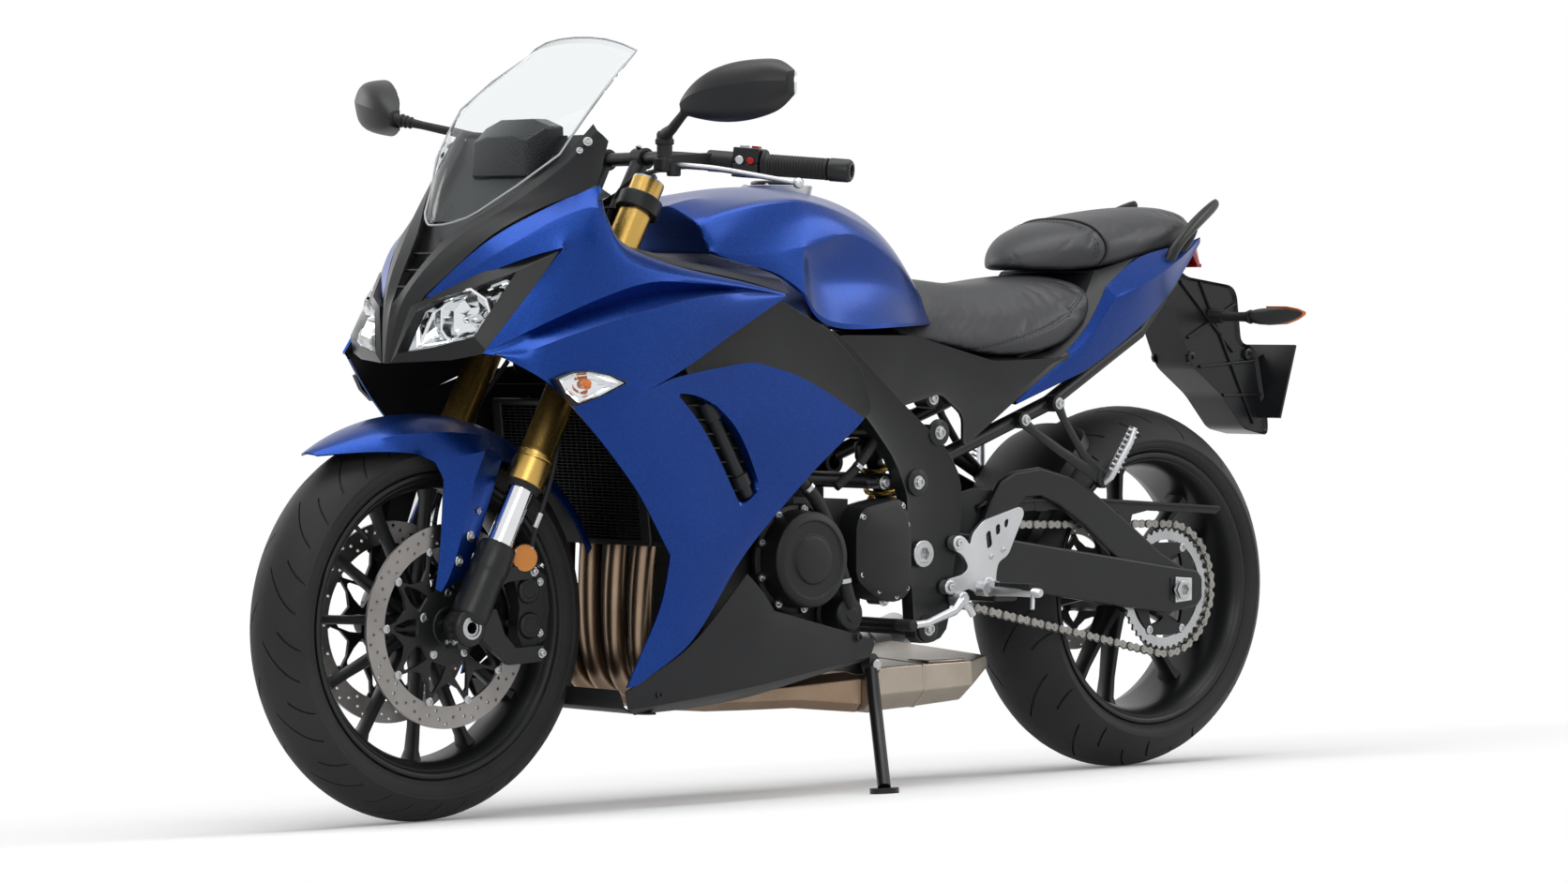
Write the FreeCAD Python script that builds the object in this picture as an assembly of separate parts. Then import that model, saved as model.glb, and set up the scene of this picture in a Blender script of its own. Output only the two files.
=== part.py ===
"""A faired sport motorcycle with two wheels, built upright and then leaned onto its side stand.

Millimetres. While it is built, x runs forward from the rear axle, y to the left and z up from the floor.
place() leans every solid to the left about the line between the two tyres and moves the origin under the
middle of the leaned machine, on the floor. Every piece is one solid, and like pieces share a node.
"""
import FreeCAD
import Part
import math
import os
from FreeCAD import Vector as V

# ---- wheels and tyres
swingarm_reach = 640.0        # swingarm pivot to rear axle, along x
pivot_x = 640.0
pivot_z = 390.0
front_axle_x = 1530.0
front_tyre_r = 300.0
front_tyre_half = 60.0
front_crown_drop = 38.0       # how far the tread's edge lies below its middle
rear_tyre_r = 311.0
rear_tyre_half = 95.0
rear_crown_drop = 56.0
rim_seat_r = 220.0
rim_flange_r = 232.0
front_rim_half = 53.0
rear_rim_half = 84.0
fit = 0.3                     # gap between pieces of one body that seat on each other
running = 0.06                # radial clearance of a pin or shaft that turns in a bore

# ---- steering
rake = math.radians(28.0)
fork_offset = 38.0            # steering axis behind the fork tubes
fork_y = 112.0
fork_tube_r = 26.0
stanchion_r = 20.5
stem_r = 15.0
front_axle_r = 13.0
bar_r = 11.0
bar_bend = 30.0
bar_half_width = 391.0

# ---- brakes and drive
disc_r = 155.0
disc_y = 70.0
disc_thickness = 5.0
rear_disc_r = 115.0
chain_y = 110.0
chain_half_width = 10.0
chain_half_height = 7.5
arm_in = chain_y + 16.0       # inner face of the swingarm's arms
sprocket_pitch_r = 111.0
drive_sprocket_pitch_r = 43.0
drive_x = 715.0
drive_z = 392.0
rear_axle_r = 14.0

# ---- body
panel = 4.0                   # thickness of every plastic panel
spar_in = 150.0
spar_out = 178.0
arm_x = 1050.0                # where the spars bend in
engine_half = 140.0
lean = math.radians(4.5)      # how far the machine leans on its stand

rear_axle_x = pivot_x - swingarm_reach
wheelbase = front_axle_x - rear_axle_x
parts = {}


# ---------------------------------------------------------------- helpers
def prism(outline, y0, y1):
    """Side-view outline [(x, z), ...] from y0 to y1."""
    wire = Part.makePolygon([V(x, y0, z) for x, z in outline + outline[:1]])
    return Part.Face(wire).extrude(V(0, y1 - y0, 0))


def rod(a, b, r):
    a, b = V(*a), V(*b)
    return Part.makeCylinder(r, (b - a).Length, a, b - a)


def block(x0, x1, y0, y1, z0, z1):
    return Part.makeBox(x1 - x0, y1 - y0, z1 - z0, V(x0, y0, z0))


def cross_rod(x, z, y0, y1, r):
    return Part.makeCylinder(r, y1 - y0, V(x, y0, z), V(0, 1, 0))


def tube(points, r, bend=0):
    """A rod along straight runs that round bends join, of radius bend or two and a half times its own."""
    bend = bend or 2.5 * r
    corners = [V(*p) for p in points]
    path = []
    start = corners[0]
    for before, here, after in zip(corners, corners[1:], corners[2:]):
        a = (before - here).normalize()
        b = (after - here).normalize()
        half = a.getAngle(b) / 2
        reach = min(bend / math.tan(half), 0.45 * (before - here).Length, 0.45 * (after - here).Length)
        inward = (a + b).normalize()
        middle = here + inward * (reach / math.cos(half) - reach * math.tan(half))
        path.append(Part.makeLine(start, here + a * reach))
        path.append(Part.Arc(here + a * reach, middle, here + b * reach).toShape())
        start = here + b * reach
    path.append(Part.makeLine(start, corners[-1]))
    ring = Part.Wire([Part.makeCircle(r, corners[0], corners[1] - corners[0])])
    return Part.Wire(path).makePipeShell([ring], True, False)


def mirrored(shape):
    return shape.mirror(V(0, 0, 0), V(0, 1, 0))


def pair(shape):
    """The left piece and its mirror image, as two solids."""
    return [shape, mirrored(shape)]


def facets(quads):
    """Closed shell from corner lists, each split into triangles along its shorter diagonal.

    Both walls of a thin panel are split alike, so they never cross.
    """
    faces = []
    for corners in quads:
        if len(corners) == 4:
            one_way = corners[0].distanceToPoint(corners[2])
            other_way = corners[1].distanceToPoint(corners[3])
            if one_way > other_way + 1e-6:
                corners = corners[1:] + corners[:1]
        for b, c in zip(corners[1:], corners[2:]):
            a = corners[0]
            if (b - a).cross(c - a).Length > 1e-6:
                faces.append(Part.Face(Part.makePolygon([a, b, c, a])))
    solid = Part.Solid(Part.makeShell(faces))
    if solid.Volume < 0:
        solid.reverse()
    return solid


def cap(ring):
    """End face of a loft, as a strip that runs between the ring's two halves."""
    strip = []
    a, b = 0, len(ring) - 1
    while b - a > 2:
        strip.append([ring[a], ring[a + 1], ring[b - 1], ring[b]])
        a, b = a + 1, b - 1
    if b - a == 2:
        strip.append([ring[a], ring[a + 1], ring[b]])
    return strip


def loft(rings):
    """Closed rings of as many points each, joined by flat facets and closed at both ends."""
    rings = [[V(*p) for p in ring] for ring in rings]
    quads = []
    for near, far in zip(rings, rings[1:]):
        count = len(near)
        for i in range(count):
            j = (i + 1) % count
            quads.append([near[i], near[j], far[j], far[i]])
    quads += cap(list(reversed(rings[0]))) + cap(rings[-1])
    return facets(quads)


def skin(ribs, inward, thickness=panel):
    """A panel of even thickness behind its ribs, each a row of points down the outer face."""
    rings = []
    for rib in ribs:
        inner = [tuple(p[i] + inward[i] * thickness for i in range(3)) for p in reversed(rib)]
        rings.append(list(rib) + inner)
    return loft(rings)


def symmetric(sections):
    """Rings from (x, [(y, z), ...]) half sections that run from the top middle to the bottom middle."""
    rings = []
    for x, half in sections:
        left = [(x, y, z) for y, z in half]
        right = [(x, -y, z) for y, z in reversed(half) if y > 0]
        rings.append(left + right)
    return loft(rings)


def turned(profile, x, z):
    """Solid of revolution about the axle line at x, z from (y, radius) points."""
    points = [V(x, y, z + r) for y, r in profile]
    face = Part.Face(Part.makePolygon(points + points[:1]))
    return face.revolve(V(x, 0, z), V(0, 1, 0), 360)


def fork(s, n, y):
    """A point s up the fork from the axle, n ahead of it and y to the left."""
    return (front_axle_x - math.sin(rake) * s + math.cos(rake) * n, y,
            front_tyre_r + math.cos(rake) * s + math.sin(rake) * n)


def fork_block(s0, s1, n0, n1, y0, y1):
    corners = [(s0, n0), (s1, n0), (s1, n1), (s0, n1)]
    return prism([(fork(s, n, 0)[0], fork(s, n, 0)[2]) for s, n in corners], y0, y1)


def biggest(shape):
    return max(shape.Solids, key=lambda solid: solid.Volume)


def one(shape):
    """The single solid of a fused shape, without its inner seams."""
    return biggest(shape.removeSplitter())


# ---------------------------------------------------------------- wheels
def tyre(x, radius, half, rim_half, drop):
    """Round crown, upright sidewalls and a foot between the rim's flanges."""
    foot = rim_half - 6.0 - fit
    edge = radius - drop
    top = Part.Arc(V(x, -half, edge), V(x, 0, radius), V(x, half, edge)).toShape()
    left = Part.makePolygon([V(x, -half, edge), V(x, -half + 2, edge - 10), V(x, -foot, rim_flange_r + 3),
                             V(x, -foot, rim_seat_r + fit), V(x, foot, rim_seat_r + fit),
                             V(x, foot, rim_flange_r + 3), V(x, half - 2, edge - 10), V(x, half, edge)])
    face = Part.Face(Part.Wire([top] + left.Edges))
    face.translate(V(0, 0, radius))
    return face.revolve(V(x, 0, radius), V(0, 1, 0), 360)


def spoke(x, z, angle, split, width, half, hub_r):
    """One arm that leaves the hub and meets the rim split degrees further round."""
    a, b = math.radians(angle), math.radians(angle + split)
    inner = (hub_r * math.cos(a), hub_r * math.sin(a))
    outer_r = rim_seat_r - 12.0
    outer = (outer_r * math.cos(b), outer_r * math.sin(b))
    along = (outer[0] - inner[0], outer[1] - inner[1])
    length = math.hypot(*along)
    side = (-along[1] / length, along[0] / length)
    outline = [(x + p[0] + s * side[0] * w / 2, z + p[1] + s * side[1] * w / 2)
               for p, w, s in ((inner, width, 1), (outer, width * 0.8, 1),
                               (outer, width * 0.8, -1), (inner, width, -1))]
    return prism(outline, -half, half)


def wheel(x, z, rim_half, arms, first, split, hub_half, hub_r, bore_r):
    """Cast rim with split arms on a bored hub."""
    lip = rim_half - 6.0
    rim = turned([(-rim_half, rim_flange_r), (-lip, rim_flange_r), (-lip, rim_seat_r), (lip, rim_seat_r),
                  (lip, rim_flange_r), (rim_half, rim_flange_r), (rim_half, 224), (rim_half * 0.45, 204),
                  (-rim_half * 0.45, 204), (-rim_half, 224)], x, z)
    rim = rim.fuse(cross_rod(x, z, -hub_half, hub_half, hub_r))
    for i in range(arms):
        centre = first + i * 360.0 / arms
        for way in (-1, 1):
            rim = rim.fuse(spoke(x, z, centre + way * 7, way * split, 17.0, 15.0, hub_r - 8))
    return one(rim.cut(cross_rod(x, z, -hub_half - 1, hub_half + 1, bore_r)))


def brake_disc(x, z, radius, y, hub_r, bore_r):
    """Floating disc: a drilled-style ring on a carrier with arms."""
    t = disc_thickness / 2
    ring = cross_rod(x, z, y - t, y + t, radius).cut(cross_rod(x, z, y - t - 1, y + t + 1, radius - 34))
    carrier = cross_rod(x, z, y - t, y + t, hub_r)
    for i in range(10):
        a = math.radians(i * 36)
        arm = prism([(x + math.cos(a + s) * r, z + math.sin(a + s) * r)
                     for s, r in ((-0.12, hub_r - 6), (-0.06, radius - 30), (0.06, radius - 30),
                                  (0.12, hub_r - 6))],
                    y - t, y + t)
        carrier = carrier.fuse(arm)
    disc = ring.fuse(carrier).cut(cross_rod(x, z, y - t - 1, y + t + 1, bore_r))
    return one(disc)


def build_wheels():
    front_hub_half = disc_y - disc_thickness / 2
    parts["front_tyre"] = [tyre(front_axle_x, front_tyre_r, front_tyre_half, front_rim_half,
                                front_crown_drop)]
    parts["front_rim"] = [wheel(front_axle_x, front_tyre_r, front_rim_half, 6, 19, 8, front_hub_half, 42,
                                front_axle_r + running)]
    parts["front_discs"] = pair(brake_disc(front_axle_x, front_tyre_r, disc_r, disc_y, 60, 26))
    parts["rear_tyre"] = [tyre(rear_axle_x, rear_tyre_r, rear_tyre_half, rear_rim_half, rear_crown_drop)]
    rear_hub_half = chain_y - 6
    parts["rear_rim"] = [wheel(rear_axle_x, rear_tyre_r, rear_rim_half, 5, 3, 5, rear_hub_half, 52,
                               rear_axle_r + running)]
    tooth_r = sprocket_pitch_r - chain_half_height - 5.0
    sprocket = cross_rod(rear_axle_x, rear_tyre_r, chain_y - 6, chain_y + 1, tooth_r)
    for i in range(5):
        a = math.radians(18 + i * 72)
        hole_x, hole_z = rear_axle_x + 68 * math.cos(a), rear_tyre_r + 68 * math.sin(a)
        sprocket = sprocket.cut(cross_rod(hole_x, hole_z, chain_y - 7, chain_y + 2, 18))
    parts["rear_sprocket"] = [one(sprocket.cut(cross_rod(rear_axle_x, rear_tyre_r, 0, chain_y + 2,
                                                         rear_axle_r + running)))]
    parts["rear_disc"] = [brake_disc(rear_axle_x, rear_tyre_r, rear_disc_r,
                                     -(rear_hub_half + disc_thickness / 2), 62, 30)]


# ---------------------------------------------------------------- front end
leg_top = 135.0               # places up the fork from the axle
slider_top = 240.0
fork_top = 766.0
lower_yoke = (515.0, 551.0)
upper_yoke = (712.0, 740.0)
bar_s, bar_n = 822.0, -20.0   # handlebar clamp, up the fork and ahead of it


def build_fork():
    legs, sliders, tubes = [], [], []
    leg = rod(fork(20, 0, fork_y), fork(leg_top, 0, fork_y), 31)
    leg = leg.fuse(cross_rod(front_axle_x, front_tyre_r, fork_y - 19, fork_y + 18, 30))
    caliper_lug = prism([(fork(a, b, 0)[0], fork(a, b, 0)[2])
                         for a, b in ((40, -20), (78, -20), (30, -128), (0, -128), (0, -100))],
                        fork_y - 8, fork_y + 6)
    leg = leg.fuse(caliper_lug)
    leg = leg.cut(cross_rod(front_axle_x, front_tyre_r, 0, fork_y + 60, front_axle_r))
    parts["fork_legs"] = pair(one(leg))
    parts["fork_sliders"] = pair(rod(fork(leg_top, 0, fork_y), fork(slider_top, 0, fork_y), stanchion_r))
    outer = rod(fork(slider_top, 0, fork_y), fork(fork_top, 0, fork_y), fork_tube_r)
    collar = rod(fork(slider_top, 0, fork_y), fork(slider_top + 46, 0, fork_y), fork_tube_r + 4)
    parts["fork_tubes"] = pair(one(outer.fuse(collar)))
    tunnel = rod((front_axle_x, -fork_y - 18, front_tyre_r), (front_axle_x, fork_y + 18, front_tyre_r),
                 front_axle_r)
    bore = cross_rod(front_axle_x, front_tyre_r, -300, 300, 9.0)
    parts["front_axle"] = [tunnel.cut(bore)]


def yoke(levels, name, reach):
    """Clamp plate round both fork tubes and the stem."""
    s0, s1 = levels
    outline = [(14, fork_y), (-20, fork_y), (-fork_offset - 30, 36), (-fork_offset - 30, -36),
               (-20, -fork_y),
               (14, -fork_y)]
    plate = loft([[fork(s, n, y) for n, y in outline] for s in levels])
    for y in (-fork_y, fork_y):
        plate = plate.fuse(rod(fork(s0, 0, y), fork(s1, 0, y), fork_tube_r + reach))
    for y in (-fork_y, fork_y):
        plate = plate.cut(rod(fork(s0 - 5, 0, y), fork(s1 + 5, 0, y), fork_tube_r + fit))
    parts[name] = [one(plate)]


def bar_path(side):
    x, _, z = fork(bar_s, bar_n, 0)
    return [(x, side * 62, z), (x + 8, side * 120, z), (x - 8, side * 170, z - 4),
            (x - 30, side * 215, z - 8), (x - 122, side * (bar_half_width - 14), z - 22)]


def build_steering():
    yoke(lower_yoke, "lower_yoke", 10)
    yoke(upper_yoke, "upper_yoke", 9)
    stem = rod(fork(lower_yoke[1] - 5, -fork_offset, 0), fork(upper_yoke[0] - fit, -fork_offset, 0),
               stem_r)
    parts["lower_yoke"] = [one(parts["lower_yoke"][0].fuse(stem))]
    bar = tube([bar_path(-1)[i] for i in range(4, -1, -1)] + bar_path(1), bar_r, bar_bend)
    bar_node = one(bar)
    crown = parts["upper_yoke"][0]
    for y in (-45, 45):
        post = rod(fork(upper_yoke[1] - 5, bar_n, y), fork(bar_s, bar_n, y), 15)
        crown = crown.fuse(post).fuse(fork_block(bar_s - 17, bar_s + 17, bar_n - 19, bar_n + 19, y - 14,
                                                 y + 14))
    parts["upper_yoke"] = [one(crown.cut(tube(bar_path(-1)[1::-1] + bar_path(1)[:2], bar_r + fit,
                                              bar_bend)))]
    a, b = V(*bar_path(1)[3]), V(*bar_path(1)[4])
    along = (b - a).normalize()

    def at(t):
        p = a + along * t
        return (p.x, p.y, p.z)

    length = (b - a).Length
    core = rod(at(-1), at(length + 1), bar_r + fit)
    parts["grips"] = pair(rod(at(58), at(length - 22), 17).cut(core))
    weight = rod(at(length - 22), at(length + 14), 18)
    parts["handlebar"] = [one(bar_node.fuse(weight).fuse(mirrored(weight)))]
    housing = rod(at(14), at(57), 25)
    perch_a, perch_b = V(*bar_path(1)[2]), V(*bar_path(1)[3])
    perch = tube([perch_a + (perch_b - perch_a) * 0.35, perch_b, at(20)], 18, bar_bend)
    mount = mirror_foot()
    arm = prism([(mount[0] + 14, mount[2] - 24), (mount[0] + 14, mount[2] - 4),
                 (perch_a.x - 30, perch_a.z + 10), (perch_a.x - 30, perch_a.z - 12)], 178, 202)
    whole_bar = tube(bar_path(1), bar_r + fit, bar_bend)
    perch = perch.fuse(arm).fuse(housing).cut(whole_bar)
    parts["bar_controls"] = pair(one(perch))
    pivot = (mount[0] - 10, 200, mount[2] - 15)
    knee = (mount[0] - 40, 262, mount[2] - 20)
    tip = (at(length - 20)[0] + 62, at(length - 20)[1] - 6, at(length - 20)[2] - 22)
    reach = (V(*tip) - V(*knee)).normalize()
    blade = tube([pivot, knee, tip], 6).fuse(rod(V(*tip) - reach * 9, V(*tip) + reach * 9, 9))
    parts["hand_levers"] = pair(one(blade.cut(perch)))


def mirror_foot():
    x, _, z = fork(bar_s, bar_n, 0)
    return (x + 78, 190.0, z)


def build_mirrors():
    x, y, z = mirror_foot()
    stalk = rod((x, y, z - 8), (x, y, z + 26), 11)
    neck = (x + 96, 358, z + 68)
    stalk = stalk.fuse(tube([(x, y, z + 26), neck], 7)).fuse(rod((x, y, z + 17), (x, y, z + 37), 12))
    # rows of the shell from its inner to its outer end: x, y, z of the middle, half height and depth
    table = [(x + 100, 352, z + 68, 15, 22), (x + 92, 384, z + 80, 36, 50), (x + 74, 436, z + 90, 46, 60),
             (x + 50, 492, z + 98, 38, 46), (x + 38, 519, z + 100, 18, 18)]
    rings = []
    for mx, my, mz, half, depth in table:
        back = mx - depth * 0.4
        rings.append([(back, my, mz + half), (mx + depth * 0.25, my, mz + half * 0.92),
                      (mx + depth * 0.6, my, mz + half * 0.1), (mx + depth * 0.35, my, mz - half * 0.9),
                      (back, my, mz - half)])
    shell = loft(rings)
    parts["mirrors"] = pair(one(stalk.fuse(shell).cut(parts["bar_controls"][0])))


def build_front_fender():
    """Mudguard that follows the tyre, with a blade down each fork leg."""
    inner_r, outer_r = front_tyre_r + 12, front_tyre_r + 16
    rows = []
    for degrees in range(50, 159, 12):
        a = math.radians(degrees)
        ring = []
        for y, drop in ((-80, 26), (-66, 8), (-32, 0), (0, -3), (32, 0), (66, 8), (80, 26)):
            ring.append((y, outer_r - drop))
        row_out = [(front_axle_x + math.cos(a) * r, y, front_tyre_r + math.sin(a) * r) for y, r in ring]
        row_in = [(front_axle_x + math.cos(a) * (r - panel), y * 0.95,
                   front_tyre_r + math.sin(a) * (r - panel))
                  for y, r in reversed(ring)]
        rows.append(row_out + row_in)
    guard = loft(rows)
    blade = prism([(1556, 596), (1470, 590), (1440, 556), (1448, 520), (1524, 374), (1572, 356)], 78, 82)
    pad = fork_block(58, 104, -14, 30, 81, 88).cut(parts["fork_legs"][0])
    guard = guard.fuse(blade).fuse(mirrored(blade)).fuse(pad).fuse(mirrored(pad))
    parts["front_fender"] = [one(guard)]


def build_calipers():
    """Radial calipers that straddle the discs behind the fork legs."""
    body = prism([(fork(a, b, 0)[0], fork(a, b, 0)[2])
                  for a, b in ((-20, -104), (86, -62), (100, -92), (84, -128), (0, -146))],
                 disc_y - 22, fork_y - 8)
    slot = cross_rod(front_axle_x, front_tyre_r, disc_y - 8, disc_y + 8, disc_r + 6)
    parts["front_calipers"] = pair(one(body.cut(slot)))


# ---------------------------------------------------------------- frame and engine
def build_frame():
    spar = [(arm_x, 826), (908, 775), (817, 740), (683, 632), (588, 562), (552, 512), (552, 436),
            (568, 372),
            (584, 252), (655, 240), (664, 345), (690, 420), (668, 470), (700, 540), (755, 600),
            (848, 690),
            (944, 730), (arm_x, 757)]
    # the spars bend in to the head tube behind the fork's sweep
    arm = loft([[(arm_x, spar_in, 757), (arm_x, spar_out, 757), (arm_x, spar_out, 826),
                 (arm_x, spar_in, 826)],
                [(1206, 4, 800), (1206, 36, 800), (1172, 36, 872), (1172, 4, 872)]])
    left = prism(spar, spar_in, spar_out).fuse(arm)
    head = rod(fork(lower_yoke[1] + 6, -fork_offset, 0), fork(upper_yoke[0] - 6, -fork_offset, 0), 32)
    frame = left.fuse(mirrored(left)).fuse(head)
    frame = frame.fuse(cross_rod(650, 505, -spar_out, spar_out, 14))
    frame = frame.fuse(cross_rod(625, 268, -spar_out, spar_out, 12))
    frame = frame.fuse(cross_rod(603, 585, -spar_out, spar_out, 14))
    frame = frame.cut(rod(fork(0, -fork_offset, 0), fork(fork_top, -fork_offset, 0), stem_r + running))
    frame = frame.cut(cross_rod(pivot_x, pivot_z, -spar_out - 1, spar_out + 1, 12))
    parts["frame"] = [one(frame)]


def build_engine():
    case = prism([(700, 250), (760, 215), (1010, 205), (1075, 260), (1085, 400), (1000, 470), (770, 480),
                  (700, 460)], -engine_half, engine_half)
    notch = block(600, 770, 95, engine_half + 1, 150, 600)
    barrels = prism([(880, 440), (1085, 380), (1145, 540), (1115, 640), (965, 662), (900, 540)],
                    -engine_half, engine_half)
    engine = case.fuse(barrels).cut(notch)
    engine = engine.fuse(cross_rod(drive_x, drive_z, 80, chain_y + 8,
                                   drive_sprocket_pitch_r - chain_half_height - fit))
    parts["engine"] = [one(engine)]
    drum = cross_rod(899, 388, engine_half, 205, 78)
    drum = drum.cut(cross_rod(899, 388, 203, 210, 50))
    clutch = cross_rod(850, 360, -205, -engine_half, 88)
    sprocket = prism([(790, 440), (776, 466), (690, 482), (668, 440), (668, 330), (700, 312), (745, 322),
                      (790, 352)], chain_y + 12, 188)
    sprocket = sprocket.cut(block(600, 676, 140, 190, 200, 600)).cut(parts["frame"][0])
    pump = cross_rod(806, 298, engine_half, 192, 29)
    parts["engine_covers"] = [drum, clutch, biggest(sprocket.cut(drum).cut(engine)), pump]
    core = loft([[(1188, y, 420) for y in (-180, 180)] + [(1220, y, 414) for y in (180, -180)],
                 [(1214, y, 640) for y in (-180, 180)] + [(1246, y, 634) for y in (180, -180)]])
    for y in (-70, 70):
        core = core.fuse(block(1115, 1222, y - 6, y + 6, 585, 597))
    parts["radiator"] = [one(core.cut(engine))]


def build_exhaust():
    pipes = None
    for y in (-105, -35, 35, 105):
        run = tube([(1128, y, 540), (1150, y * 0.97, 470), (1162, y * 0.92, 400), (1166, y * 0.88, 300),
                    (1140, y * 0.75, 190), (1060, y * 0.6, 168)], 19)
        pipes = run if pipes is None else pipes.fuse(run)
    pipes = pipes.cut(parts["engine"][0])
    collector = loft([[(1075, -88, 150), (1075, 88, 150), (1075, 88, 196), (1075, -88, 196)],
                      [(800, -60, 140), (800, 60, 140), (800, 60, 190), (800, -60, 190)],
                      [(690, -110, 128), (690, 90, 128), (690, 90, 200), (690, -110, 200)]])
    headers = one(pipes.fuse(collector))
    parts["exhaust_headers"] = [headers]
    box = loft([[(690, y, z) for y, z in ((-150, 160), (-120, 130), (95, 130), (122, 160), (118, 204),
                                          (-140, 214))],
                [(470, y, z) for y, z in ((-160, 165), (-125, 138), (90, 140), (122, 166), (118, 207),
                                          (-150, 222))],
                [(402, y, z) for y, z in ((-150, 190), (-120, 165), (70, 178), (90, 195), (85, 212),
                                          (-140, 226))]])
    tip = rod((470, -178, 205), (330, -205, 235), 34).cut(rod((420, -188, 215), (300, -211, 241), 27))
    can = rod((560, -150, 190), (400, -190, 218), 42)
    parts["silencer"] = [one(box.fuse(can).fuse(tip).cut(rod((380, -195, 222), (250, -221, 252), 27)))]


# ---------------------------------------------------------------- rear end
def build_swingarm():
    z0 = rear_tyre_r
    x0 = rear_axle_x
    # the chain's runs pass inside the left arm
    arm = [(pivot_x + 6, 372), (pivot_x - 20, 428), (463, 414), (225 + x0, 380), (30 + x0, 352),
           (x0 - 52, 338),
           (x0 - 52, 286), (x0 + 20, 272), (162 + x0, 294), (392, 342)]
    brace = [(470, 412), (420, 505), (330, 522), (225 + x0, 496), (112 + x0, 424), (x0 + 37, 372),
             (x0 - 30, 340),
             (x0 - 30, 322), (x0 + 140, 360), (225 + x0, 425), (330, 480), (380, 470), (430, 400)]
    left = prism(arm, arm_in, spar_in - 6).fuse(prism(brace, arm_in, spar_in - 10))
    right = prism(arm, -spar_in + 6, -arm_in)
    barrel = cross_rod(pivot_x, pivot_z, -spar_in + 1, spar_in - 1, 24)
    bridge = block(372, 428, -arm_in - 4, arm_in + 4, 300, 374)
    bridge = bridge.cut(block(360, 440, chain_y - 16, chain_y + 15, 290, 400))
    rocker = prism([(380, 310), (640, 372), (640, 400), (380, 372)], -30, 30)
    swing = left.fuse(right).fuse(barrel).fuse(bridge).fuse(rocker)
    swing = swing.cut(cross_rod(x0, z0, -200, 200, rear_axle_r))
    bolt = cross_rod(pivot_x, pivot_z, -spar_out - 3, spar_out + 3, 12 - running)
    parts["swingarm"] = [one(swing.fuse(bolt))]
    axle = cross_rod(x0, z0, -spar_in - 4, spar_in + 4, rear_axle_r).cut(cross_rod(x0, z0, -300, 300, 9))
    parts["rear_axle"] = [axle]


def chain_loop(grow):
    """Side view of the chain's loop, grown by so much, as a solid plate."""
    big, small = sprocket_pitch_r + grow, drive_sprocket_pitch_r + grow
    x0, z0 = rear_axle_x, rear_tyre_r
    along = math.atan2(drive_z - z0, drive_x - x0)
    gap = math.hypot(drive_x - x0, drive_z - z0)
    swing = math.acos((big - small) / gap)
    y0, y1 = chain_y - chain_half_width, chain_y + chain_half_width

    def on(cx, cz, r, a):
        return V(cx + r * math.cos(a), y0, cz + r * math.sin(a))

    top, low = along + swing, along - swing
    edges = [Part.Arc(on(x0, z0, big, top), on(x0, z0, big, along + math.pi),
                      on(x0, z0, big, low)).toShape(),
             Part.makeLine(on(x0, z0, big, low), on(drive_x, drive_z, small, low)),
             Part.Arc(on(drive_x, drive_z, small, low), on(drive_x, drive_z, small, along),
                      on(drive_x, drive_z, small, top)).toShape(),
             Part.makeLine(on(drive_x, drive_z, small, top), on(x0, z0, big, top))]
    return Part.Face(Part.Wire(edges)).extrude(V(0, y1 - y0, 0))


def build_drive():
    parts["chain"] = [chain_loop(chain_half_height).cut(chain_loop(-chain_half_height))]
    x0 = rear_axle_x
    guard = prism([(470, 452), (470, 462), (250 + x0, 470), (x0 - 118, 448), (x0 - 118, 436),
                   (250 + x0, 452)],
                  chain_y - 10, chain_y + 22)
    stay = block(300, 330, chain_y + 16, chain_y + 22, 440, 500)
    guard = guard.fuse(stay)
    inner_r, outer_r = rear_tyre_r + 10, rear_tyre_r + 14
    rows = []
    for degrees in range(14, 59, 11):
        a = math.radians(degrees)
        ring = [(-98, outer_r - 26), (-92, outer_r - 4), (-50, outer_r), (50, outer_r), (92, outer_r - 4),
                (98, outer_r - 26)]
        out = [(x0 + math.cos(a) * r, y, rear_tyre_r + math.sin(a) * r) for y, r in ring]
        back = [(x0 + math.cos(a) * (r - panel), y * 0.96, rear_tyre_r + math.sin(a) * (r - panel))
                for y, r in reversed(ring)]
        rows.append(out + back)
    hugger = loft(rows)
    for y0, y1 in ((90, arm_in + 0.5), (-arm_in - 0.5, -90)):
        hugger = hugger.fuse(block(258, 322, y0, y1, 486, 494))
    hugger = one(hugger.cut(parts["swingarm"][0]))
    guard = biggest(guard.cut(parts["swingarm"][0]).cut(hugger))
    parts["rear_hugger"] = [hugger, guard]


def build_subframe():
    upper = tube([(560, 128, 634), (283, 118, 694), (150, 108, 762), (-40, 84, 858)], 12)
    lower = tube([(560, 128, 540), (299, 122, 630), (60, 100, 750), (-40, 84, 838)], 12)
    rail = upper.fuse(lower)
    hub = cross_rod(560, 530, 118, spar_in, 20)
    top_hub = cross_rod(590, 640, 118, spar_in, 16)
    rail = rail.fuse(hub).fuse(tube([(590, 128, 640), (560, 128, 634)], 12)).fuse(top_hub)
    rails = rail.fuse(mirrored(rail))
    for x, z, half in ((500, 647, 124), (283, 694, 116), (40, 818, 94)):
        rails = rails.fuse(cross_rod(x, z, -half, half, 10))
    # pegs that carry the side covers and the tail
    for x, z, y0, y1 in ((283, 694, 110, 147.7), (500, 647, 118, 151.7)):
        peg = cross_rod(x, z, y0, y1, 8)
        rails = rails.fuse(peg).fuse(mirrored(peg))
    parts["subframe"] = [one(rails.cut(parts["frame"][0]))]
    shock = rod((597, 0, 580), (528, 0, 392), 30).cut(cross_rod(603, 585, -40, 40, 14 + fit))
    shock = shock.cut(parts["swingarm"][0])
    parts["rear_shock"] = [biggest(shock)]


# ---------------------------------------------------------------- tank and seats
cap_x, cap_z = 800.0, 971.0   # middle and floor of the fuel cap's recess
cap_r, cap_thick = 46.0, 9.0
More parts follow.
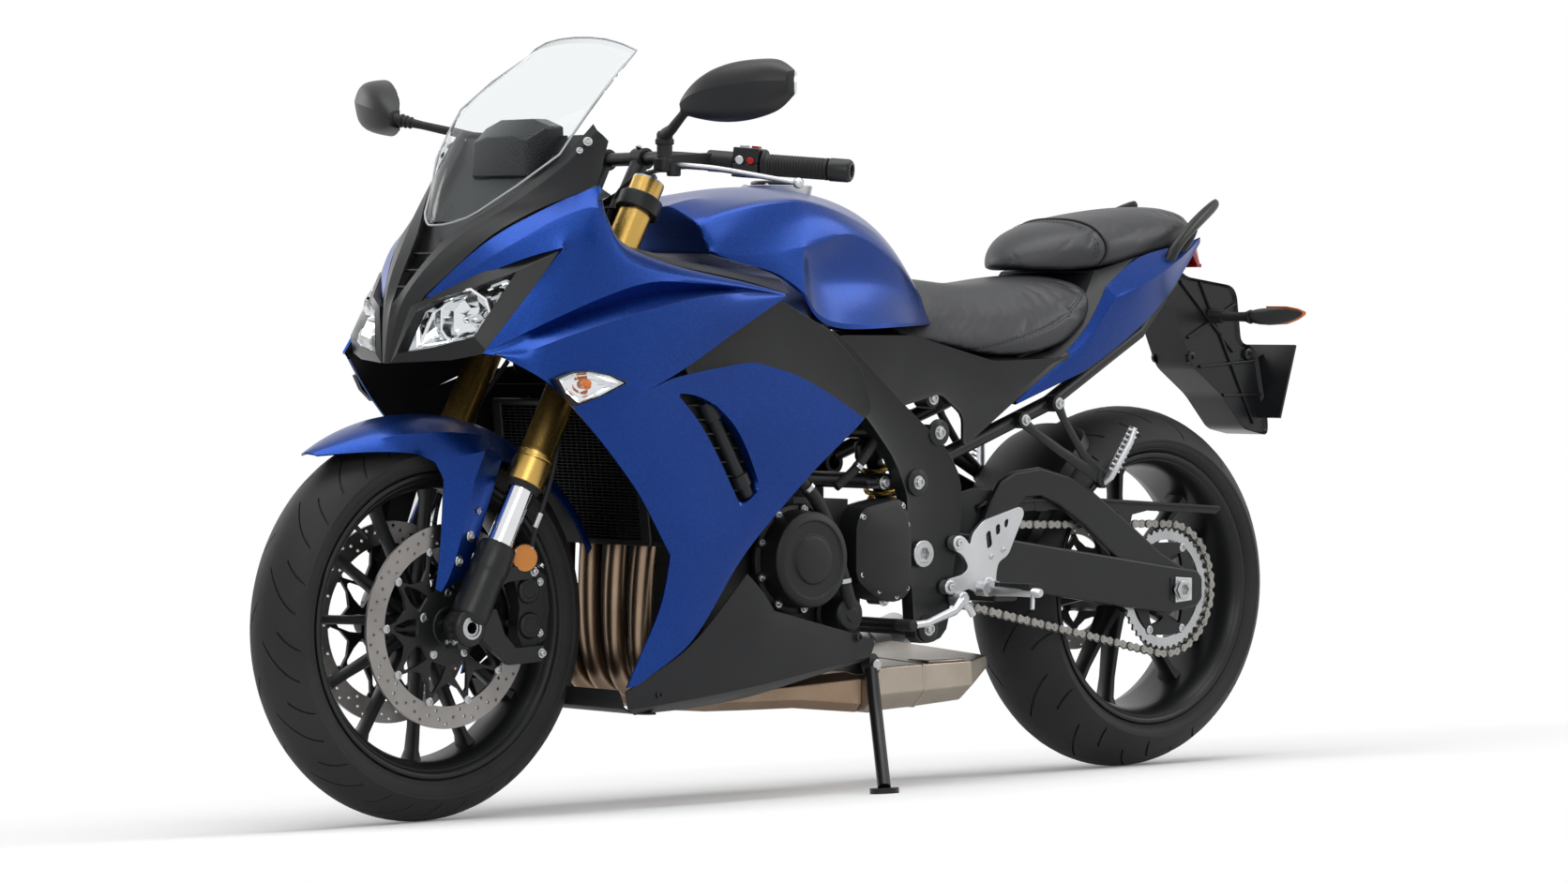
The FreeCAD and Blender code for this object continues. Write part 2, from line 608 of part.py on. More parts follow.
# x, then half sections from the top middle to the bottom middle
tank_table = [
    (516, [(0, 812), (34, 806), (58, 786), (74, 766), (84, 760), (0, 760)]),
    (548, [(0, 862), (44, 852), (78, 812), (96, 780), (108, 760), (0, 760)]),
    (600, [(0, 912), (56, 900), (96, 850), (112, 800), (132, 758), (0, 758)]),
    (660, [(0, 948), (70, 934), (118, 880), (124, 812), (156, 756), (0, 756)]),
    (730, [(0, 970), (86, 956), (140, 906), (138, 824), (172, 752), (0, 752)]),
    (820, [(0, 982), (100, 966), (160, 920), (158, 836), (178, 748), (0, 752)]),
    (900, [(0, 982), (110, 966), (172, 916), (176, 842), (186, 770), (0, 780)]),
    (930, [(0, 980), (112, 964), (174, 912), (182, 852), (184, 830), (0, 810)]),
    (1000, [(0, 970), (112, 954), (168, 906), (180, 876), (176, 852), (0, 850)]),
    (1086, [(0, 950), (106, 936), (150, 908), (164, 884), (160, 872), (0, 872)]),
]


def build_tank():
    tank = symmetric(tank_table)
    recess = Part.makeCylinder(cap_r + 6, 60, V(cap_x, 0, cap_z), V(0, 0, 1))
    parts["fuel_tank"] = [one(tank.cut(recess).cut(parts["frame"][0]))]
    lid = Part.makeCylinder(cap_r, cap_thick, V(cap_x, 0, cap_z + fit), V(0, 0, 1))
    parts["fuel_cap"] = [one(lid.fuse(cross_rod(cap_x + cap_r, cap_z + fit + cap_thick, -12, 12, 3.5)))]


rider_table = [
    (612, [(0, 826), (34, 822), (62, 800), (84, 752), (84, 738), (0, 738)]),
    (540, [(0, 838), (62, 830), (104, 792), (128, 742), (128, 726), (0, 726)]),
    (460, [(0, 820), (90, 812), (132, 780), (150, 724), (144, 708), (0, 708)]),
    (380, [(0, 822), (110, 816), (152, 782), (160, 722), (150, 706), (0, 706)]),
    (290, [(0, 836), (122, 830), (156, 790), (158, 740), (146, 722), (0, 722)]),
    (200, [(0, 842), (116, 838), (138, 808), (136, 778), (124, 768), (0, 768)]),
]
pillion_table = [
    (298, [(0, 874), (12, 872), (16, 868), (18, 860), (14, 856), (0, 856)]),
    (284, [(0, 898), (30, 892), (46, 878), (50, 864), (46, 855), (0, 855)]),
    (248, [(0, 924), (56, 914), (78, 892), (84, 866), (78, 852), (0, 852)]),
    (200, [(0, 938), (80, 928), (108, 900), (112, 868), (104, 852), (0, 852)]),
    (140, [(0, 950), (94, 940), (126, 906), (126, 872), (116, 860), (0, 860)]),
    (40, [(0, 964), (88, 954), (114, 924), (112, 890), (104, 880), (0, 880)]),
    (-80, [(0, 972), (70, 962), (90, 936), (90, 908), (84, 900), (0, 900)]),
    (-128, [(0, 960), (46, 950), (64, 932), (66, 920), (60, 914), (0, 914)]),
]


def build_seats():
    rider = symmetric(rider_table).cut(parts["fuel_tank"][0])
    parts["rider_seat"] = [biggest(rider)]
    pillion = symmetric(pillion_table)
    parts["pillion_seat"] = [biggest(pillion)]
    tray = loft([[(420, y, z) for y, z in ((-120, 690), (120, 690), (120, 702), (-120, 702))],
                 [(190, y, z) for y, z in ((-112, 745), (112, 745), (112, 760), (-112, 760))],
                 [(180, y, z) for y, z in ((-98, 812), (98, 812), (104, 851.7), (-104, 851.7))],
                 [(-80, y, z) for y, z in ((-62, 872), (62, 872), (76, 899.7), (-76, 899.7))],
                 [(-104.2, y, z) for y, z in ((-60, 880), (60, 880), (66, 904), (-66, 904))]])
    parts["seat_pan"] = [biggest(tray.cut(parts["rider_seat"][0]).cut(parts["pillion_seat"][0])
                                 .cut(parts["subframe"][0]))]


# ---------------------------------------------------------------- bodywork
# rows of outer points of the left panels, from the top row down
brow_rows = [[(1559, 52, 797), (1554, 62, 794)], [(1485, 112, 885), (1480, 156, 848)],
             [(1404, 148, 932), (1413, 200, 872)]]
upper_rows = [
    [(1404, 148, 932), (1318, 172, 968), (1316, 188, 902), (1285, 208, 866), (1180, 220, 840),
     (1080, 226, 826),
     (990, 230, 806)],
    [(1413, 200, 872), (1345, 214, 880), (1320, 228, 850), (1280, 234, 825), (1180, 238, 806),
     (1080, 236, 802),
     (990, 231, 804)],
    [(1475, 190, 790), (1420, 226, 790), (1360, 246, 760), (1290, 254, 750), (1190, 252, 752),
     (1090, 246, 770),
     (991, 232, 802)],
    [(1545, 172, 712), (1500, 212, 706), (1440, 242, 641), (1345, 262, 641), (1238, 256, 677),
     (1117, 246, 742),
     (992, 232, 800)],
]
lower_rows = [
    [(815, 226, 610), (947, 230, 680), (1064, 238, 701), (1238, 255, 668), (1345, 261, 638),
     (1438, 241, 638)],
    [(929, 235, 532), (1000, 240, 590), (1100, 244, 600), (1220, 254, 590), (1320, 257, 575),
     (1385, 248, 590)],
    [(1000, 238, 475), (1060, 242, 500), (1130, 246, 505), (1200, 250, 500), (1260, 250, 498),
     (1310, 246, 512)],
    [(1080, 238, 410), (1110, 240, 412), (1140, 241, 412), (1170, 241, 410), (1200, 241, 408),
     (1232, 240, 405)],
    [(1171, 222, 266), (1185, 222, 276), (1200, 222, 286), (1212, 222, 296), (1225, 222, 306),
     (1238, 224, 320)],
    [(1266, 204, 206), (1270, 204, 206), (1274, 204, 206), (1278, 204, 205), (1282, 204, 204),
     (1287, 203, 203)],
]
pan_rows = [
    [(1284, 197, 196), (1172, 214, 256), (1063, 226, 372), (1005, 226, 312), (770, 200, 258)],
    [(1272, 188, 168), (1172, 206, 178), (1062, 214, 186), (1000, 214, 192), (772, 196, 228)],
    [(1250, 178, 158), (1172, 150, 160), (1062, 150, 166), (1000, 170, 176), (775, 184, 224)],
]
trim_rows = [
    [(1284, 203, 868), (1180, 215, 842), (1080, 221, 828), (988, 226, 808)],
    [(1284, 184, 880), (1180, 184, 856), (1080, 182, 842), (960, 184, 828)],
]
tail_rows = [
    [(402, 152, 634), (300, 152, 702), (230, 150, 750), (150, 138, 820), (55, 124, 862), (-14, 110, 886),
     (-69, 98, 900), (-104, 92, 914)],
    [(402, 152, 629), (300, 152, 665), (230, 150, 688), (150, 142, 728), (55, 130, 777), (-14, 116, 828),
     (-69, 100, 872), (-104, 92, 904)],
]
lens_outline = [(1590, 27, 712), (1574, 50, 774), (1560, 84, 792), (1476, 166, 834), (1543, 150, 738)]
housing_outline = [(1596, 16, 700), (1580, 40, 780), (1566, 76, 796), (1418, 194, 866), (1532, 166, 714)]
signal_outline = [(1465, 675), (1411, 685), (1348, 669), (1429, 637)]


def rows_panel(rows, inward, thickness=panel):
    """Panel from rows that all run the same way along the machine."""
    ribs = [[row[i] for row in rows] for i in range(len(rows[0]))]
    return skin(ribs, inward, thickness)


def moved(points, dx, dy, dz, toward=None, share=0.0):
    """Points moved, and drawn by a share of the way to one point."""
    out = []
    for x, y, z in points:
        if toward:
            x, y, z = (p + (q - p) * share for p, q in zip((x, y, z), toward))
        out.append((x + dx, y + dy, z + dz))
    return out


def build_lamps():
    centre = (1545, 100, 765)
    lens = loft([moved(lens_outline, 0, 0, 0), moved(lens_outline, -46, -10, 0, centre, 0.15)])
    box = loft([moved(housing_outline, -1, -1, 0), moved(housing_outline, -80, -16, 0, centre, 0.25)])
    room = loft([moved(lens_outline, 4, 1, 0, centre, -0.015),
                 moved(lens_outline, -48, -10, 0, centre, 0.12)])
    parts["headlights"] = pair(lens)
    boxes = pair(biggest(box.cut(room)))
    signal = prism(signal_outline, 238, 266)
    parts["front_indicators"] = pair(signal)
    return boxes


def build_side_panels(lamp_boxes):
    left = (0, -1, 0)
    signal_hole = prism([(1466, 675.5), (1411, 686), (1346, 669), (1429, 635.8)], 200, 300)
    upper = rows_panel(upper_rows, left)
    brow = rows_panel([[row[0] for row in brow_rows], [row[1] for row in brow_rows]], left)
    upper = upper.fuse(brow).cut(signal_hole).cut(parts["headlights"][0])
    parts["upper_fairings"] = pair(one(upper.cut(lamp_boxes[0])))
    lower = rows_panel(lower_rows, left).cut(signal_hole)
    vent = prism([(1205, 640), (1166, 650), (1106, 628), (1036, 516), (1050, 498), (1087, 476),
                  (1096, 485),
                  (1184, 612)], 180, 300)
    parts["lower_fairings"] = pair(biggest(lower.cut(vent).cut(upper)))
    pan = rows_panel(pan_rows, left)
    cross = prism([(1206, 157), (1235, 163), (1227, 216), (1221, 216), (1206, 163)], -176, 176)
    pan = pan.fuse(mirrored(pan)).fuse(cross)
    for side in parts["lower_fairings"]:
        pan = pan.cut(side)
    for other in parts["exhaust_headers"] + parts["engine_covers"]:
        pan = pan.cut(other)
    parts["belly_pan"] = [one(pan)]
    trim = rows_panel(trim_rows, (0, 0, -1))
    parts["inner_trim"] = pair(biggest(trim.cut(parts["upper_fairings"][0]).cut(parts["fuel_tank"][0])))
    cover = prism([(812, 730), (806, 742), (640, 742), (455, 700), (300, 706), (272, 716), (404, 638),
                   (528, 558),
                   (528, 612), (580, 648), (664, 628), (676, 622)], spar_in + 2, spar_in + 6)
    cover = cover.cut(parts["frame"][0]).cut(parts["rider_seat"][0]).cut(parts["fuel_tank"][0])
    parts["side_covers"] = pair(biggest(cover))
    tail = rows_panel(tail_rows, left).cut(cover)
    for name in ("pillion_seat", "rider_seat", "subframe"):
        tail = tail.cut(parts[name][0])
    parts["tail_fairings"] = pair(biggest(tail))


def build_nose(lamp_boxes):
    """Dark centre of the nose, the arms on both sides of the screen and the ears that hold it."""
    arm_rows = [
        [(1597, 0, 697), (1585, 0, 783), (1506, 34, 893), (1440, 104, 948), (1378, 146, 1004),
         (1322, 160, 1062)],
        [(1590, 15, 698), (1560, 50, 798), (1486, 110, 889), (1405, 146, 937), (1318, 170, 973),
         (1296, 166, 1040)],
    ]
    arm = rows_panel(arm_rows, (-0.7, -0.1, -0.7), 5.0)
    nose = arm.fuse(mirrored(arm))
    for lamp in lamp_boxes:
        nose = nose.fuse(lamp)
    # half rows of the screen from its middle outward: x, y, z
    screen_rows = [
        [(1506, 0, 906), (1490, 34, 910), (1470, 64, 925)],
        [(1442, 0, 985), (1426, 76, 990), (1380, 150, 1012)],
        [(1362, 0, 1080), (1350, 88, 1082), (1322, 163, 1092)],
        [(1228, 0, 1206), (1224, 70, 1202), (1211, 130, 1182)],
    ]
    rings = []
    for row in screen_rows:
        front = [(x, -y, z) for x, y, z in reversed(row[1:])] + row
        rings.append(front + [(x - 2.2, y, z - 2.2) for x, y, z in reversed(front)])
    screen = loft(rings)
    for side in (-1, 1):
        nose = nose.fuse(rod((1320, side * 158, 1052), (1350, side * 163, 1058), 7))
    for other in parts["upper_fairings"] + parts["headlights"] + [screen]:
        nose = nose.cut(other)
    parts["nose_cowl"] = [one(nose)]
    parts["windscreen"] = [screen]
    dash = loft([[(1372, y, z) for y, z in ((-78, 985), (78, 985), (66, 1026), (-66, 1026))],
                 [(1318, y, z) for y, z in ((-80, 975), (80, 975), (70, 1056), (-70, 1056))]])
    parts["instrument_panel"] = [dash]
    stay = block(1216, 1370, -34, 34, 846, 858).fuse(block(1352, 1364, -30, 30, 846, 984))
    stay = stay.fuse(block(1352, 1364, -240, 240, 846, 858))
    stay = stay.cut(parts["frame"][0]).cut(dash)
    for name in ("upper_fairings", "nose_cowl"):
        for side in parts[name]:
            stay = stay.cut(side)
    parts["nose_stay"] = [biggest(stay)]


def build_tail():
    parts["tail_light"] = [loft([[(-104.5, y, z) for y, z in ((-84, 870), (84, 870), (60, 900),
                                                              (-60, 900))],
                                 [(-138, y, z) for y, z in ((-58, 862), (58, 862), (50, 908),
                                                            (-50, 908))]])]
    tidy_half = 44
    tidy = prism([(-40, 852), (-90, 784), (-118, 716), (-216, 650), (-312, 568), (-328, 590), (-296, 690),
                  (-244, 806), (-104, 858)], -tidy_half, tidy_half)
    hollow = prism([(-112, 790), (-136, 722), (-222, 662), (-300, 596), (-278, 690), (-240, 790)],
                   -tidy_half + 6, tidy_half - 6)
    bracket = prism([(-280, 690), (-347, 712), (-323, 634), (-296, 634)], -20, 20)
    mount = prism([(-84, 850), (-60, 848), (-60, 890), (-84, 894)], -30, 30)
    tidy = tidy.cut(hollow).fuse(bracket).fuse(mount).cut(parts["tail_light"][0])
    for name in ("subframe", "seat_pan"):
        tidy = tidy.cut(parts[name][0])
    plate = prism([(-356, 728), (-352, 729), (-312, 600), (-316, 599)], -90, 90)
    parts["tail_tidy"] = [one(tidy.cut(plate))]
    parts["number_plate"] = [plate]
    stalk = rod((-190, tidy_half - 1, 775), (-204, 112, 777), 8)
    lamp = loft([[(-196, 108, 766), (-186, 112, 788), (-220, 118, 792), (-226, 116, 764)],
                 [(-232, 148, 762), (-214, 156, 792), (-250, 160, 796), (-262, 152, 766)],
                 [(-272, 172, 780), (-270, 175, 788), (-280, 177, 789), (-282, 174, 781)]])
    parts["rear_indicators"] = pair(one(lamp.fuse(stalk).cut(parts["tail_tidy"][0])))
    rail = tube([(14, 106, 846), (10, 134, 872), (-60, 124, 925), (-140, 96, 975)], 8)
    rail = rail.fuse(tube([(-60, 124, 925), (-34, 100, 868)], 7))
    for name in ("subframe", "pillion_seat", "tail_fairings", "seat_pan", "tail_light"):
        rail = rail.cut(parts[name][0])
    parts["grab_rails"] = pair(biggest(rail))


# ---------------------------------------------------------------- controls for the feet
def build_footrests():
    plate = prism([(594, 414), (612, 330), (600, 318), (560, 330), (528, 318), (500, 328), (476, 372),
                   (440, 463),
                   (500, 460), (540, 405), (560, 424)], spar_out + 6, spar_out + 14)
    hole = prism([(470, 450), (482, 400), (512, 372), (530, 392), (498, 450)], 150, 250)
    plate = plate.cut(hole)
    for x, z in ((592, 404), (604, 334)):
        plate = plate.fuse(cross_rod(x, z, spar_out, spar_out + 8, 9))
    peg = tube([(522, spar_out + 10, 332), (516, 226, 330), (506, 312, 328)], 10)
    parts["rider_footrests"] = pair(one(plate.fuse(peg)))
    lever = tube([(575, 204, 316), (672, 222, 276), (728, 222, 280)], 6)
    lever = lever.fuse(cross_rod(575, 316, spar_out + 3, 210, 9))
    lever = lever.fuse(cross_rod(728, 280, 214, 252, 9))
    lever = lever.cut(parts["rider_footrests"][0])
    lever = one(lever.fuse(rod((575, spar_out, 316), (575, spar_out + 4, 316), 9)))
    pedal = tube([(575, -204, 316), (640, -222, 262), (716, -226, 262)], 6)
    pedal = pedal.fuse(cross_rod(575, 316, -210, -spar_out, 9)).fuse(block(706, 734, -248, -214, 258,
                                                                           268))
    parts["foot_levers"] = [lever, one(pedal.cut(parts["rider_footrests"][1]))]
    hanger = prism([(396, 612), (384, 588), (320, 604), (212, 506), (196, 492), (180, 506), (200, 530),
                    (290, 646),
                    (312, 648)], 141, 149)
    hanger = hanger.fuse(cross_rod(378, 603, 124, 142, 9)).fuse(cross_rod(299, 630, 122, 142, 9))
    hanger = hanger.fuse(tube([(190, 146, 504), (190, 158, 510), (232, 190, 590)], 9))
    for name in ("subframe", "side_covers", "tail_fairings"):
        hanger = hanger.cut(parts[name][0])
    parts["passenger_footrests"] = pair(biggest(hanger))


def build_rear_brake():
    y = -(chain_y - 6 + disc_thickness / 2)
    body = prism([(40, 400), (118, 362), (150, 392), (70, 432)], y - 18, y + 18)
    slot = cross_rod(rear_axle_x, rear_tyre_r, y - 6.5, y + 6.5, rear_disc_r + 6)
    hanger = prism([(100, 392), (150, 340), (190, 340), (150, 400)], -arm_in, y - 10)
    body = body.fuse(hanger).cut(slot).cut(parts["swingarm"][0])
    parts["rear_caliper"] = [one(body)]


# ---------------------------------------------------------------- side stand
stand_pivot = V(735, 158, 214)
stand_forward = 112.0         # how far its foot stands ahead of the pivot
stand_outward = 137.0         # and to the left of it, both as it stands on the floor
stand_foot_r = 23.0


def crown_radius(radius, half, drop):
    return (half * half + drop * drop) / (2 * drop)


def lift():
    """How much the lean lowers the round rear tyre's middle."""
    return crown_radius(rear_tyre_r, rear_tyre_half, rear_crown_drop) * (1 - math.cos(lean))


def leaned(p):
    """A point of the upright machine as it stands, before the origin moves."""
    return V(p.x, p.y * math.cos(lean) + p.z * math.sin(lean),
             p.z * math.cos(lean) - p.y * math.sin(lean) + lift())


def upright(p):
    """The upright machine's point that stands at a place of the leaned one."""
    z = p.z - lift()
    return V(p.x, p.y * math.cos(lean) - z * math.sin(lean), p.y * math.sin(lean) + z * math.cos(lean))


def build_stand():
    """Side stand as it is put out, with its foot flat on the floor of the leaned machine."""
    pivot = stand_pivot
    hip = leaned(pivot)
    foot_low = upright(V(hip.x + stand_forward, hip.y + stand_outward, 0))
    foot_top = upright(V(hip.x + stand_forward, hip.y + stand_outward, 9))
    out = (foot_top - pivot).normalize()
    back = V(-1, 0, 0)
    turn = back - out
    turn.normalize()
    axis = (V(0, 1, 0) - turn * turn.y).normalize()
    flat_out = out - axis * out.dot(axis)
    flat_back = back - axis * back.dot(axis)
    swing = math.degrees(flat_out.getAngle(flat_back))
    if flat_out.cross(flat_back).dot(axis) < 0:
        swing = -swing
    eye = Part.makeCylinder(17, 16, pivot - axis * 8, axis)
    leg = Part.makeCylinder(10.5, (foot_top - pivot).Length, pivot, foot_top - pivot)
    foot = Part.makeCylinder(stand_foot_r, 9, foot_low, foot_top - foot_low)
    stand = eye.fuse(leg).fuse(foot)
    stand = stand.cut(Part.makeCylinder(7, 60, pivot - axis * 30, axis))
    floor = Part.makeCylinder(80, 60, foot_low, foot_low - foot_top)
    # the bracket's boss fills a round space beside the eye, so it clears the leg at every angle
    boss_space = Part.makeCylinder(20, 12, pivot - axis * 20.2, axis)
    parts["side_stand"] = [one(stand.cut(floor).cut(boss_space))]
    pin = Part.makeCylinder(7 - running, 44, pivot - axis * 22, axis)
    inner = Part.makeCylinder(19, 10, pivot - axis * 18.5, axis)
    plate = prism([(720, 200), (752, 196), (812, 214), (812, 262), (776, 262), (726, 234)],
                  engine_half, engine_half + 8)
    plate = plate.cut(Part.makeCylinder(32, 60, pivot - axis * 8.5, axis))
    parts["stand_bracket"] = [one(plate.fuse(inner).fuse(pin).cut(parts["engine"][0]))]
    return pivot, axis, swing


# ---------------------------------------------------------------- everything
def build_all():
    build_wheels()
    build_fork()
    build_steering()
    build_mirrors()
    build_front_fender()
    build_calipers()
    build_frame()
    build_engine()
    build_exhaust()
    build_swingarm()
    build_drive()
    build_subframe()
    build_tank()
    build_seats()
    lamp_boxes = build_lamps()
    build_side_panels(lamp_boxes)
    build_nose(lamp_boxes)
    build_tail()
    build_footrests()
    build_rear_brake()
    return build_stand()


def place(solids):
    """Lean every solid and put the origin on the floor under the middle of the machine."""
    move = FreeCAD.Placement(V(0, 0, lift()), FreeCAD.Rotation(V(1, 0, 0), -math.degrees(lean)))
    for name in solids:
        for i, solid in enumerate(solids[name]):
            solids[name][i] = solid.transformed(move.toMatrix())
    box = Part.makeCompound([s for group in solids.values() for s in group]).optimalBoundingBox(False)
    shift = V(-box.Center.x, -box.Center.y, 0)
    for group in solids.values():
        for solid in group:
            solid.translate(shift)
    return shift


stand_joint = build_all()
shift = place(parts)
steer_low = V(*fork(0, -fork_offset, 0))
steer_high = V(*fork(fork_top, -fork_offset, 0))
joint_lines = {
    "steering": (steer_low, steer_high),
    "front_wheel": (V(front_axle_x, 0, front_tyre_r), V(front_axle_x, 1, front_tyre_r)),
    "rear_wheel": (V(rear_axle_x, 0, rear_tyre_r), V(rear_axle_x, 1, rear_tyre_r)),
    "side_stand": (stand_joint[0], stand_joint[0] + stand_joint[1]),
    "fuel_cap": (V(cap_x + cap_r, 0, cap_z + fit + cap_thick),
                 V(cap_x + cap_r, 1, cap_z + fit + cap_thick)),
}
for name, (a, b) in joint_lines.items():
    a, b = leaned(a) + shift, leaned(b) + shift
    axis = (b - a).normalize()
    print("joint", name, [round(v, 3) for v in a], [round(v, 6) for v in axis])
print("stand swing", round(stand_joint[2], 2))
print("origin shift", [round(v, 3) for v in shift])

os.makedirs("parts", exist_ok=True)
for name, solids in parts.items():
    for solid in solids:
        if not solid.isValid() or solid.Volume < 100 or len(solid.Solids) != 1:
            print("CHECK", name, solid.isValid(), round(solid.Volume), len(solid.Solids), solid.ShapeType)
    Part.makeCompound([s.Solids[0] for s in solids]).exportStep("parts/" + name + ".step")
print(len(parts), "nodes")
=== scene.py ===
import bpy
import bmesh
import math
from mathutils import Matrix, Vector
from mathutils.bvhtree import BVHTree
from mathutils.kdtree import KDTree


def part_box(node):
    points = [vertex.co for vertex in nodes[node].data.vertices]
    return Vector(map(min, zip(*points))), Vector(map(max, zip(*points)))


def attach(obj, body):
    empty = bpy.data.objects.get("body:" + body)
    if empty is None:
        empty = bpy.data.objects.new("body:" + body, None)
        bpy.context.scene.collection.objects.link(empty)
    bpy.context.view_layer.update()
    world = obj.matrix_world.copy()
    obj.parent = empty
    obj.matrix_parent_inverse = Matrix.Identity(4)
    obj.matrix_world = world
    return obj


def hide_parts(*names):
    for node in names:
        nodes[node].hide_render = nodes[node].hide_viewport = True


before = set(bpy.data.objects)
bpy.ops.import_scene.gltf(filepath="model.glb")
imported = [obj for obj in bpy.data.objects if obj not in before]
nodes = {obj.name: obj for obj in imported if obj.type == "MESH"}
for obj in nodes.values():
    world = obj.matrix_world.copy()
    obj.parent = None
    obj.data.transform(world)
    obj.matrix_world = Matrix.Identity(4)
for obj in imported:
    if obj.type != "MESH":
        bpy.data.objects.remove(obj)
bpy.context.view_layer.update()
print("frame loaded")

# ---- the leaning machine
# Pieces are drawn upright in millimetres, x forward from the rear axle, y left and z up from the floor, then leaned
leanAngle = math.radians(4.5)
rearTyreR = 311
frontX = 1530
frontTyreR = 300
rake = math.radians(28)
axleLow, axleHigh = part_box("rear_axle")
leanOnly = Matrix.Rotation(-leanAngle, 4, "X") @ Matrix.Scale(0.001, 4)
standing = Matrix.Translation((axleLow + axleHigh) / 2 - leanOnly @ Vector((0, 0, rearTyreR))) @ leanOnly


def forkPoint(s, n, y):
    # s up the fork from the front axle, n ahead of it
    return Vector((frontX - math.sin(rake) * s + math.cos(rake) * n, y,
                   frontTyreR + math.cos(rake) * s + math.sin(rake) * n))


# ---- mesh helpers
def vertsOf(result):
    return [g for g in result["geom"] if isinstance(g, bmesh.types.BMVert)]


def facesOf(result):
    return [g for g in result["geom"] if isinstance(g, bmesh.types.BMFace)]


def addRow(bm, points, closed=False):
    # a chain of vertices along points
    row = [bm.verts.new(p) for p in points]
    for a, b in zip(row, row[1:]):
        bm.edges.new((a, b))
    if closed:
        bm.edges.new((row[-1], row[0]))
    return row


def growRow(bm, row, points, closed=False):
    # extrudes a row of vertices to the next row of points and returns the new row
    pairs = list(zip(row, row[1:])) + ([(row[-1], row[0])] if closed else [])
    edges = [bm.edges.get(p) for p in pairs]
    grown = bmesh.ops.extrude_edge_only(bm, edges=edges)
    fresh = set(vertsOf(grown))
    result = []
    for old, point in zip(row, points):
        new = next(v for v in (e.other_vert(old) for e in old.link_edges) if v in fresh)
        new.co = point
        result.append(new)
    return result


def sheetOf(rows, closed=False):
    # a skin through rows of points, with its first and last rows open
    bm = bmesh.new()
    bm.edges.layers.float.new("crease_edge")
    bm.verts.layers.float.new("crease_vert")
    row = addRow(bm, rows[0], closed)
    grid = [row]
    for points in rows[1:]:
        row = growRow(bm, row, points, closed)
        grid.append(row)
    bmesh.ops.recalc_face_normals(bm, faces=bm.faces)
    return bm, grid


def bodyOf(rings):
    # a closed form through rings of points
    bm, grid = sheetOf(rings, closed=True)
    for ring in (grid[0], grid[-1]):
        bmesh.ops.contextual_create(bm, geom=ring)
    bmesh.ops.recalc_face_normals(bm, faces=bm.faces)
    return bm, grid


def crease(bm, chains, amount=1.0):
    layer = bm.edges.layers.float["crease_edge"]
    for chain in chains:
        for a, b in zip(chain, chain[1:]):
            edge = bm.edges.get((a, b))
            if edge:
                edge[layer] = amount
                edge.smooth = amount < 0.7


def mirrorMesh(bm):
    # adds the right-hand twin of what is there
    twin = bmesh.ops.duplicate(bm, geom=bm.verts[:] + bm.edges[:] + bm.faces[:])
    moved = vertsOf(twin)
    bmesh.ops.scale(bm, vec=(1, -1, 1), verts=moved)
    bmesh.ops.reverse_faces(bm, faces=facesOf(twin))


def rodMesh(bm, a, b, r0, r1=None, sides=24, caps=True):
    a, b = Vector(a), Vector(b)
    turn = (b - a).to_track_quat("Z", "Y").to_matrix().to_4x4()
    place = Matrix.Translation((a + b) / 2) @ turn
    return bmesh.ops.create_cone(bm, cap_ends=caps, segments=sides, radius1=r0, radius2=r0 if r1 is None else r1,
                                 depth=(b - a).length, matrix=place)["verts"]


def turnedMesh(bm, profile, place, sides=48):
    # profile of (height, radius) spun about the place's own z
    row = addRow(bm, [(r, 0, h) for h, r in profile])
    before = set(bm.verts) - set(row)
    edges = [bm.edges.get(p) for p in zip(row, row[1:])]
    bmesh.ops.spin(bm, geom=row + edges, cent=(0, 0, 0), axis=(0, 0, 1), angle=math.tau, steps=sides,
                   use_merge=True)
    fresh = [v for v in bm.verts if v not in before]
    bmesh.ops.remove_doubles(bm, verts=fresh, dist=0.01)
    fresh = [v for v in bm.verts if v not in before]
    bmesh.ops.recalc_face_normals(bm, faces=list({f for v in fresh for f in v.link_faces}))
    bmesh.ops.transform(bm, matrix=place, verts=fresh)
    return fresh


def facing(point, direction):
    # a place at point whose z runs along direction
    return Matrix.Translation(Vector(point)) @ Vector(direction).to_track_quat("Z", "Y").to_matrix().to_4x4()


def joinMesh(bm, other):
    # adds the other form to this one
    mesh = bpy.data.meshes.new("joined")
    other.to_mesh(mesh)
    other.free()
    bm.from_mesh(mesh)
    bpy.data.meshes.remove(mesh)


def leftward(x, y, z):
    return facing((x, y, z), (0, 1, 0))


def plateMesh(bm, outer, holes, y0, y1):
    # a flat plate in the side view with holes in it, from y0 to y1
    edges = []
    for outline in [outer] + holes:
        row = addRow(bm, [(x, y0, z) for x, z in outline], closed=True)
        edges += [bm.edges.get(p) for p in zip(row, row[1:] + row[:1])]
    filled = bmesh.ops.triangle_fill(bm, use_beauty=True, use_dissolve=False, edges=edges)
    faces = facesOf(filled)
    grown = bmesh.ops.extrude_face_region(bm, geom=faces)
    bmesh.ops.translate(bm, vec=(0, y1 - y0, 0), verts=vertsOf(grown))
    whole = faces + facesOf(grown)
    whole += [f for e in edges for f in e.link_faces]
    bmesh.ops.recalc_face_normals(bm, faces=list(set(whole)))
    return vertsOf(grown)


def ringPoints(x, z, r, count):
    return [(x + r * math.cos(i * math.tau / count), z + r * math.sin(i * math.tau / count)) for i in range(count)]


def boxMesh(bm, x0, x1, y0, y1, z0, z1):
    place = Matrix.Translation(((x0 + x1) / 2, (y0 + y1) / 2, (z0 + z1) / 2))
    return bmesh.ops.create_cube(bm, size=1, matrix=place @ Matrix.Diagonal((x1 - x0, y1 - y0, z1 - z0, 1)))["verts"]


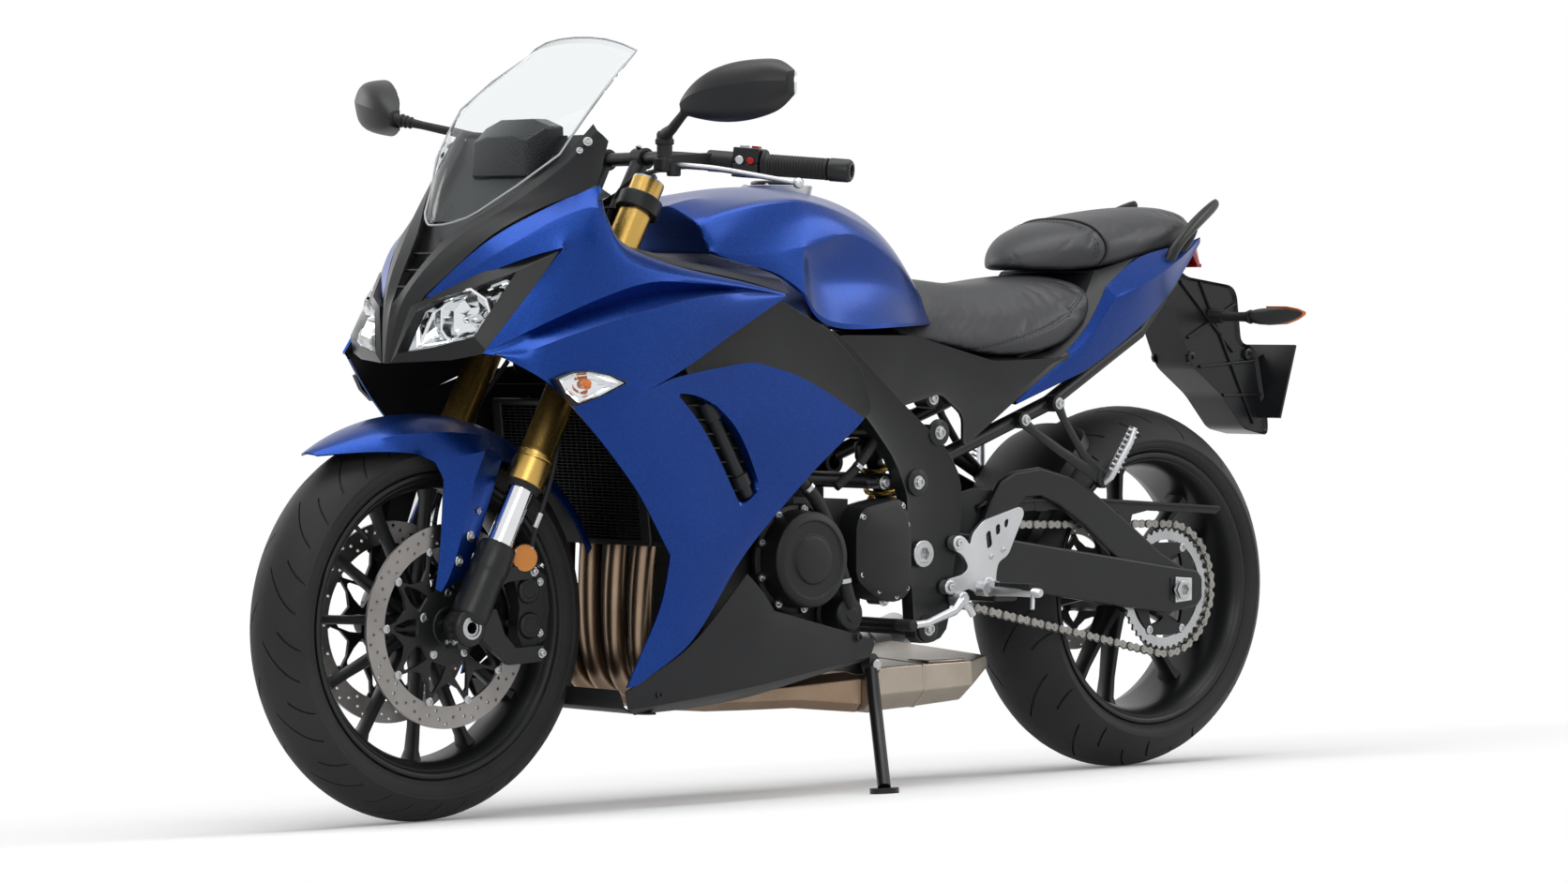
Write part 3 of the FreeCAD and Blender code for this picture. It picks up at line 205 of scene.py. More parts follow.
def boltMesh(bm, point, direction, r=5.0, height=4.0):
    # a flanged socket screw's head
    place = facing(point, direction)
    turnedMesh(bm, [(0, r * 1.5), (1.0, r * 1.5), (1.3, r), (height - 0.6, r), (height, r - 0.6), (height, r * 0.55),
                    (height - 2.0, r * 0.5), (height - 2.0, 0)], place, sides=14)


def newObject(name, data):
    made = bpy.data.objects.new(name, data)
    bpy.context.scene.collection.objects.link(made)
    return made


def addPiece(name, bm, body, look, replaces=(), slot=None, subdivide=0, thick=0.0, bevel=0.0, sharp=32, side=-1.0):
    # leans the mesh, makes it an object on its body and finishes it with modifiers; look is a finish, or two with the
    # second on the inner face of its wall; the slot, the first one's usual slot unless it is given, is worked out but
    # not used
    looks = [look] if isinstance(look, str) else look
    slot = slot or usualSlots[looks[0]]
    bmesh.ops.transform(bm, matrix=standing, verts=bm.verts[:])
    limit = math.radians(sharp)
    for face in bm.faces:
        face.smooth = True
    mesh = bpy.data.meshes.new(name)
    bm.to_mesh(mesh)
    bm.free()
    piece = newObject(name, mesh)
    for finish in looks:
        mesh.materials.append(finishes[finish])
    if subdivide:
        sub = piece.modifiers.new("smooth", "SUBSURF")
        sub.levels = sub.render_levels = subdivide
        sub.boundary_smooth = "PRESERVE_CORNERS"
    if thick:
        wall = piece.modifiers.new("wall", "SOLIDIFY")
        wall.thickness = thick / 1000
        wall.offset = side
        wall.material_offset = min(len(mesh.materials) - 1, 1)
    if bevel:
        edge = piece.modifiers.new("edges", "BEVEL")
        edge.width = bevel / 1000
        edge.segments = 2
        edge.limit_method = "ANGLE"
        edge.angle_limit = limit
        edge.harden_normals = True
    elif not subdivide:
        mesh.set_sharp_from_angle(angle=limit)
    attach(piece, body)
    if replaces:
        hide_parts(*replaces)
    return piece


# ---- finishes
def toLinear(code):
    # an sRGB hex colour as linear values
    values = [int(code[i:i + 2], 16) / 255 for i in (1, 3, 5)]
    return tuple(v / 12.92 if v <= 0.04045 else ((v + 0.055) / 1.055) ** 2.4 for v in values) + (1.0,)


def addNode(tree, kind, inputs=None, **settings):
    # one node with its settings; an input is a plain value or another node's output
    node = tree.nodes.new(kind)
    for key, value in settings.items():
        setattr(node, key, value)
    for key, value in (inputs or {}).items():
        if isinstance(value, bpy.types.NodeSocket):
            tree.links.new(value, node.inputs[key])
        else:
            node.inputs[key].default_value = value
    return node


def emptyTree(owner):
    owner.use_nodes = True
    owner.node_tree.nodes.clear()
    return owner.node_tree


def startMaterial(name, **shader):
    # a new material, its tree and its one shader with plain values set on the shader's own sockets
    material = bpy.data.materials.new(name)
    tree = emptyTree(material)
    surface = addNode(tree, "ShaderNodeBsdfPrincipled")
    for key, value in shader.items():
        surface.inputs[key.replace("_", " ")].default_value = toLinear(value) if isinstance(value, str) else value
    addNode(tree, "ShaderNodeOutputMaterial", {"Surface": surface.outputs["BSDF"]})
    place = addNode(tree, "ShaderNodeTexCoord").outputs["Object"]
    return material, tree, surface, place


def perMetre(millimetres):
    # texture scale that gives features of that size on Object coordinates, which are metres
    return 1000 / millimetres


def noiseNode(tree, place, size, detail=2.0):
    return addNode(tree, "ShaderNodeTexNoise", {"Vector": place, "Scale": perMetre(size), "Detail": detail,
                                                "Roughness": 0.5}).outputs["Fac"]


def rampNode(tree, fac, stops):
    ramp = addNode(tree, "ShaderNodeValToRGB", {"Fac": fac})
    while len(ramp.color_ramp.elements) < len(stops):
        ramp.color_ramp.elements.new(0.5)
    for element, (at, value) in zip(ramp.color_ramp.elements, stops):
        element.position = at
        element.color = toLinear(value) if isinstance(value, str) else (value, value, value, 1.0)
    return ramp.outputs["Color"]


def bumpNode(tree, height, depth, strength=1.0):
    # depth is in millimetres
    return addNode(tree, "ShaderNodeBump", {"Height": height, "Distance": depth / 1000,
                                            "Strength": strength}).outputs["Normal"]


def connect(tree, surface, **links):
    for key, value in links.items():
        tree.links.new(value, surface.inputs[key.replace("_", " ")])


def grainedPlastic(name, colour, worn, roughness, grain, depth, **shader):
    # moulded plastic or rubber: fine even grain pressed by the tool, a little tone variation, shinier where handled
    material, tree, surface, place = startMaterial(name, Base_Color=colour, Roughness=roughness,
                                                   **{"Specular_IOR_Level": 0.3, **shader})
    cloud = noiseNode(tree, place, 160, 3)
    fine = noiseNode(tree, place, grain, 3)
    connect(tree, surface, Base_Color=rampNode(tree, cloud, [(0.3, colour), (0.75, worn)]),
            Roughness=rampNode(tree, cloud, [(0.25, roughness + 0.05), (0.8, roughness - 0.05)]),
            Normal=bumpNode(tree, fine, depth))
    return material


def metalFinish(name, colour, other, roughness, grain, depth, stretch=(1, 1, 1), **shader):
    # bare or plated metal: slight tone clouds, fine tooling or blasting marks, roughness that varies with them
    material, tree, surface, place = startMaterial(name, Base_Color=colour, Metallic=1.0, Roughness=roughness,
                                                   **shader)
    pulled = addNode(tree, "ShaderNodeMapping", {"Vector": place, "Scale": stretch}).outputs["Vector"]
    cloud = noiseNode(tree, place, 90, 3)
    fine = noiseNode(tree, pulled, grain, 4)
    connect(tree, surface, Base_Color=rampNode(tree, cloud, [(0.3, colour), (0.75, other)]),
            Roughness=rampNode(tree, fine, [(0.3, max(roughness - 0.06, 0.02)), (0.7, roughness + 0.06)]),
            Normal=bumpNode(tree, fine, depth))
    return material


def clearPlastic(name, tint, roughness, ior):
    # polished clear moulding with faint flow waves
    material, tree, surface, place = startMaterial(name, Base_Color=tint, Roughness=roughness, IOR=ior,
                                                   Transmission_Weight=1.0)
    connect(tree, surface, Normal=bumpNode(tree, noiseNode(tree, place, 60, 1), 0.05, 0.3))
    return material


def metallicPaint():
    # sprayed basecoat with fine aluminium flake under satin lacquer: broad soft highlights, deep blue in the shade
    material, tree, surface, place = startMaterial(
        "metallicBluePaint", Base_Color="#0A3078", Metallic=0.85, Roughness=0.30, Coat_Weight=0.14,
        Coat_Roughness=0.16)
    # flakes are about 0.05 mm, drawn at 0.9 mm so that they show
    flakes = addNode(tree, "ShaderNodeTexVoronoi", {"Vector": place, "Scale": perMetre(0.9)})
    split = addNode(tree, "ShaderNodeSeparateColor", {"Color": flakes.outputs["Color"]}).outputs["Red"]
    cloud = noiseNode(tree, place, 240, 2)
    base = rampNode(tree, cloud, [(0.3, "#052C72"), (0.75, "#083683")])
    glint = rampNode(tree, split, [(0.0, "#03215C"), (0.55, "#06307A"), (1.0, "#164CA0")])
    mixed = addNode(tree, "ShaderNodeMix", {"Factor": 0.4}, data_type="RGBA")
    tree.links.new(base, mixed.inputs[6])
    tree.links.new(glint, mixed.inputs[7])
    connect(tree, surface, Base_Color=mixed.outputs[2],
            Roughness=rampNode(tree, split, [(0.0, 0.27), (1.0, 0.36)]),
            Normal=bumpNode(tree, split, 0.01, 0.2))
    return material


recipes = {
    # name: (kind, colour, second colour, roughness, grain and its depth in mm, then the stretch or more of the shader)
    # stretched vinyl over foam, embossed with a leather grain about 1.5 mm across
    "seatVinyl": (grainedPlastic, "#1F2023", "#27282B", 0.46, 1.5, 0.22, {"Specular_IOR_Level": 0.5}),
    # injection-moulded ABS with a spark-eroded grain: dark, satin
    "texturedAbs": (grainedPlastic, "#151618", "#1C1D1F", 0.44, 0.9, 0.05),
    # the same plastic from a polished tool: darker and glossier
    "smoothAbs": (grainedPlastic, "#131416", "#191A1C", 0.30, 2.0, 0.02),
    # powder coat over cast aluminium: deep black with faint orange peel
    "powderCoat": (grainedPlastic, "#141516", "#1B1C1D", 0.36, 2.2, 0.06),
    # sand-cast engine case, painted black: rougher pebbled skin
    "castCase": (grainedPlastic, "#101112", "#171819", 0.46, 1.1, 0.18),
    # vulcanised tread rubber: grey-black, matt, with a dusty bloom
    "tyreRubber": (grainedPlastic, "#1E1E1F", "#272728", 0.62, 0.8, 0.05),
    # bonded polyester thread
    "threadPolyester": (grainedPlastic, "#3A3B3E", "#45464A", 0.6, 0.8, 0.1),
    # blank black acrylic plate
    "plateBlank": (grainedPlastic, "#141517", "#1A1B1D", 0.3, 3.0, 0.02),
    # soft moulded rubber of grips and boots
    "gripRubber": (grainedPlastic, "#1A1A1B", "#232324", 0.62, 0.7, 0.06),
    # anodised aluminium, turned: gold dye with fine turning lines
    "goldAnodised": (metalFinish, "#BE9A50", "#CFAB62", 0.30, 0.9, 0.02),
    # hard chrome, ground and polished
    "hardChrome": (metalFinish, "#D9DADC", "#E6E7E8", 0.10, 1.2, 0.004),
    # bead-blasted and clear-anodised aluminium: pale satin
    "satinAlloy": (metalFinish, "#B6B8BA", "#C6C7C9", 0.36, 0.9, 0.03),
    # machined aluminium with visible tool lines
    "machinedAlloy": (metalFinish, "#A2A4A6", "#B6B7B9", 0.26, 0.7, 0.02),
    # stainless steel, ground flat on both faces
    "groundSteel": (metalFinish, "#85827F", "#989592", 0.36, 0.8, 0.02),
    # stainless pipe browned by heat
    "heatedSteel": (metalFinish, "#8A7562", "#A18B76", 0.32, 0.9, 0.006),
    # brushed stainless box of the silencer, lightly yellowed
    "brushedSteel": (metalFinish, "#9A9084", "#AEA497", 0.34, 0.8, 0.03, (0.05, 1, 1)),
    # zinc-plated fasteners
    "zincPlate": (metalFinish, "#A6A8AA", "#BABBBC", 0.28, 1.0, 0.01),
    # silvered bowl behind a lamp's lens
    "silveredBowl": (metalFinish, "#E8E9EA", "#F2F2F2", 0.07, 20.0, 0.01),
    # silvered float glass
    "mirrorGlass": (metalFinish, "#D5D9DB", "#DDE0E2", 0.02, 50.0, 0.0),
    # oiled steel chain
    "oiledSteel": (metalFinish, "#85837E", "#9C9A95", 0.36, 1.0, 0.02),
    # polished acrylic windscreen and lamp lenses
    "clearAcrylic": (clearPlastic, "#F1F5F6", 0.02, 1.10),
    "clearLens": (clearPlastic, "#F6F8F9", 0.02, 1.12),
    # flame-polished edge of the acrylic: its opaque grey is a painted highlight standing in for the glow of light
    # carried along the clear edge
    "rolledEdge": (grainedPlastic, "#A9ADB0", "#B7BBBE", 0.22, 3.0, 0.01),
    # dark glass over the displays
    "displayGlass": (grainedPlastic, "#0C0D0F", "#121316", 0.10, 8.0, 0.01, {"Coat_Weight": 0.5}),
    # dyed lenses
    "amberLens": (grainedPlastic, "#D0641A", "#DE7626", 0.16, 4.0, 0.05, {"Coat_Weight": 0.5}),
    "redLens": (grainedPlastic, "#8E0F12", "#A01517", 0.14, 4.0, 0.05, {"Coat_Weight": 0.5}),
    # red paint-filled switch
    "redSwitch": (grainedPlastic, "#B01A1C", "#B92022", 0.4, 0.9, 0.03),
    # faceted reflector, dyed orange
    "orangeReflex": (grainedPlastic, "#CC7A22", "#DA8C34", 0.2, 2.0, 0.3, {"Coat_Weight": 0.4}),
    # pressed black honeycomb of the radiator
    "radiatorCore": (grainedPlastic, "#0D0E0F", "#131415", 0.5, 3.0, 0.2),
}
finishes = {}
for name, (make, *values) in recipes.items():
    more = values.pop() if isinstance(values[-1], dict) else {}
    finishes[name] = make(name, *values, **more)
finishes["bluePaint"] = metallicPaint()
usualSlots = {finish: slot for slot, names in {
    "seat_cover": "seatVinyl threadPolyester",
    "dark_plastic": "texturedAbs smoothAbs",
    "black_coat": "powderCoat displayGlass radiatorCore",
    "engine_black": "castCase",
    "tyre_rubber": "tyreRubber",
    "plate_blank": "plateBlank",
    "black_rubber": "gripRubber",
    "gold_anodised": "goldAnodised",
    "chrome_tube": "hardChrome zincPlate silveredBowl mirrorGlass",
    "cast_alloy": "satinAlloy machinedAlloy",
    "disc_steel": "groundSteel oiledSteel",
    "exhaust_steel": "heatedSteel brushedSteel",
    "clear_screen": "clearAcrylic rolledEdge",
    "clear_lens": "clearLens",
    "amber_lens": "amberLens orangeReflex",
    "red_lens": "redLens redSwitch",
    "blue_paint": "bluePaint",
}.items() for finish in names.split()}
print("finishes made")


# the CAD nodes that show as they are
for name, finish in {"engine": "castCase", "nose_stay": "powderCoat", "side_stand": "powderCoat",
                     "seat_pan": "texturedAbs"}.items():
    nodes[name].data.materials.clear()
    nodes[name].data.materials.append(finishes[finish])


def pinVerts(bm, verts, amount=1.0):
    # keeps a corner sharp under the smoothing
    layer = bm.verts.layers.float["crease_vert"]
    for v in verts:
        v[layer] = amount


def column(grid, i, first=0, last=None):
    return [row[i] for row in grid[first:last]]


# ---- fuel tank
tank = {
    # x, top, then y and z of the crown, shoulder, flank, wing crease, knee and foot, and the underside
    "stations": [
        (516, 812, (20, 809), (40, 800), (54, 790), (64, 780), (74, 768), (84, 760), 760),
        (560, 874, (36, 868), (60, 840), (74, 826), (82, 814), (94, 788), (110, 759), 759),
        (610, 918, (46, 910), (88, 872), (99, 852), (104, 838), (106, 800), (136, 757), 758),
        (660, 948, (58, 938), (110, 896), (120, 878), (122, 866), (114, 815), (156, 755), 756),
        (720, 968, (70, 957), (128, 918), (140, 901), (142, 890), (122, 826), (170, 752), 752),
        (783, 979, (78, 968), (140, 938), (154, 920), (158, 906), (130, 834), (176, 749), 752),
        (840, 983, (84, 971), (148, 951), (164, 926), (169, 893), (141, 836), (180, 751), 754),
        (882, 983, (86, 971), (150, 957), (168, 924), (175, 884), (156, 838), (184, 768), 774),
        (904, 982, (86, 970), (151, 957), (169, 922), (178, 881), (181, 846), (186, 800), 790),
        (960, 977, (84, 965), (149, 952), (168, 914), (180, 872), (183, 856), (184, 838), 826),
        (1020, 960, (74, 962), (144, 940), (164, 902), (177, 864), (178, 856), (178, 850), 856),
        (1070, 944, (66, 950), (136, 924), (158, 892), (168, 868), (168, 865), (166, 862), 868),
        (1086, 938, (62, 944), (130, 916), (152, 886), (162, 872), (160, 870), (158, 868), 872),
    ],
    "cap": (800.0, 981.0), "capR": 42.6, "bezelR": 58,
}
rings = []
for x, top, *sides, low in tank["stations"]:
    left = [(x, y, z) for y, z in sides]
    rings.append([(x, 0, top)] + left + [(x, 0, low)] + [(x, -y, z) for _, y, z in reversed(left)])
bm, grid = bodyOf(rings)
half = len(tank["stations"][0]) - 2
for side in (lambda i: i, lambda i: len(grid[0]) - i):
    crease(bm, [column(grid, side(2), 3)], 0.45)              # shoulder
    crease(bm, [column(grid, side(4), 2, 9)], 0.85)           # upper edge of the knee recess
    crease(bm, [column(grid, side(4), 8, 13)], 0.7)           # wing
    crease(bm, [[grid[8][side(i)] for i in (4, 5, 6)]], 0.9)  # front edge of the knee recess
    crease(bm, [column(grid, side(6))], 0.9)                  # foot
    crease(bm, [column(grid, side(1), 10)], 0.8)              # recess before the filler
crease(bm, [[*ring, ring[0]] for ring in (grid[0], grid[-1])], 0.8)
addPiece("tankShell", bm, "chassis", "bluePaint", ["fuel_tank"], subdivide=3, bevel=1.4, sharp=13)

bm = bmesh.new()
capX, capZ = tank["cap"]
turnedMesh(bm, [(-14, tank["bezelR"] - 3), (0.8, tank["bezelR"]), (1.8, tank["bezelR"] - 3), (1.8, 45.6), (-1, 44.6),
                (-4, 44.6)], Matrix.Translation((capX, 0, capZ)), sides=64)
for i in range(6):
    turn = math.radians(30 + 60 * i)
    boltMesh(bm, (capX + 52 * math.cos(turn), 52 * math.sin(turn), capZ + 1.2), (0, 0, 1), 2.6, 2.6)
rodMesh(bm, (capX + 46, -9, capZ - 0.7), (capX + 46, 9, capZ - 0.7), 2.2)
addPiece("fillerBezel", bm, "chassis", "satinAlloy")
bm = bmesh.new()
turnedMesh(bm, [(-3, 40), (2.2, 40), (2.2, 30), (-2, 26), (-2, 0)], Matrix.Translation((capX, 0, capZ)), sides=48)
addPiece("fillerNeck", bm, "chassis", "smoothAbs")
bm = bmesh.new()
turnedMesh(bm, [(2.6, 0), (2.6, 41.6), (5, tank["capR"]), (8, tank["capR"] - 1), (9.4, tank["capR"] - 6), (7.6, 34),
                (7.4, 20), (8.4, 17), (8.4, 0)], Matrix.Translation((capX, 0, capZ)), sides=64)
flap = boxMesh(bm, capX - 26, capX + 6, -7, 7, capZ + 8.0, capZ + 11.0)
bmesh.ops.bevel(bm, geom=list({e for v in flap for e in v.link_edges}), offset=1.4, offset_type="OFFSET",
                segments=2, profile=0.5, affect="EDGES", material=-1)
addPiece("fillerCap", bm, "fuel_cap", "smoothAbs", ["fuel_cap"], bevel=0.4)
print("tank built")


# ---- painted side panels
panels = {
    # rows of the upper panel from its top edge down, each from front to rear
    "upper": [
        [(1404, 148, 932), (1361, 160, 953), (1318, 172, 968), (1316, 188, 902), (1285, 208, 866), (1180, 220, 840),
         (1080, 226, 826), (990, 230, 807)],
        [(1408, 172, 916), (1368, 182, 930), (1328, 190, 941), (1318, 202, 892), (1284, 216, 858), (1180, 226, 836),
         (1080, 229, 823), (990, 231, 806)],
        [(1413, 200, 872), (1372, 207, 884), (1334, 213, 886), (1312, 221, 862), (1272, 227, 842), (1180, 230, 830),
         (1080, 231, 820), (990, 231, 805)],
        [(1480, 187, 790), (1428, 213, 812), (1366, 222, 838), (1320, 226, 838), (1266, 229, 833), (1178, 231, 825),
         (1080, 232, 818), (990, 231.5, 804)],
        [(1545, 172, 713), (1482, 209, 748), (1402, 226, 783), (1330, 232, 808), (1258, 232, 826), (1176, 232, 821),
         (1080, 232.5, 816), (990, 231.5, 803.5)],
        [(1543, 174, 712), (1496, 197, 731), (1412, 209, 764), (1324, 214, 789), (1240, 216, 806), (1166, 220, 811),
         (1081, 226, 813), (990, 231.8, 803)],
        [(1538, 180, 711), (1500, 214, 712), (1438, 238, 739), (1341, 252, 766), (1249, 252, 788), (1170, 248, 801),
         (1084, 239, 809), (990, 232, 802.5)],
        [(1533, 184, 710), (1488, 222, 692), (1440, 242, 690), (1345, 257, 700), (1243, 256, 730), (1150, 250, 765),
         (1068, 241, 792), (990, 232, 802)],
        [(1528, 188, 709), (1474, 232, 676), (1438, 243, 641), (1345, 262, 641), (1238, 256, 677), (1117, 247, 742),
         (1048, 240, 774), (990, 232, 801)],
    ],
    # the brow runs on forward from the first points of the upper panel's three top rows
    "brow": [
        [(1444, 132, 911), (1450, 158, 889), (1447, 180, 862)],
        [(1485, 112, 885), (1486, 137, 866), (1480, 156, 848)],
        [(1524, 84, 845), (1523, 104, 832), (1518, 116, 824)],
        [(1559, 52, 797), (1557, 57, 796), (1554, 62, 794)],
    ],
    # rows of the lower panel from its top edge down, each from front to rear; the vent is cut between the third
    # and the fifth column
    "lower": [
        [(1438, 243, 641), (1345, 262, 641), (1243, 255, 675), (1164, 248, 689), (1066, 239, 700), (947, 231, 680),
         (815, 226, 610)],
        [(1410, 246, 612), (1322, 258, 612), (1232, 253, 652), (1192, 250, 652), (1148, 247, 634), (985, 239, 622),
         (842, 229, 590)],
        [(1370, 248, 574), (1280, 256, 568), (1180, 250, 608), (1140, 248, 606), (1104, 245, 604), (985, 241, 576),
         (886, 233, 562)],
        [(1336, 247, 539), (1240, 252, 526), (1136, 247, 546), (1104, 246, 550), (1074, 244, 556), (1000, 242, 536),
         (930, 235, 531)],
        [(1300, 246, 502), (1205, 249, 482), (1090, 240, 478), (1064, 238, 488), (1048, 239, 506), (1006, 237, 508),
         (962, 236, 505)],
        [(1262, 243, 447), (1196, 246, 437), (1130, 244, 428), (1094, 243, 432), (1066, 242, 440), (1048, 240, 446),
         (1030, 238, 450)],
        [(1232, 240, 405), (1195, 242, 400), (1160, 242, 394), (1138, 241, 390), (1118, 240, 388), (1104, 239, 388),
         (1092, 238, 392)],
        [(1233, 232, 362), (1208, 234, 354), (1184, 234, 345), (1166, 233, 338), (1150, 232, 333), (1139, 231, 331),
         (1128, 230, 331)],
        [(1238, 224, 320), (1226, 225, 307), (1212, 225, 296), (1200, 225, 286), (1190, 224, 279), (1181, 223, 273),
         (1171, 222, 266)],
        [(1262, 213, 262), (1252, 214, 255), (1244, 214, 250), (1237, 213, 245), (1231, 213, 241), (1225, 213, 238),
         (1219, 213, 236)],
        [(1287, 203, 203), (1283, 204, 203.5), (1280, 204, 204), (1277, 204, 204.5), (1274, 204, 205),
         (1270, 204, 205.5), (1266, 204, 206)],
    ],
    "wall": 3.5, "lip": 15,
}


def addPair(name, bm, body, look, replaces=(), **settings):
    # the left piece is drawn, and its right-hand twin joins the same mesh
    mirrorMesh(bm)
    return addPiece(name, bm, body, look, replaces, **settings)


bm, grid = sheetOf(panels["upper"])
front = [grid[0][0], grid[1][0], grid[2][0]]
brow = [front]
for points in panels["brow"]:
    front = growRow(bm, front, points)
    brow.append(front)
crease(bm, [grid[1][:3] + [grid[1][3]], [row[1] for row in brow]], 0.9)
crease(bm, [grid[4][:6]], 1.0)
crease(bm, [grid[5][1:7]], 1.0)
crease(bm, [grid[6][1:7]], 1.0)
pinVerts(bm, [grid[0][2], grid[2][0], grid[4][0], grid[0][3], grid[8][2], grid[8][7], grid[0][7], brow[-1][0],
              brow[-1][2]])
side = bm

bm, grid = sheetOf(panels["lower"])
hole = [f for f in bm.faces if all(v in {w for r in range(1, 5) for w in grid[r][2:5]} for v in f.verts)]
vent = [grid[1][2], grid[1][3], grid[1][4], grid[2][4], grid[3][4], grid[4][4], grid[4][3], grid[4][2], grid[3][2],
        grid[2][2]]
bmesh.ops.delete(bm, geom=hole, context="FACES")
bmesh.ops.delete(bm, geom=[v for v in (grid[2][3], grid[3][3]) if v.is_valid], context="VERTS")
inner = growRow(bm, vent, [v.co + Vector((-2 if i > 5 or i < 1 else 3, -panels["lip"], 0)) for i, v in enumerate(vent)],
                closed=True)
crease(bm, [vent + vent[:1]], 1.0)
pinVerts(bm, [vent[i] for i in (0, 2, 5, 7)] + [grid[0][0], grid[0][6], grid[-1][0], grid[-1][6], grid[6][0]])
pinVerts(bm, [grid[0][2], grid[0][4], grid[4][6]], 0.7)
crease(bm, [[grid[4][4], grid[4][5], grid[4][6]], [grid[4][2], grid[4][1]]], 0.6)
joinMesh(side, bm)
bmesh.ops.remove_doubles(side, verts=side.verts, dist=0.1)
bmesh.ops.recalc_face_normals(side, faces=side.faces)
addPair("sidePanels", side, "chassis", ["bluePaint", "texturedAbs"],
        ["upper_fairings", "lower_fairings"], subdivide=3, thick=panels["wall"], bevel=1.0, sharp=15)

# dark ducts behind the vents
bm = bmesh.new()
boxMesh(bm, 1030, 1250, 212, 216, 470, 662)
for z in range(500, 640, 22):
    boxMesh(bm, 1040 + (z - 500) * 0.45, 1120 + (z - 500) * 0.5, 214, 226, z, z + 3)
rodMesh(bm, (1150, 224, 640), (1062, 224, 492), 11)
rodMesh(bm, (1150, 224, 640), (1134, 224, 612), 15)
rodMesh(bm, (1082, 224, 526), (1072, 224, 508), 15)
addPair("ventDucts", bm, "chassis", "texturedAbs", bevel=0.8)

# belly pan: flat-sided dark moulding with a ridge along its upper edge
belly = {
    "rows": [
        [(1284, 197, 196), (1240, 207, 222), (1172, 214, 256), (1118, 222, 312), (1063, 227, 372), (1030, 228, 344),
         (1005, 227, 312), (890, 214, 286), (770, 200, 258)],
        [(1281, 195, 186), (1235, 207, 208), (1172, 214, 238), (1118, 221, 268), (1063, 228, 300), (1030, 229, 296),
         (1003, 228, 286), (890, 214, 268), (765, 199, 248)],
        [(1272, 189, 168), (1230, 200, 172), (1172, 208, 178), (1118, 213, 184), (1062, 215, 190), (1030, 215, 194),
         (1000, 214, 198), (888, 206, 214), (770, 196, 230)],
        [(1250, 178, 158), (1220, 164, 158), (1172, 150, 158), (1118, 150, 160), (1062, 150, 164), (1030, 158, 170),
         (1000, 168, 174), (886, 176, 200), (775, 184, 222)],
    ],
}
bm, grid = sheetOf(belly["rows"])
crease(bm, [grid[2]], 0.85)
crease(bm, [grid[0][3:6] + grid[0][6:], grid[1][4:]], 0.6)
pinVerts(bm, [grid[0][0], grid[0][4], grid[0][-1], grid[-1][0], grid[-1][-1], grid[0][6], grid[2][0]])
mirrorMesh(bm)
cross, rows = sheetOf([[(1284, y, 197), (1272, y, 168), (1250, y, 158), (1206, y, 157)]
                       for y in (-178, -90, 0, 90, 178)])
crease(cross, [[row[1] for row in rows]], 0.9)
joinMesh(bm, cross)
addPiece("bellyPan", bm, "chassis", "texturedAbs", ["belly_pan"], subdivide=2, thick=3.5, bevel=1.0, sharp=15)
bm = bmesh.new()
for point in ((808, 208, 262), (1222, 203, 190)):
    boltMesh(bm, (point[0], point[1] - 2, point[2]), (0.05, 1, 0.05), 6, 5)
addPair("bellyScrews", bm, "chassis", "smoothAbs")

# inner edge strips between the panels and the tank
trim = [
    [(1284, 204, 866), (1230, 211, 853), (1180, 217, 843), (1080, 223, 829), (1030, 227, 818), (980, 229, 806)],
    [(1284, 196, 874), (1230, 203, 862), (1180, 207, 851), (1080, 210, 838), (1030, 208, 830), (968, 206, 818)],
    [(1284, 184, 878), (1230, 186, 868), (1180, 185, 858), (1080, 183, 845), (1030, 184, 838), (960, 185, 829)],
]
bm, grid = sheetOf(trim)
crease(bm, [grid[1]], 0.7)
pinVerts(bm, [grid[0][-1], grid[-1][-1], grid[0][0], grid[-1][0]])
addPair("edgeStrips", bm, "chassis", "texturedAbs", ["inner_trim"], subdivide=2, thick=3, bevel=0.8, sharp=18)
# dark inner walls from the strips down to the frame, and a deck under the tank and the seat
bm, grid = sheetOf([trim[2], [(x, 152, z - 66) for x, y, z in trim[2]]])
addPair("ductWalls", bm, "chassis", "texturedAbs", thick=2)
bm, grid = sheetOf([[(812, 153, 737), (640, 153, 739), (455, 153, 698), (300, 153, 704)],
                    [(812, 110, 742), (640, 110, 742), (500, 110, 712), (300, 110, 706)],
                    [(812, 0, 742), (640, 0, 742), (500, 0, 712), (300, 0, 706)]])
addPair("underDeck", bm, "chassis", "texturedAbs", thick=3, bevel=0.8)
print("panels built")


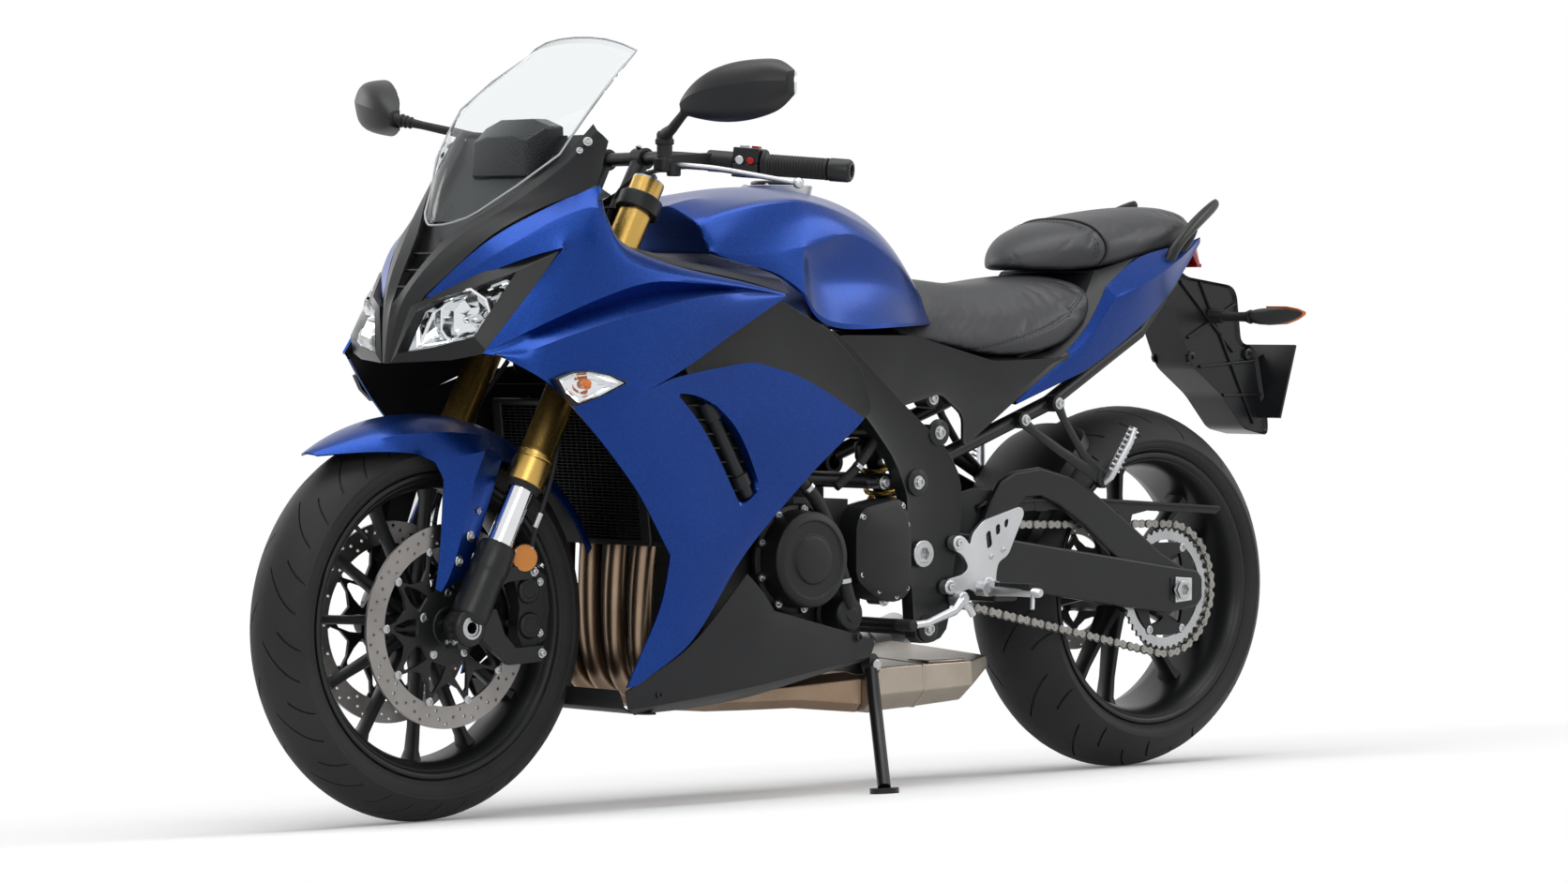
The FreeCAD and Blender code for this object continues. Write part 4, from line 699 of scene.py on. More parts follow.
# ---- nose, lamps and windscreen
nose = {
    # the arm's inner edge, its raised ridge and its outer edge, from the nose's tip up and back
    "arm": [
        [(1597, 0, 697), (1593, 0, 740), (1585, 0, 783), (1552, 16, 834), (1506, 36, 893), (1470, 72, 922),
         (1438, 104, 949), (1378, 146, 1004), (1350, 154, 1032), (1322, 160, 1062)],
        [(1596, 5, 697), (1590, 12, 742), (1583, 20, 790), (1554, 38, 838), (1510, 62, 888), (1474, 92, 916),
         (1440, 118, 940), (1382, 152, 990), (1352, 162, 1018), (1320, 167, 1052)],
        [(1593, 11, 697), (1584, 24, 744), (1573, 36, 794), (1540, 64, 842), (1498, 88, 890), (1462, 112, 914),
         (1424, 130, 940), (1366, 158, 978), (1338, 167, 1004), (1310, 171, 1044)],
        [(1590, 15, 698), (1577, 33, 748), (1560, 50, 798), (1524, 82, 843), (1486, 110, 889), (1446, 130, 914),
         (1405, 146, 936), (1360, 162, 952), (1322, 171, 970), (1297, 167, 1036)],
    ],
    "housing": [(1596, 14, 699), (1580, 40, 782), (1566, 74, 797), (1484, 148, 851), (1416, 197, 868),
                (1474, 181, 792), (1534, 166, 715), (1560, 110, 704)],
    "lens": [(1590, 27, 712), (1574, 50, 774), (1561, 82, 792), (1516, 128, 813), (1476, 166, 834),
             (1510, 158, 786), (1543, 150, 738), (1570, 90, 722)],
    "screen": [
        [(1506, 0, 906), (1499, 18, 907), (1490, 34, 911), (1480, 50, 917), (1470, 64, 926)],
        [(1478, 0, 942), (1472, 30, 943), (1462, 56, 948), (1444, 84, 956), (1426, 104, 966)],
        [(1442, 0, 985), (1438, 40, 986), (1427, 78, 990), (1405, 116, 1001), (1380, 150, 1014)],
        [(1404, 0, 1031), (1401, 44, 1032), (1391, 86, 1036), (1372, 124, 1044), (1352, 157, 1054)],
        [(1362, 0, 1080), (1360, 46, 1081), (1351, 90, 1083), (1336, 130, 1088), (1322, 162, 1093)],
        [(1296, 0, 1144), (1294, 42, 1144), (1289, 82, 1143), (1280, 118, 1141), (1269, 150, 1138)],
        [(1228, 0, 1203), (1226, 36, 1202), (1223, 72, 1198), (1218, 104, 1190), (1211, 131, 1179)],
    ],
}
bm, grid = sheetOf(nose["arm"])
crease(bm, [[grid[1][i] for i in range(10)]], 0.75)
crease(bm, [[grid[2][i] for i in range(2, 8)]], 0.35)
pinVerts(bm, [grid[r][i] for r in (0, 3) for i in (0, 2, 9)] + [grid[3][8]])
addPair("noseArms", bm, "chassis", "texturedAbs", ["nose_cowl"], subdivide=2, thick=5, bevel=1.0, sharp=15)

# dark strip behind the seam between the arms and the painted brow
bm, grid = sheetOf([[(x + dx, y + dy, z + dz) for x, y, z in nose["arm"][3][3:9]] for dx, dy, dz in
                    ((-8, -18, 0), (-9, -2, -6), (-12, 16, -16))])
addPair("seamBacking", bm, "chassis", "texturedAbs", thick=2)

# dark intake under the screen's foot, with a stepped throat
bm, grid = sheetOf([[(1580, -6, 778), (1580, 6, 778)], [(1536, -22, 826), (1536, 22, 826)],
                    [(1490, -44, 880), (1490, 44, 880)], [(1452, -84, 915), (1452, 84, 915)],
                    [(1410, -118, 948), (1410, 118, 948)], [(1352, -146, 1000), (1352, 146, 1000)],
                    [(1320, -150, 1046), (1320, 150, 1046)]])
addPiece("intakeThroat", bm, "chassis", "smoothAbs", thick=3, bevel=0.6)
bm = bmesh.new()
for t in (0.3, 0.55, 0.8):
    x, z = 1580 - 90 * t, 778 + 102 * t
    rodMesh(bm, (x + 10, -38 * t, z + 3), (x + 10, 38 * t, z + 3), 2.5, sides=10)
addPiece("intakeSlats", bm, "chassis", "smoothAbs")

# screws of the ears beside the screen
bm = bmesh.new()
for dx, dz, r in ((0, 0, 7.0), (16, -14, 5.0)):
    boltMesh(bm, (1338 + dx, 166, 1034 + dz), (0.5, 0.8, 0.4), r * 0.7, 5)
addPair("earScrews", bm, "chassis", "zincPlate")


def drawnIn(points, share, dx, dy=0.0):
    # an outline drawn toward its middle by a share, and moved
    middle = sum((Vector(p) for p in points), Vector()) / len(points)
    return [Vector(p).lerp(middle, share) + Vector((dx, dy, 0)) for p in points]


def dishMesh(outline, steps):
    # a form through an outline drawn in by steps of share, dx and dy, with its last ring closed
    bm = bmesh.new()
    ring = []
    for share, *move in steps:
        points = drawnIn(outline, share, *move)
        ring = growRow(bm, ring, points, closed=True) if ring else addRow(bm, points, closed=True)
    bmesh.ops.contextual_create(bm, geom=ring)
    bmesh.ops.recalc_face_normals(bm, faces=bm.faces)
    return bm


# lamp housing: black rim round the lens with deep walls
bm = bmesh.new()
ring = addRow(bm, drawnIn(nose["housing"], -0.03, -4), closed=True)
for points in (drawnIn(nose["lens"], -0.02, 3), drawnIn(nose["lens"], 0.0, 0), drawnIn(nose["lens"], 0.06, -34, -6),
               drawnIn(nose["lens"], 0.25, -62, -12)):
    ring = growRow(bm, ring, points, closed=True)
bmesh.ops.contextual_create(bm, geom=ring)
outer = addRow(bm, drawnIn(nose["housing"], -0.03, -5), closed=True)
for share, dx in ((0.1, -40), (0.3, -84)):
    outer = growRow(bm, outer, drawnIn(nose["housing"], share, dx, -8), closed=True)
bmesh.ops.contextual_create(bm, geom=outer)
bmesh.ops.recalc_face_normals(bm, faces=bm.faces)
addPair("lampHousings", bm, "chassis", "smoothAbs", bevel=0.8, sharp=25, slot="black_coat")

# silvered reflector: a faceted bowl with radial flutes, and stepped wings beside it
bm = dishMesh(nose["lens"], [(0.05, -14, -2), (0.14, -24, -6), (0.2, -26, -6), (0.36, -40, -6), (0.42, -41, -6)])
bmesh.ops.reverse_faces(bm, faces=bm.faces)
bowl = facing((1500, 105, 762), (0.95, 0.3, 0.02))
made = turnedMesh(bm, [(0, 9), (4, 20), (14, 36), (30, 47), (34, 47), (34, 43)], bowl, sides=18)
for vert in made:
    away = bowl.inverted() @ vert.co
    flute = 1 + 0.03 * math.cos(9 * math.atan2(away.y, away.x))
    vert.co = bowl @ Vector((away.x * flute, away.y * flute, away.z))
addPair("lampReflectors", bm, "chassis", "silveredBowl", sharp=8)
bm = bmesh.new()
for h0, h1, r0, r1 in ((0, 16, 9, 8), (16, 34, 5.5, 5.5), (34, 40, 5.5, 2)):
    rodMesh(bm, bowl @ Vector((0, 0, h0)), bowl @ Vector((0, 0, h1)), r0, r1, 20)
small = facing((1532, 58, 742), (0.96, 0.2, 0.05))
turnedMesh(bm, [(-6, 4), (-4, 10), (2, 15), (4, 15), (4, 13), (0, 9), (-2, 3)], small, sides=20)
rodMesh(bm, small @ Vector((0, 0, -4)), small @ Vector((0, 0, 8)), 3, 1.5, 14)
addPair("lampBulbs", bm, "chassis", "hardChrome")

# lens: a crowned clear cover over the housing
bm = bmesh.new()
ring = addRow(bm, drawnIn(nose["lens"], -0.015, 0), closed=True)
for share, dx in ((0.0, 3.5), (0.3, 6.5), (0.65, 8)):
    ring = growRow(bm, ring, drawnIn(nose["lens"], share, dx), closed=True)
bmesh.ops.contextual_create(bm, geom=ring)
bmesh.ops.recalc_face_normals(bm, faces=bm.faces)
addPair("lampLenses", bm, "chassis", "clearLens", ["headlights"], thick=2.0, sharp=40)

# screen with a rolled edge, on black rubber at its foot
rows = [[(x, -y, z) for x, y, z in reversed(row[1:])] + row for row in nose["screen"]]
bm, grid = sheetOf(rows)
edge = [v.co.copy() for v in grid[0]] + [row[-1].co.copy() for row in grid[1:]] + \
    [v.co.copy() for v in reversed(grid[-1])][1:] + [row[0].co.copy() for row in reversed(grid)][1:-1]
pinVerts(bm, [grid[0][0], grid[0][-1], grid[-1][0], grid[-1][-1]], 0.6)
addPiece("windscreen", bm, "chassis", "clearAcrylic", ["windscreen"], subdivide=2, thick=3)


def tubeAlong(name, points, radius, body, look, slot=None, closed=False, smooth=True):
    # a tube swept along points as a curve turned into a mesh
    slot = slot or usualSlots[look]
    curve = bpy.data.curves.new(name, "CURVE")
    curve.dimensions = "3D"
    curve.bevel_depth = radius / 1000
    curve.bevel_resolution = 3
    curve.resolution_u = 6
    curve.use_fill_caps = not closed
    line = curve.splines.new("NURBS" if smooth else "POLY")
    line.points.add(len(points) - 1)
    for i, point in enumerate(points):
        line.points[i].co = (*(standing @ Vector(point)), 1)
    line.use_cyclic_u = closed
    if smooth:
        line.order_u = 3
        line.use_endpoint_u = not closed
    source = newObject(name + "Path", curve)
    bpy.context.view_layer.update()
    mesh = bpy.data.meshes.new_from_object(source.evaluated_get(bpy.context.evaluated_depsgraph_get()))
    bpy.data.objects.remove(source)
    mesh.name = name
    for polygon in mesh.polygons:
        polygon.use_smooth = True
    mesh.materials.clear()
    mesh.materials.append(finishes[look])
    piece = newObject(name, mesh)
    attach(piece, body)
    return piece


# the rim's grey is painted light: it stands in for the glow along the clear acrylic's edge
tubeAlong("screenRim", edge, 1.7, "chassis", "rolledEdge", closed=True, smooth=False)

# instruments behind the screen
bm = bmesh.new()
ring = addRow(bm, [(1312, y, z) for y, z in ((-84, 972), (84, 972), (78, 1060), (40, 1072), (-40, 1072), (-78, 1060))],
              closed=True)
bmesh.ops.contextual_create(bm, geom=ring)
face = [v.co.copy() for v in ring]
ring = growRow(bm, ring, [(1340, v.y * 0.98, v.z) for v in face], closed=True)
ring = growRow(bm, ring, [(1376, v.y * 0.8, 1010 + (v.z - 1016) * 0.6) for v in face], closed=True)
bmesh.ops.contextual_create(bm, geom=ring)
bmesh.ops.recalc_face_normals(bm, faces=bm.faces)
boxMesh(bm, 1306, 1312, -70, 70, 984, 1050)
addPiece("instruments", bm, "chassis", "smoothAbs", ["instrument_panel"], bevel=2.5)
bm = bmesh.new()
turnedMesh(bm, [(0, 0), (0, 30), (2, 30), (3, 28), (1, 27), (1, 0)], facing((1306, 30, 1018), (-1, 0, 0)), sides=40)
boxMesh(bm, 1303.5, 1305.5, -62, -8, 992, 1042)
addPiece("dialGlass", bm, "chassis", "displayGlass", bevel=0.3)
print("nose built")


def formInto(bm, rings, capped=True):
    # a closed form through rings of points, added to a mesh that may hold others
    ring = addRow(bm, rings[0], closed=True)
    first, made = ring, set(ring)
    for points in rings[1:]:
        ring = growRow(bm, ring, points, closed=True)
        made |= set(ring)
    if capped:
        for end in (first, ring):
            bmesh.ops.contextual_create(bm, geom=end)
    bmesh.ops.recalc_face_normals(bm, faces=list({f for v in made for f in v.link_faces}))
    return made


# ---- wheels
def buildTyre(name, replaces, body, tyre):
    # round crown cut by swept grooves, a ridge at the shoulder and stepped sidewalls down to the bead
    half, drop, radius = tyre["half"], tyre["drop"], tyre["r"]
    crown = (half * half + drop * drop) / (2 * drop)
    reach = math.asin(half / crown)
    shares = [-1, -0.93, -0.82, -0.7, -0.58, -0.46, -0.34, -0.22, -0.12, -0.05]
    shares += [-s for s in reversed(shares)]
    edge = radius - drop
    wall = [(half - 0.6, edge - 3), (half - 1.8, edge - 4)]
    for t in (0.2, 0.42, 0.62, 0.78):
        wall.append((half - 1.8 - (half - tyre["foot"] - 6) * t ** 1.9, edge - 4 - (edge - tyre["flange"] - 8) * t))
    wall += [(wall[-1][0] + 0.2, wall[-1][1] - 1.0), (tyre["foot"] + 5.2, tyre["flange"] + 3.6),
             (tyre["foot"] + 2.6, tyre["flange"] + 1.6), (tyre["foot"] + 0.4, tyre["flange"] + 0.6),
             (tyre["foot"] - 2, tyre["flange"] - 8)]
    profile = [(-y, r, -1.0) for y, r in reversed(wall)]
    profile += [(crown * math.sin(s * reach), radius - crown * (1 - math.cos(s * reach)), s) for s in shares]
    profile += [(y, r, 1.0) for y, r in wall]
    pitch = math.tau / tyre["pitches"]
    columns = 8
    rows = []
    for y, r, share in profile:
        swept = tyre["sweep"] * (1 - (1 - min(abs(share), 1)) ** 1.7)
        narrow = 0.45 if abs(share) < 0.1 or abs(share) > 0.9 else 1.0
        slot = tyre["slot"] / radius / pitch * narrow
        row = []
        for i in range(tyre["pitches"]):
            for part in (0, slot, 0.17, 0.33, 0.5, 0.5 + slot, 0.67, 0.83):
                turn = (i + part) * pitch + swept
                row.append((tyre["x"] + r * math.cos(turn), y, radius + r * math.sin(turn)))
        rows.append(row)
    bm, grid = sheetOf(rows, closed=True)
    first = len(wall)
    cut = []
    for k in range(len(shares) - 1):
        middle = (shares[k] + shares[k + 1]) / 2
        for i in range(tyre["pitches"]):
            for at, half0 in ((0, 1), (4, -1)):
                span = tyre["long"] if middle * half0 > 0 else tyre["short"]
                if span[0] < abs(middle) < span[1]:
                    j = i * columns + at
                    corners = {grid[first + k][j], grid[first + k][j + 1], grid[first + k + 1][j]}
                    cut += [f for f in grid[first + k][j].link_faces if corners <= set(f.verts)]
    grown = bmesh.ops.extrude_face_region(bm, geom=cut)
    for v in vertsOf(grown):
        away = Vector((tyre["x"] - v.co.x, -v.co.y * 0.6, radius - v.co.z))
        v.co += away.normalized() * tyre["depth"]
    bmesh.ops.delete(bm, geom=[f for f in cut if f.is_valid], context="FACES")
    bmesh.ops.recalc_face_normals(bm, faces=bm.faces)
    addPiece(name, bm, body, "tyreRubber", [replaces], sharp=28)


def spokeInto(bm, x, z, angle, split, spoke):
    # one tapered arm with flared ends, leaning away from its twin
    a, b = math.radians(angle), math.radians(angle + split)
    inner = Vector((math.cos(a), 0, math.sin(a))) * spoke["in"]
    outer = Vector((math.cos(b), 0, math.sin(b))) * spoke["out"]
    side = (outer - inner).cross(Vector((0, 1, 0))).normalized()
    rings = []
    for t, w, h in ((0, 1.5, 1.35), (0.1, 1.12, 1.12), (0.3, 0.95, 0.95), (0.7, 0.82, 0.8), (0.9, 0.9, 0.9),
                    (1.0, 1.5, 1.25)):
        w, h = w * spoke["w"], h * spoke["h"]
        at = Vector((x, 0, z)) + inner.lerp(outer, t)
        rings.append([at + side * w * p + Vector((0, h * q, 0)) for p, q in (
            (1, 0.55), (0.55, 1), (-0.55, 1), (-1, 0.55), (-1, -0.55), (-0.55, -1), (0.55, -1), (1, -0.55))])
    formInto(bm, rings)


def buildRim(name, replaces, body, rim):
    # cast rim with rolled lips and a dropped centre, on a bored hub, with paired arms
    x, z, half = rim["x"], rim["z"], rim["half"]
    side = [(half - 7, 219), (half - 6, 231), (half - 4.6, 232.9), (half - 1.2, 232.9), (half + 0.2, 231.6),
            (half + 0.4, 227.5), (half - 1.6, 224), (half - 6, 221.6), (half - 9, 217.5), (half * 0.62, 209),
            (half * 0.5, 206.4)]
    bm = bmesh.new()
    place = leftward(x, 0, z)
    turnedMesh(bm, [(-y, r) for y, r in side] + [(y, r) for y, r in reversed(side)], place, sides=128)
    hub = rim["hubHalf"]
    turnedMesh(bm, [(-hub, rim["bore"]), (-hub, 33), (-hub + 7, 35), (-hub + 9, rim["hub"] - 4),
                    (-hub * 0.55, rim["hub"] - 7), (0, rim["hub"] - 5), (hub * 0.55, rim["hub"] - 7),
                    (hub - 9, rim["hub"] - 4), (hub - 7, 35), (hub, 33), (hub, rim["bore"])], place, sides=64)
    twin = 7
    for i in range(rim["arms"]):
        for way in (-1, 1):
            spokeInto(bm, x, z, rim["first"] + i * 360 / rim["arms"] + way * twin, way * rim["split"], rim["spoke"])
    turn = math.radians(rim["first"] + 180 / rim["arms"])
    valve = Vector((math.cos(turn), 0, math.sin(turn)))
    rodMesh(bm, Vector((x, 12, z)) + valve * 208, Vector((x, 24, z)) + valve * 176, 4, 3, 12)
    addPiece(name, bm, body, "powderCoat", [replaces], bevel=1.2, sharp=34)


def discMesh(bm, x, z, disc, y0, y1):
    # drilled ring
    holes = []
    for i in range(disc["groups"]):
        for j, r in enumerate(disc["rows"]):
            turn = (i + j * disc["swirl"]) * math.tau / disc["groups"]
            holes.append(ringPoints(x + r * math.cos(turn), z + r * math.sin(turn), disc["hole"], 8))
    plateMesh(bm, ringPoints(x, z, disc["r"], 96), [ringPoints(x, z, disc["in"], 80)] + holes, y0, y1)


def carrierMesh(bm, x, z, disc, y0, y1):
    # spidery carrier whose arms end at the ring's fasteners
    outer, holes, steps = [], [], 6
    for i in range(disc["arms"] * steps):
        near = abs(i % steps - steps / 2) / (steps / 2)
        r = disc["in"] + 3 - (disc["in"] - disc["waist"]) * (1 - near) ** 0.35
        turn = i * math.tau / disc["arms"] / steps
        outer.append((x + r * math.cos(turn), z + r * math.sin(turn)))
    for i in range(disc["arms"]):
        low, high = disc["hub"] + 3, disc["in"] - 17
        turn = i * math.tau / disc["arms"]
        wide = math.pi / disc["arms"]
        holes.append([(x + r * math.cos(turn + s * wide), z + r * math.sin(turn + s * wide)) for r, s in (
            (low, -0.66), (low + 3, -0.74), ((low + high) / 2, -0.46), (high - 3, -0.14), (high, 0.0), (high - 3, 0.14),
            ((low + high) / 2, 0.46), (low + 3, 0.74), (low, 0.66))])
    plateMesh(bm, outer, [ringPoints(x, z, disc["bore"], 40)] + holes, y0, y1)


def fastenersInto(bm, x, z, y, r, count, start, size, side):
    for i in range(count):
        turn = start + i * math.tau / count
        place = facing((x + r * math.cos(turn), y, z + r * math.sin(turn)), (0, side, 0))
        turnedMesh(bm, [(-1, size), (1.2, size), (1.8, size * 0.8), (1.8, size * 0.55), (0.4, size * 0.5), (0.4, 0)],
                   place, sides=16)


frontTyre = {"x": frontX, "r": frontTyreR, "half": 60, "drop": 38, "foot": 46.7, "flange": 232.6, "pitches": 17,
             "sweep": -math.radians(17), "slot": 4.6, "depth": 3.6, "long": (0.1, 0.84), "short": (0.5, 0.95)}
rearTyre = {"x": 0, "r": rearTyreR, "half": 95, "drop": 56, "foot": 77.7, "flange": 232.6, "pitches": 15,
            "sweep": math.radians(21), "slot": 5.6, "depth": 4.4, "long": (0.16, 0.72), "short": (0.52, 0.95)}
buildTyre("frontTread", "front_tyre", "front_wheel", frontTyre)
buildTyre("rearTread", "rear_tyre", "rear_wheel", rearTyre)
buildRim("frontWheel", "front_rim", "front_wheel", {
    "x": frontX, "z": frontTyreR, "half": 53, "hubHalf": 67.5, "hub": 42, "bore": 13.1, "arms": 6, "first": 19,
    "split": 8, "spoke": {"in": 32, "out": 209, "w": 8.0, "h": 15.0}})
buildRim("rearWheel", "rear_rim", "rear_wheel", {
    "x": 0, "z": rearTyreR, "half": 84, "hubHalf": 104, "hub": 52, "bore": 14.1, "arms": 5, "first": 3, "split": 5,
    "spoke": {"in": 42, "out": 209, "w": 9.5, "h": 19.0}})

frontDisc = {"r": 155, "in": 121, "groups": 18, "rows": (128, 138, 148, 141), "swirl": 0.28, "hole": 2.6, "arms": 10,
             "waist": 82, "hub": 56, "bore": 30}
bm = bmesh.new()
discMesh(bm, frontX, frontTyreR, frontDisc, 67.5, 72.5)
addPair("frontDiscs", bm, "front_wheel", "groundSteel", ["front_discs"], bevel=0.3, sharp=40)
bm = bmesh.new()
carrierMesh(bm, frontX, frontTyreR, frontDisc, 66.8, 73.2)
turnedMesh(bm, [(64, 29), (74, 31), (76, 29.5), (76, 24), (68, 24)], leftward(frontX, 0, frontTyreR), 48)
addPair("discCarriers", bm, "front_wheel", "powderCoat", bevel=0.6, sharp=40)
bm = bmesh.new()
fastenersInto(bm, frontX, frontTyreR, 73.4, 118.5, 10, 0, 6.6, 1)
fastenersInto(bm, frontX, frontTyreR, 73.2, 50, 5, 0.3, 7.2, 1)
addPair("discFasteners", bm, "front_wheel", "zincPlate", slot="disc_steel")

rearDisc = {"r": 115, "in": 86, "groups": 16, "rows": (92, 100, 108), "swirl": 0.3, "hole": 2.5, "arms": 8,
            "waist": 66, "hub": 46, "bore": 32}
bm = bmesh.new()
discMesh(bm, 0, rearTyreR, rearDisc, -109, -104)
addPiece("rearBrakeDisc", bm, "rear_wheel", "groundSteel", ["rear_disc"], bevel=0.3, sharp=40)
bm = bmesh.new()
carrierMesh(bm, 0, rearTyreR, rearDisc, -109.6, -103.6)
addPiece("rearCarrier", bm, "rear_wheel", "powderCoat", bevel=0.5, sharp=40)
bm = bmesh.new()
fastenersInto(bm, 0, rearTyreR, -109.4, 84, 8, 0, 5.5, -1)
fastenersInto(bm, 0, rearTyreR, -109.4, 40, 5, 0.3, 6, -1)
addPiece("rearDiscFasteners", bm, "rear_wheel", "zincPlate", slot="disc_steel")
print("wheels built")


# ---- front mudguard
fender = {
    # rows from the tip back, each from the middle to the lower edge
    "guard": [
        [(1746, 0, 564), (1744, 8, 563), (1741, 14, 562), (1738, 20, 560)],
        [(1703, 0, 583), (1702, 24, 581), (1697, 42, 575), (1694, 54, 564)],
        [(1661, 0, 600), (1660, 32, 598), (1654, 60, 586), (1648, 76, 566)],
        [(1613, 0, 615), (1612, 36, 612), (1606, 72, 592), (1599, 82, 562)],
        [(1564, 0, 621), (1563, 38, 618), (1556, 78, 594), (1566, 84, 549)],
        [(1507, 0, 621), (1507, 38, 618), (1496, 80, 592), (1478, 96, 565)],
        [(1447, 0, 611), (1448, 38, 608), (1450, 76, 586), (1444, 93, 551)],
        [(1379, 0, 584), (1380, 38, 581), (1388, 74, 562), (1394, 84, 536)],
        [(1315, 0, 541), (1316, 40, 538), (1328, 76, 522), (1336, 83, 505)],
        [(1265, 0, 482), (1266, 40, 480), (1278, 76, 468), (1288, 82, 456)],
        [(1233, 0, 421), (1235, 38, 420), (1248, 74, 412), (1258, 78, 404)],
    ],
    "blade": [
        [(1550, 86, 524), (1501, 99, 521), (1463, 93, 498)],
        [(1554, 86, 443), (1524, 98, 438), (1494, 92, 418)],
        [(1560, 85, 384), (1543, 94, 376), (1512, 90, 374)],
        [(1564, 84, 358), (1555, 87, 353), (1536, 87, 361)],
    ],
}
bm, grid = sheetOf(fender["guard"])
chain = [grid[i][3] for i in (4, 5, 6)]
blade = [chain]
for points in fender["blade"]:
    chain = growRow(bm, chain, points)
    blade.append(chain)
crease(bm, [[row[2] for row in grid[2:8]]], 1.0)
crease(bm, [[row[2] for row in grid[7:]]], 0.45)
crease(bm, [[row[1] for row in blade]], 1.0)
crease(bm, [blade[0][:2], [blade[1][0], blade[1][1]]], 0.9)
pinVerts(bm, [grid[0][3], grid[-1][3], blade[0][0], blade[0][1], blade[0][2], blade[-1][0], blade[-1][2]])
pinVerts(bm, [grid[0][0], grid[3][3]], 0.6)
mirrorMesh(bm)
bmesh.ops.remove_doubles(bm, verts=bm.verts, dist=0.05)
bmesh.ops.recalc_face_normals(bm, faces=bm.faces)
addPiece("frontGuard", bm, "steering", ["bluePaint", "texturedAbs"],
         ["front_fender"], subdivide=3, thick=3.2, bevel=0.9, sharp=15)
bm = bmesh.new()
for x, y, z, r in ((1506, 95.5, 436, 6.0), (1527, 94.5, 399, 6.0), (1490, 96, 474, 3.4)):
    place = facing((x, y, z), (-0.25, 1, 0))
    turnedMesh(bm, [(0, r * 1.5), (1.4, r * 1.4), (1.6, r * 0.95), (3.6, r * 0.9), (4.2, r * 0.6), (2.6, r * 0.5),
                    (2.6, 0)], place, sides=18)
addPair("guardBolts", bm, "steering", "zincPlate")

# ---- fork
upFork = Vector((-math.sin(rake), 0, math.cos(rake)))
forkY = 112


def turnedOnFork(bm, profile, sides=64):
    turnedMesh(bm, profile, facing(forkPoint(0, 0, forkY), upFork), sides)


bm = bmesh.new()
turnedOnFork(bm, [(240, 21.2), (240, 28.8), (241, 30), (279, 30), (280.5, 29.2), (281.5, 28.2), (284, 28.2),
                  (285, 28.8), (290, 28.8), (291.5, 27.6), (296, 27.2), (300, 26.2), (500, 26), (766, 26), (766, 24)])
addPair("forkOuters", bm, "steering", "goldAnodised", ["fork_tubes"], sharp=24)
bm = bmesh.new()
turnedOnFork(bm, [(128, 20.5), (240, 20.5)], sides=48)
addPair("forkStanchions", bm, "steering", "hardChrome", ["fork_sliders"])
bm = bmesh.new()
turnedOnFork(bm, [(232, 20.8), (232, 25.4), (233.5, 27), (239.9, 27.6), (240, 21)], sides=48)
addPair("dustSeals", bm, "steering", "gripRubber")
bm = bmesh.new()
turnedOnFork(bm, [(764, 24), (766, 25.4), (769, 25.4), (770, 22), (770, 16), (772, 16), (773, 15), (773, 0)], sides=48)
turnedOnFork(bm, [(772, 10.5), (780, 10.5), (781, 9.5), (781, 5), (784, 5), (784, 0)], sides=6)
addPair("forkCaps", bm, "steering", "machinedAlloy")

# cast lower legs: socket, waist, axle boss with its pinch screws and the arms that carry the caliper
bm = bmesh.new()
turnedOnFork(bm, [(138, 21), (138, 27), (136.5, 28.6), (128, 29.6), (98, 30.4), (92, 29), (86, 28), (60, 28.4),
                  (30, 30), (18, 29), (10, 22)])
turnedMesh(bm, [(-19, 15), (-19, 26), (-17, 28.5), (-6, 30), (8, 30), (15, 28), (18, 24), (18, 14.2)],
           leftward(frontX, 112, frontTyreR), sides=64)
for outline, y0, y1 in ((((1512, 326), (1518, 296), (1478, 262), (1446, 240), (1384, 243), (1376, 254), (1380, 268),
                          (1434, 266), (1456, 288), (1472, 326)), 105, 117),
                        (((1488, 378), (1490, 350), (1448, 366), (1402, 370), (1392, 380), (1396, 391),
                          (1446, 389), (1476, 402)), 106, 117)):
    plateMesh(bm, list(outline), [], y0, y1)
boxMesh(bm, 1530, 1552, 94, 124, 268, 290)
addPair("forkLegs", bm, "steering", "powderCoat", ["fork_legs"], bevel=2.4, sharp=34)
bm = bmesh.new()
for y in (100, 117):
    boltMesh(bm, (1551, y, 279), (1, 0, -0.15), 4.2, 5)
for x, y, z in ((1384, 117, 256), (1400, 117, 381)):
    boltMesh(bm, (x, y, z), (0, 1, 0), 5, 6)
boltMesh(bm, (1372, 98, 386), (-0.6, 0.1, 0.8), 4.4, 6)
addPair("legScrews", bm, "steering", "zincPlate")
bm = bmesh.new()
turnedMesh(bm, [(-130, 9), (-130, 12.4), (-129, 13), (129, 13), (130, 12.4), (130, 9), (-130, 9)],
           leftward(frontX, 0, frontTyreR), sides=40)
for side in (-1, 1):
    turnedMesh(bm, [(0, 13.5), (0, 18), (1.4, 17.4), (1.4, 13.2)], facing((frontX, side * 130, frontTyreR),
                                                                             (0, side, 0)), sides=40)
addPiece("frontSpindle", bm, "steering", "machinedAlloy", ["front_axle"], bevel=0.3, slot="chrome_tube")

# four-piston caliper: two halves round the disc joined behind it, with raised piston caps
caliperOutline = [(1417, 384), (1427, 366), (1421, 346), (1417, 326), (1420, 306), (1420, 284), (1410, 264),
                  (1386, 262), (1373, 284), (1368, 325), (1373, 366), (1388, 387)]
bm = bmesh.new()
plateMesh(bm, caliperOutline, [], 80, 104)
plateMesh(bm, caliperOutline, [], 48, 61)
plateMesh(bm, [(1378, 382), (1364, 372), (1357, 325), (1364, 276), (1378, 268), (1371, 325)], [], 50, 102)
for x, z in ((1401, 352), (1398, 298)):
    turnedMesh(bm, [(0, 21), (4, 20), (6, 17.5), (6, 13), (5, 12), (5, 0)], leftward(x, 103.6, z), sides=40)
addPair("frontCalipers", bm, "steering", "castCase", ["front_calipers"], bevel=3.0, sharp=34, slot="black_coat")
bm = bmesh.new()
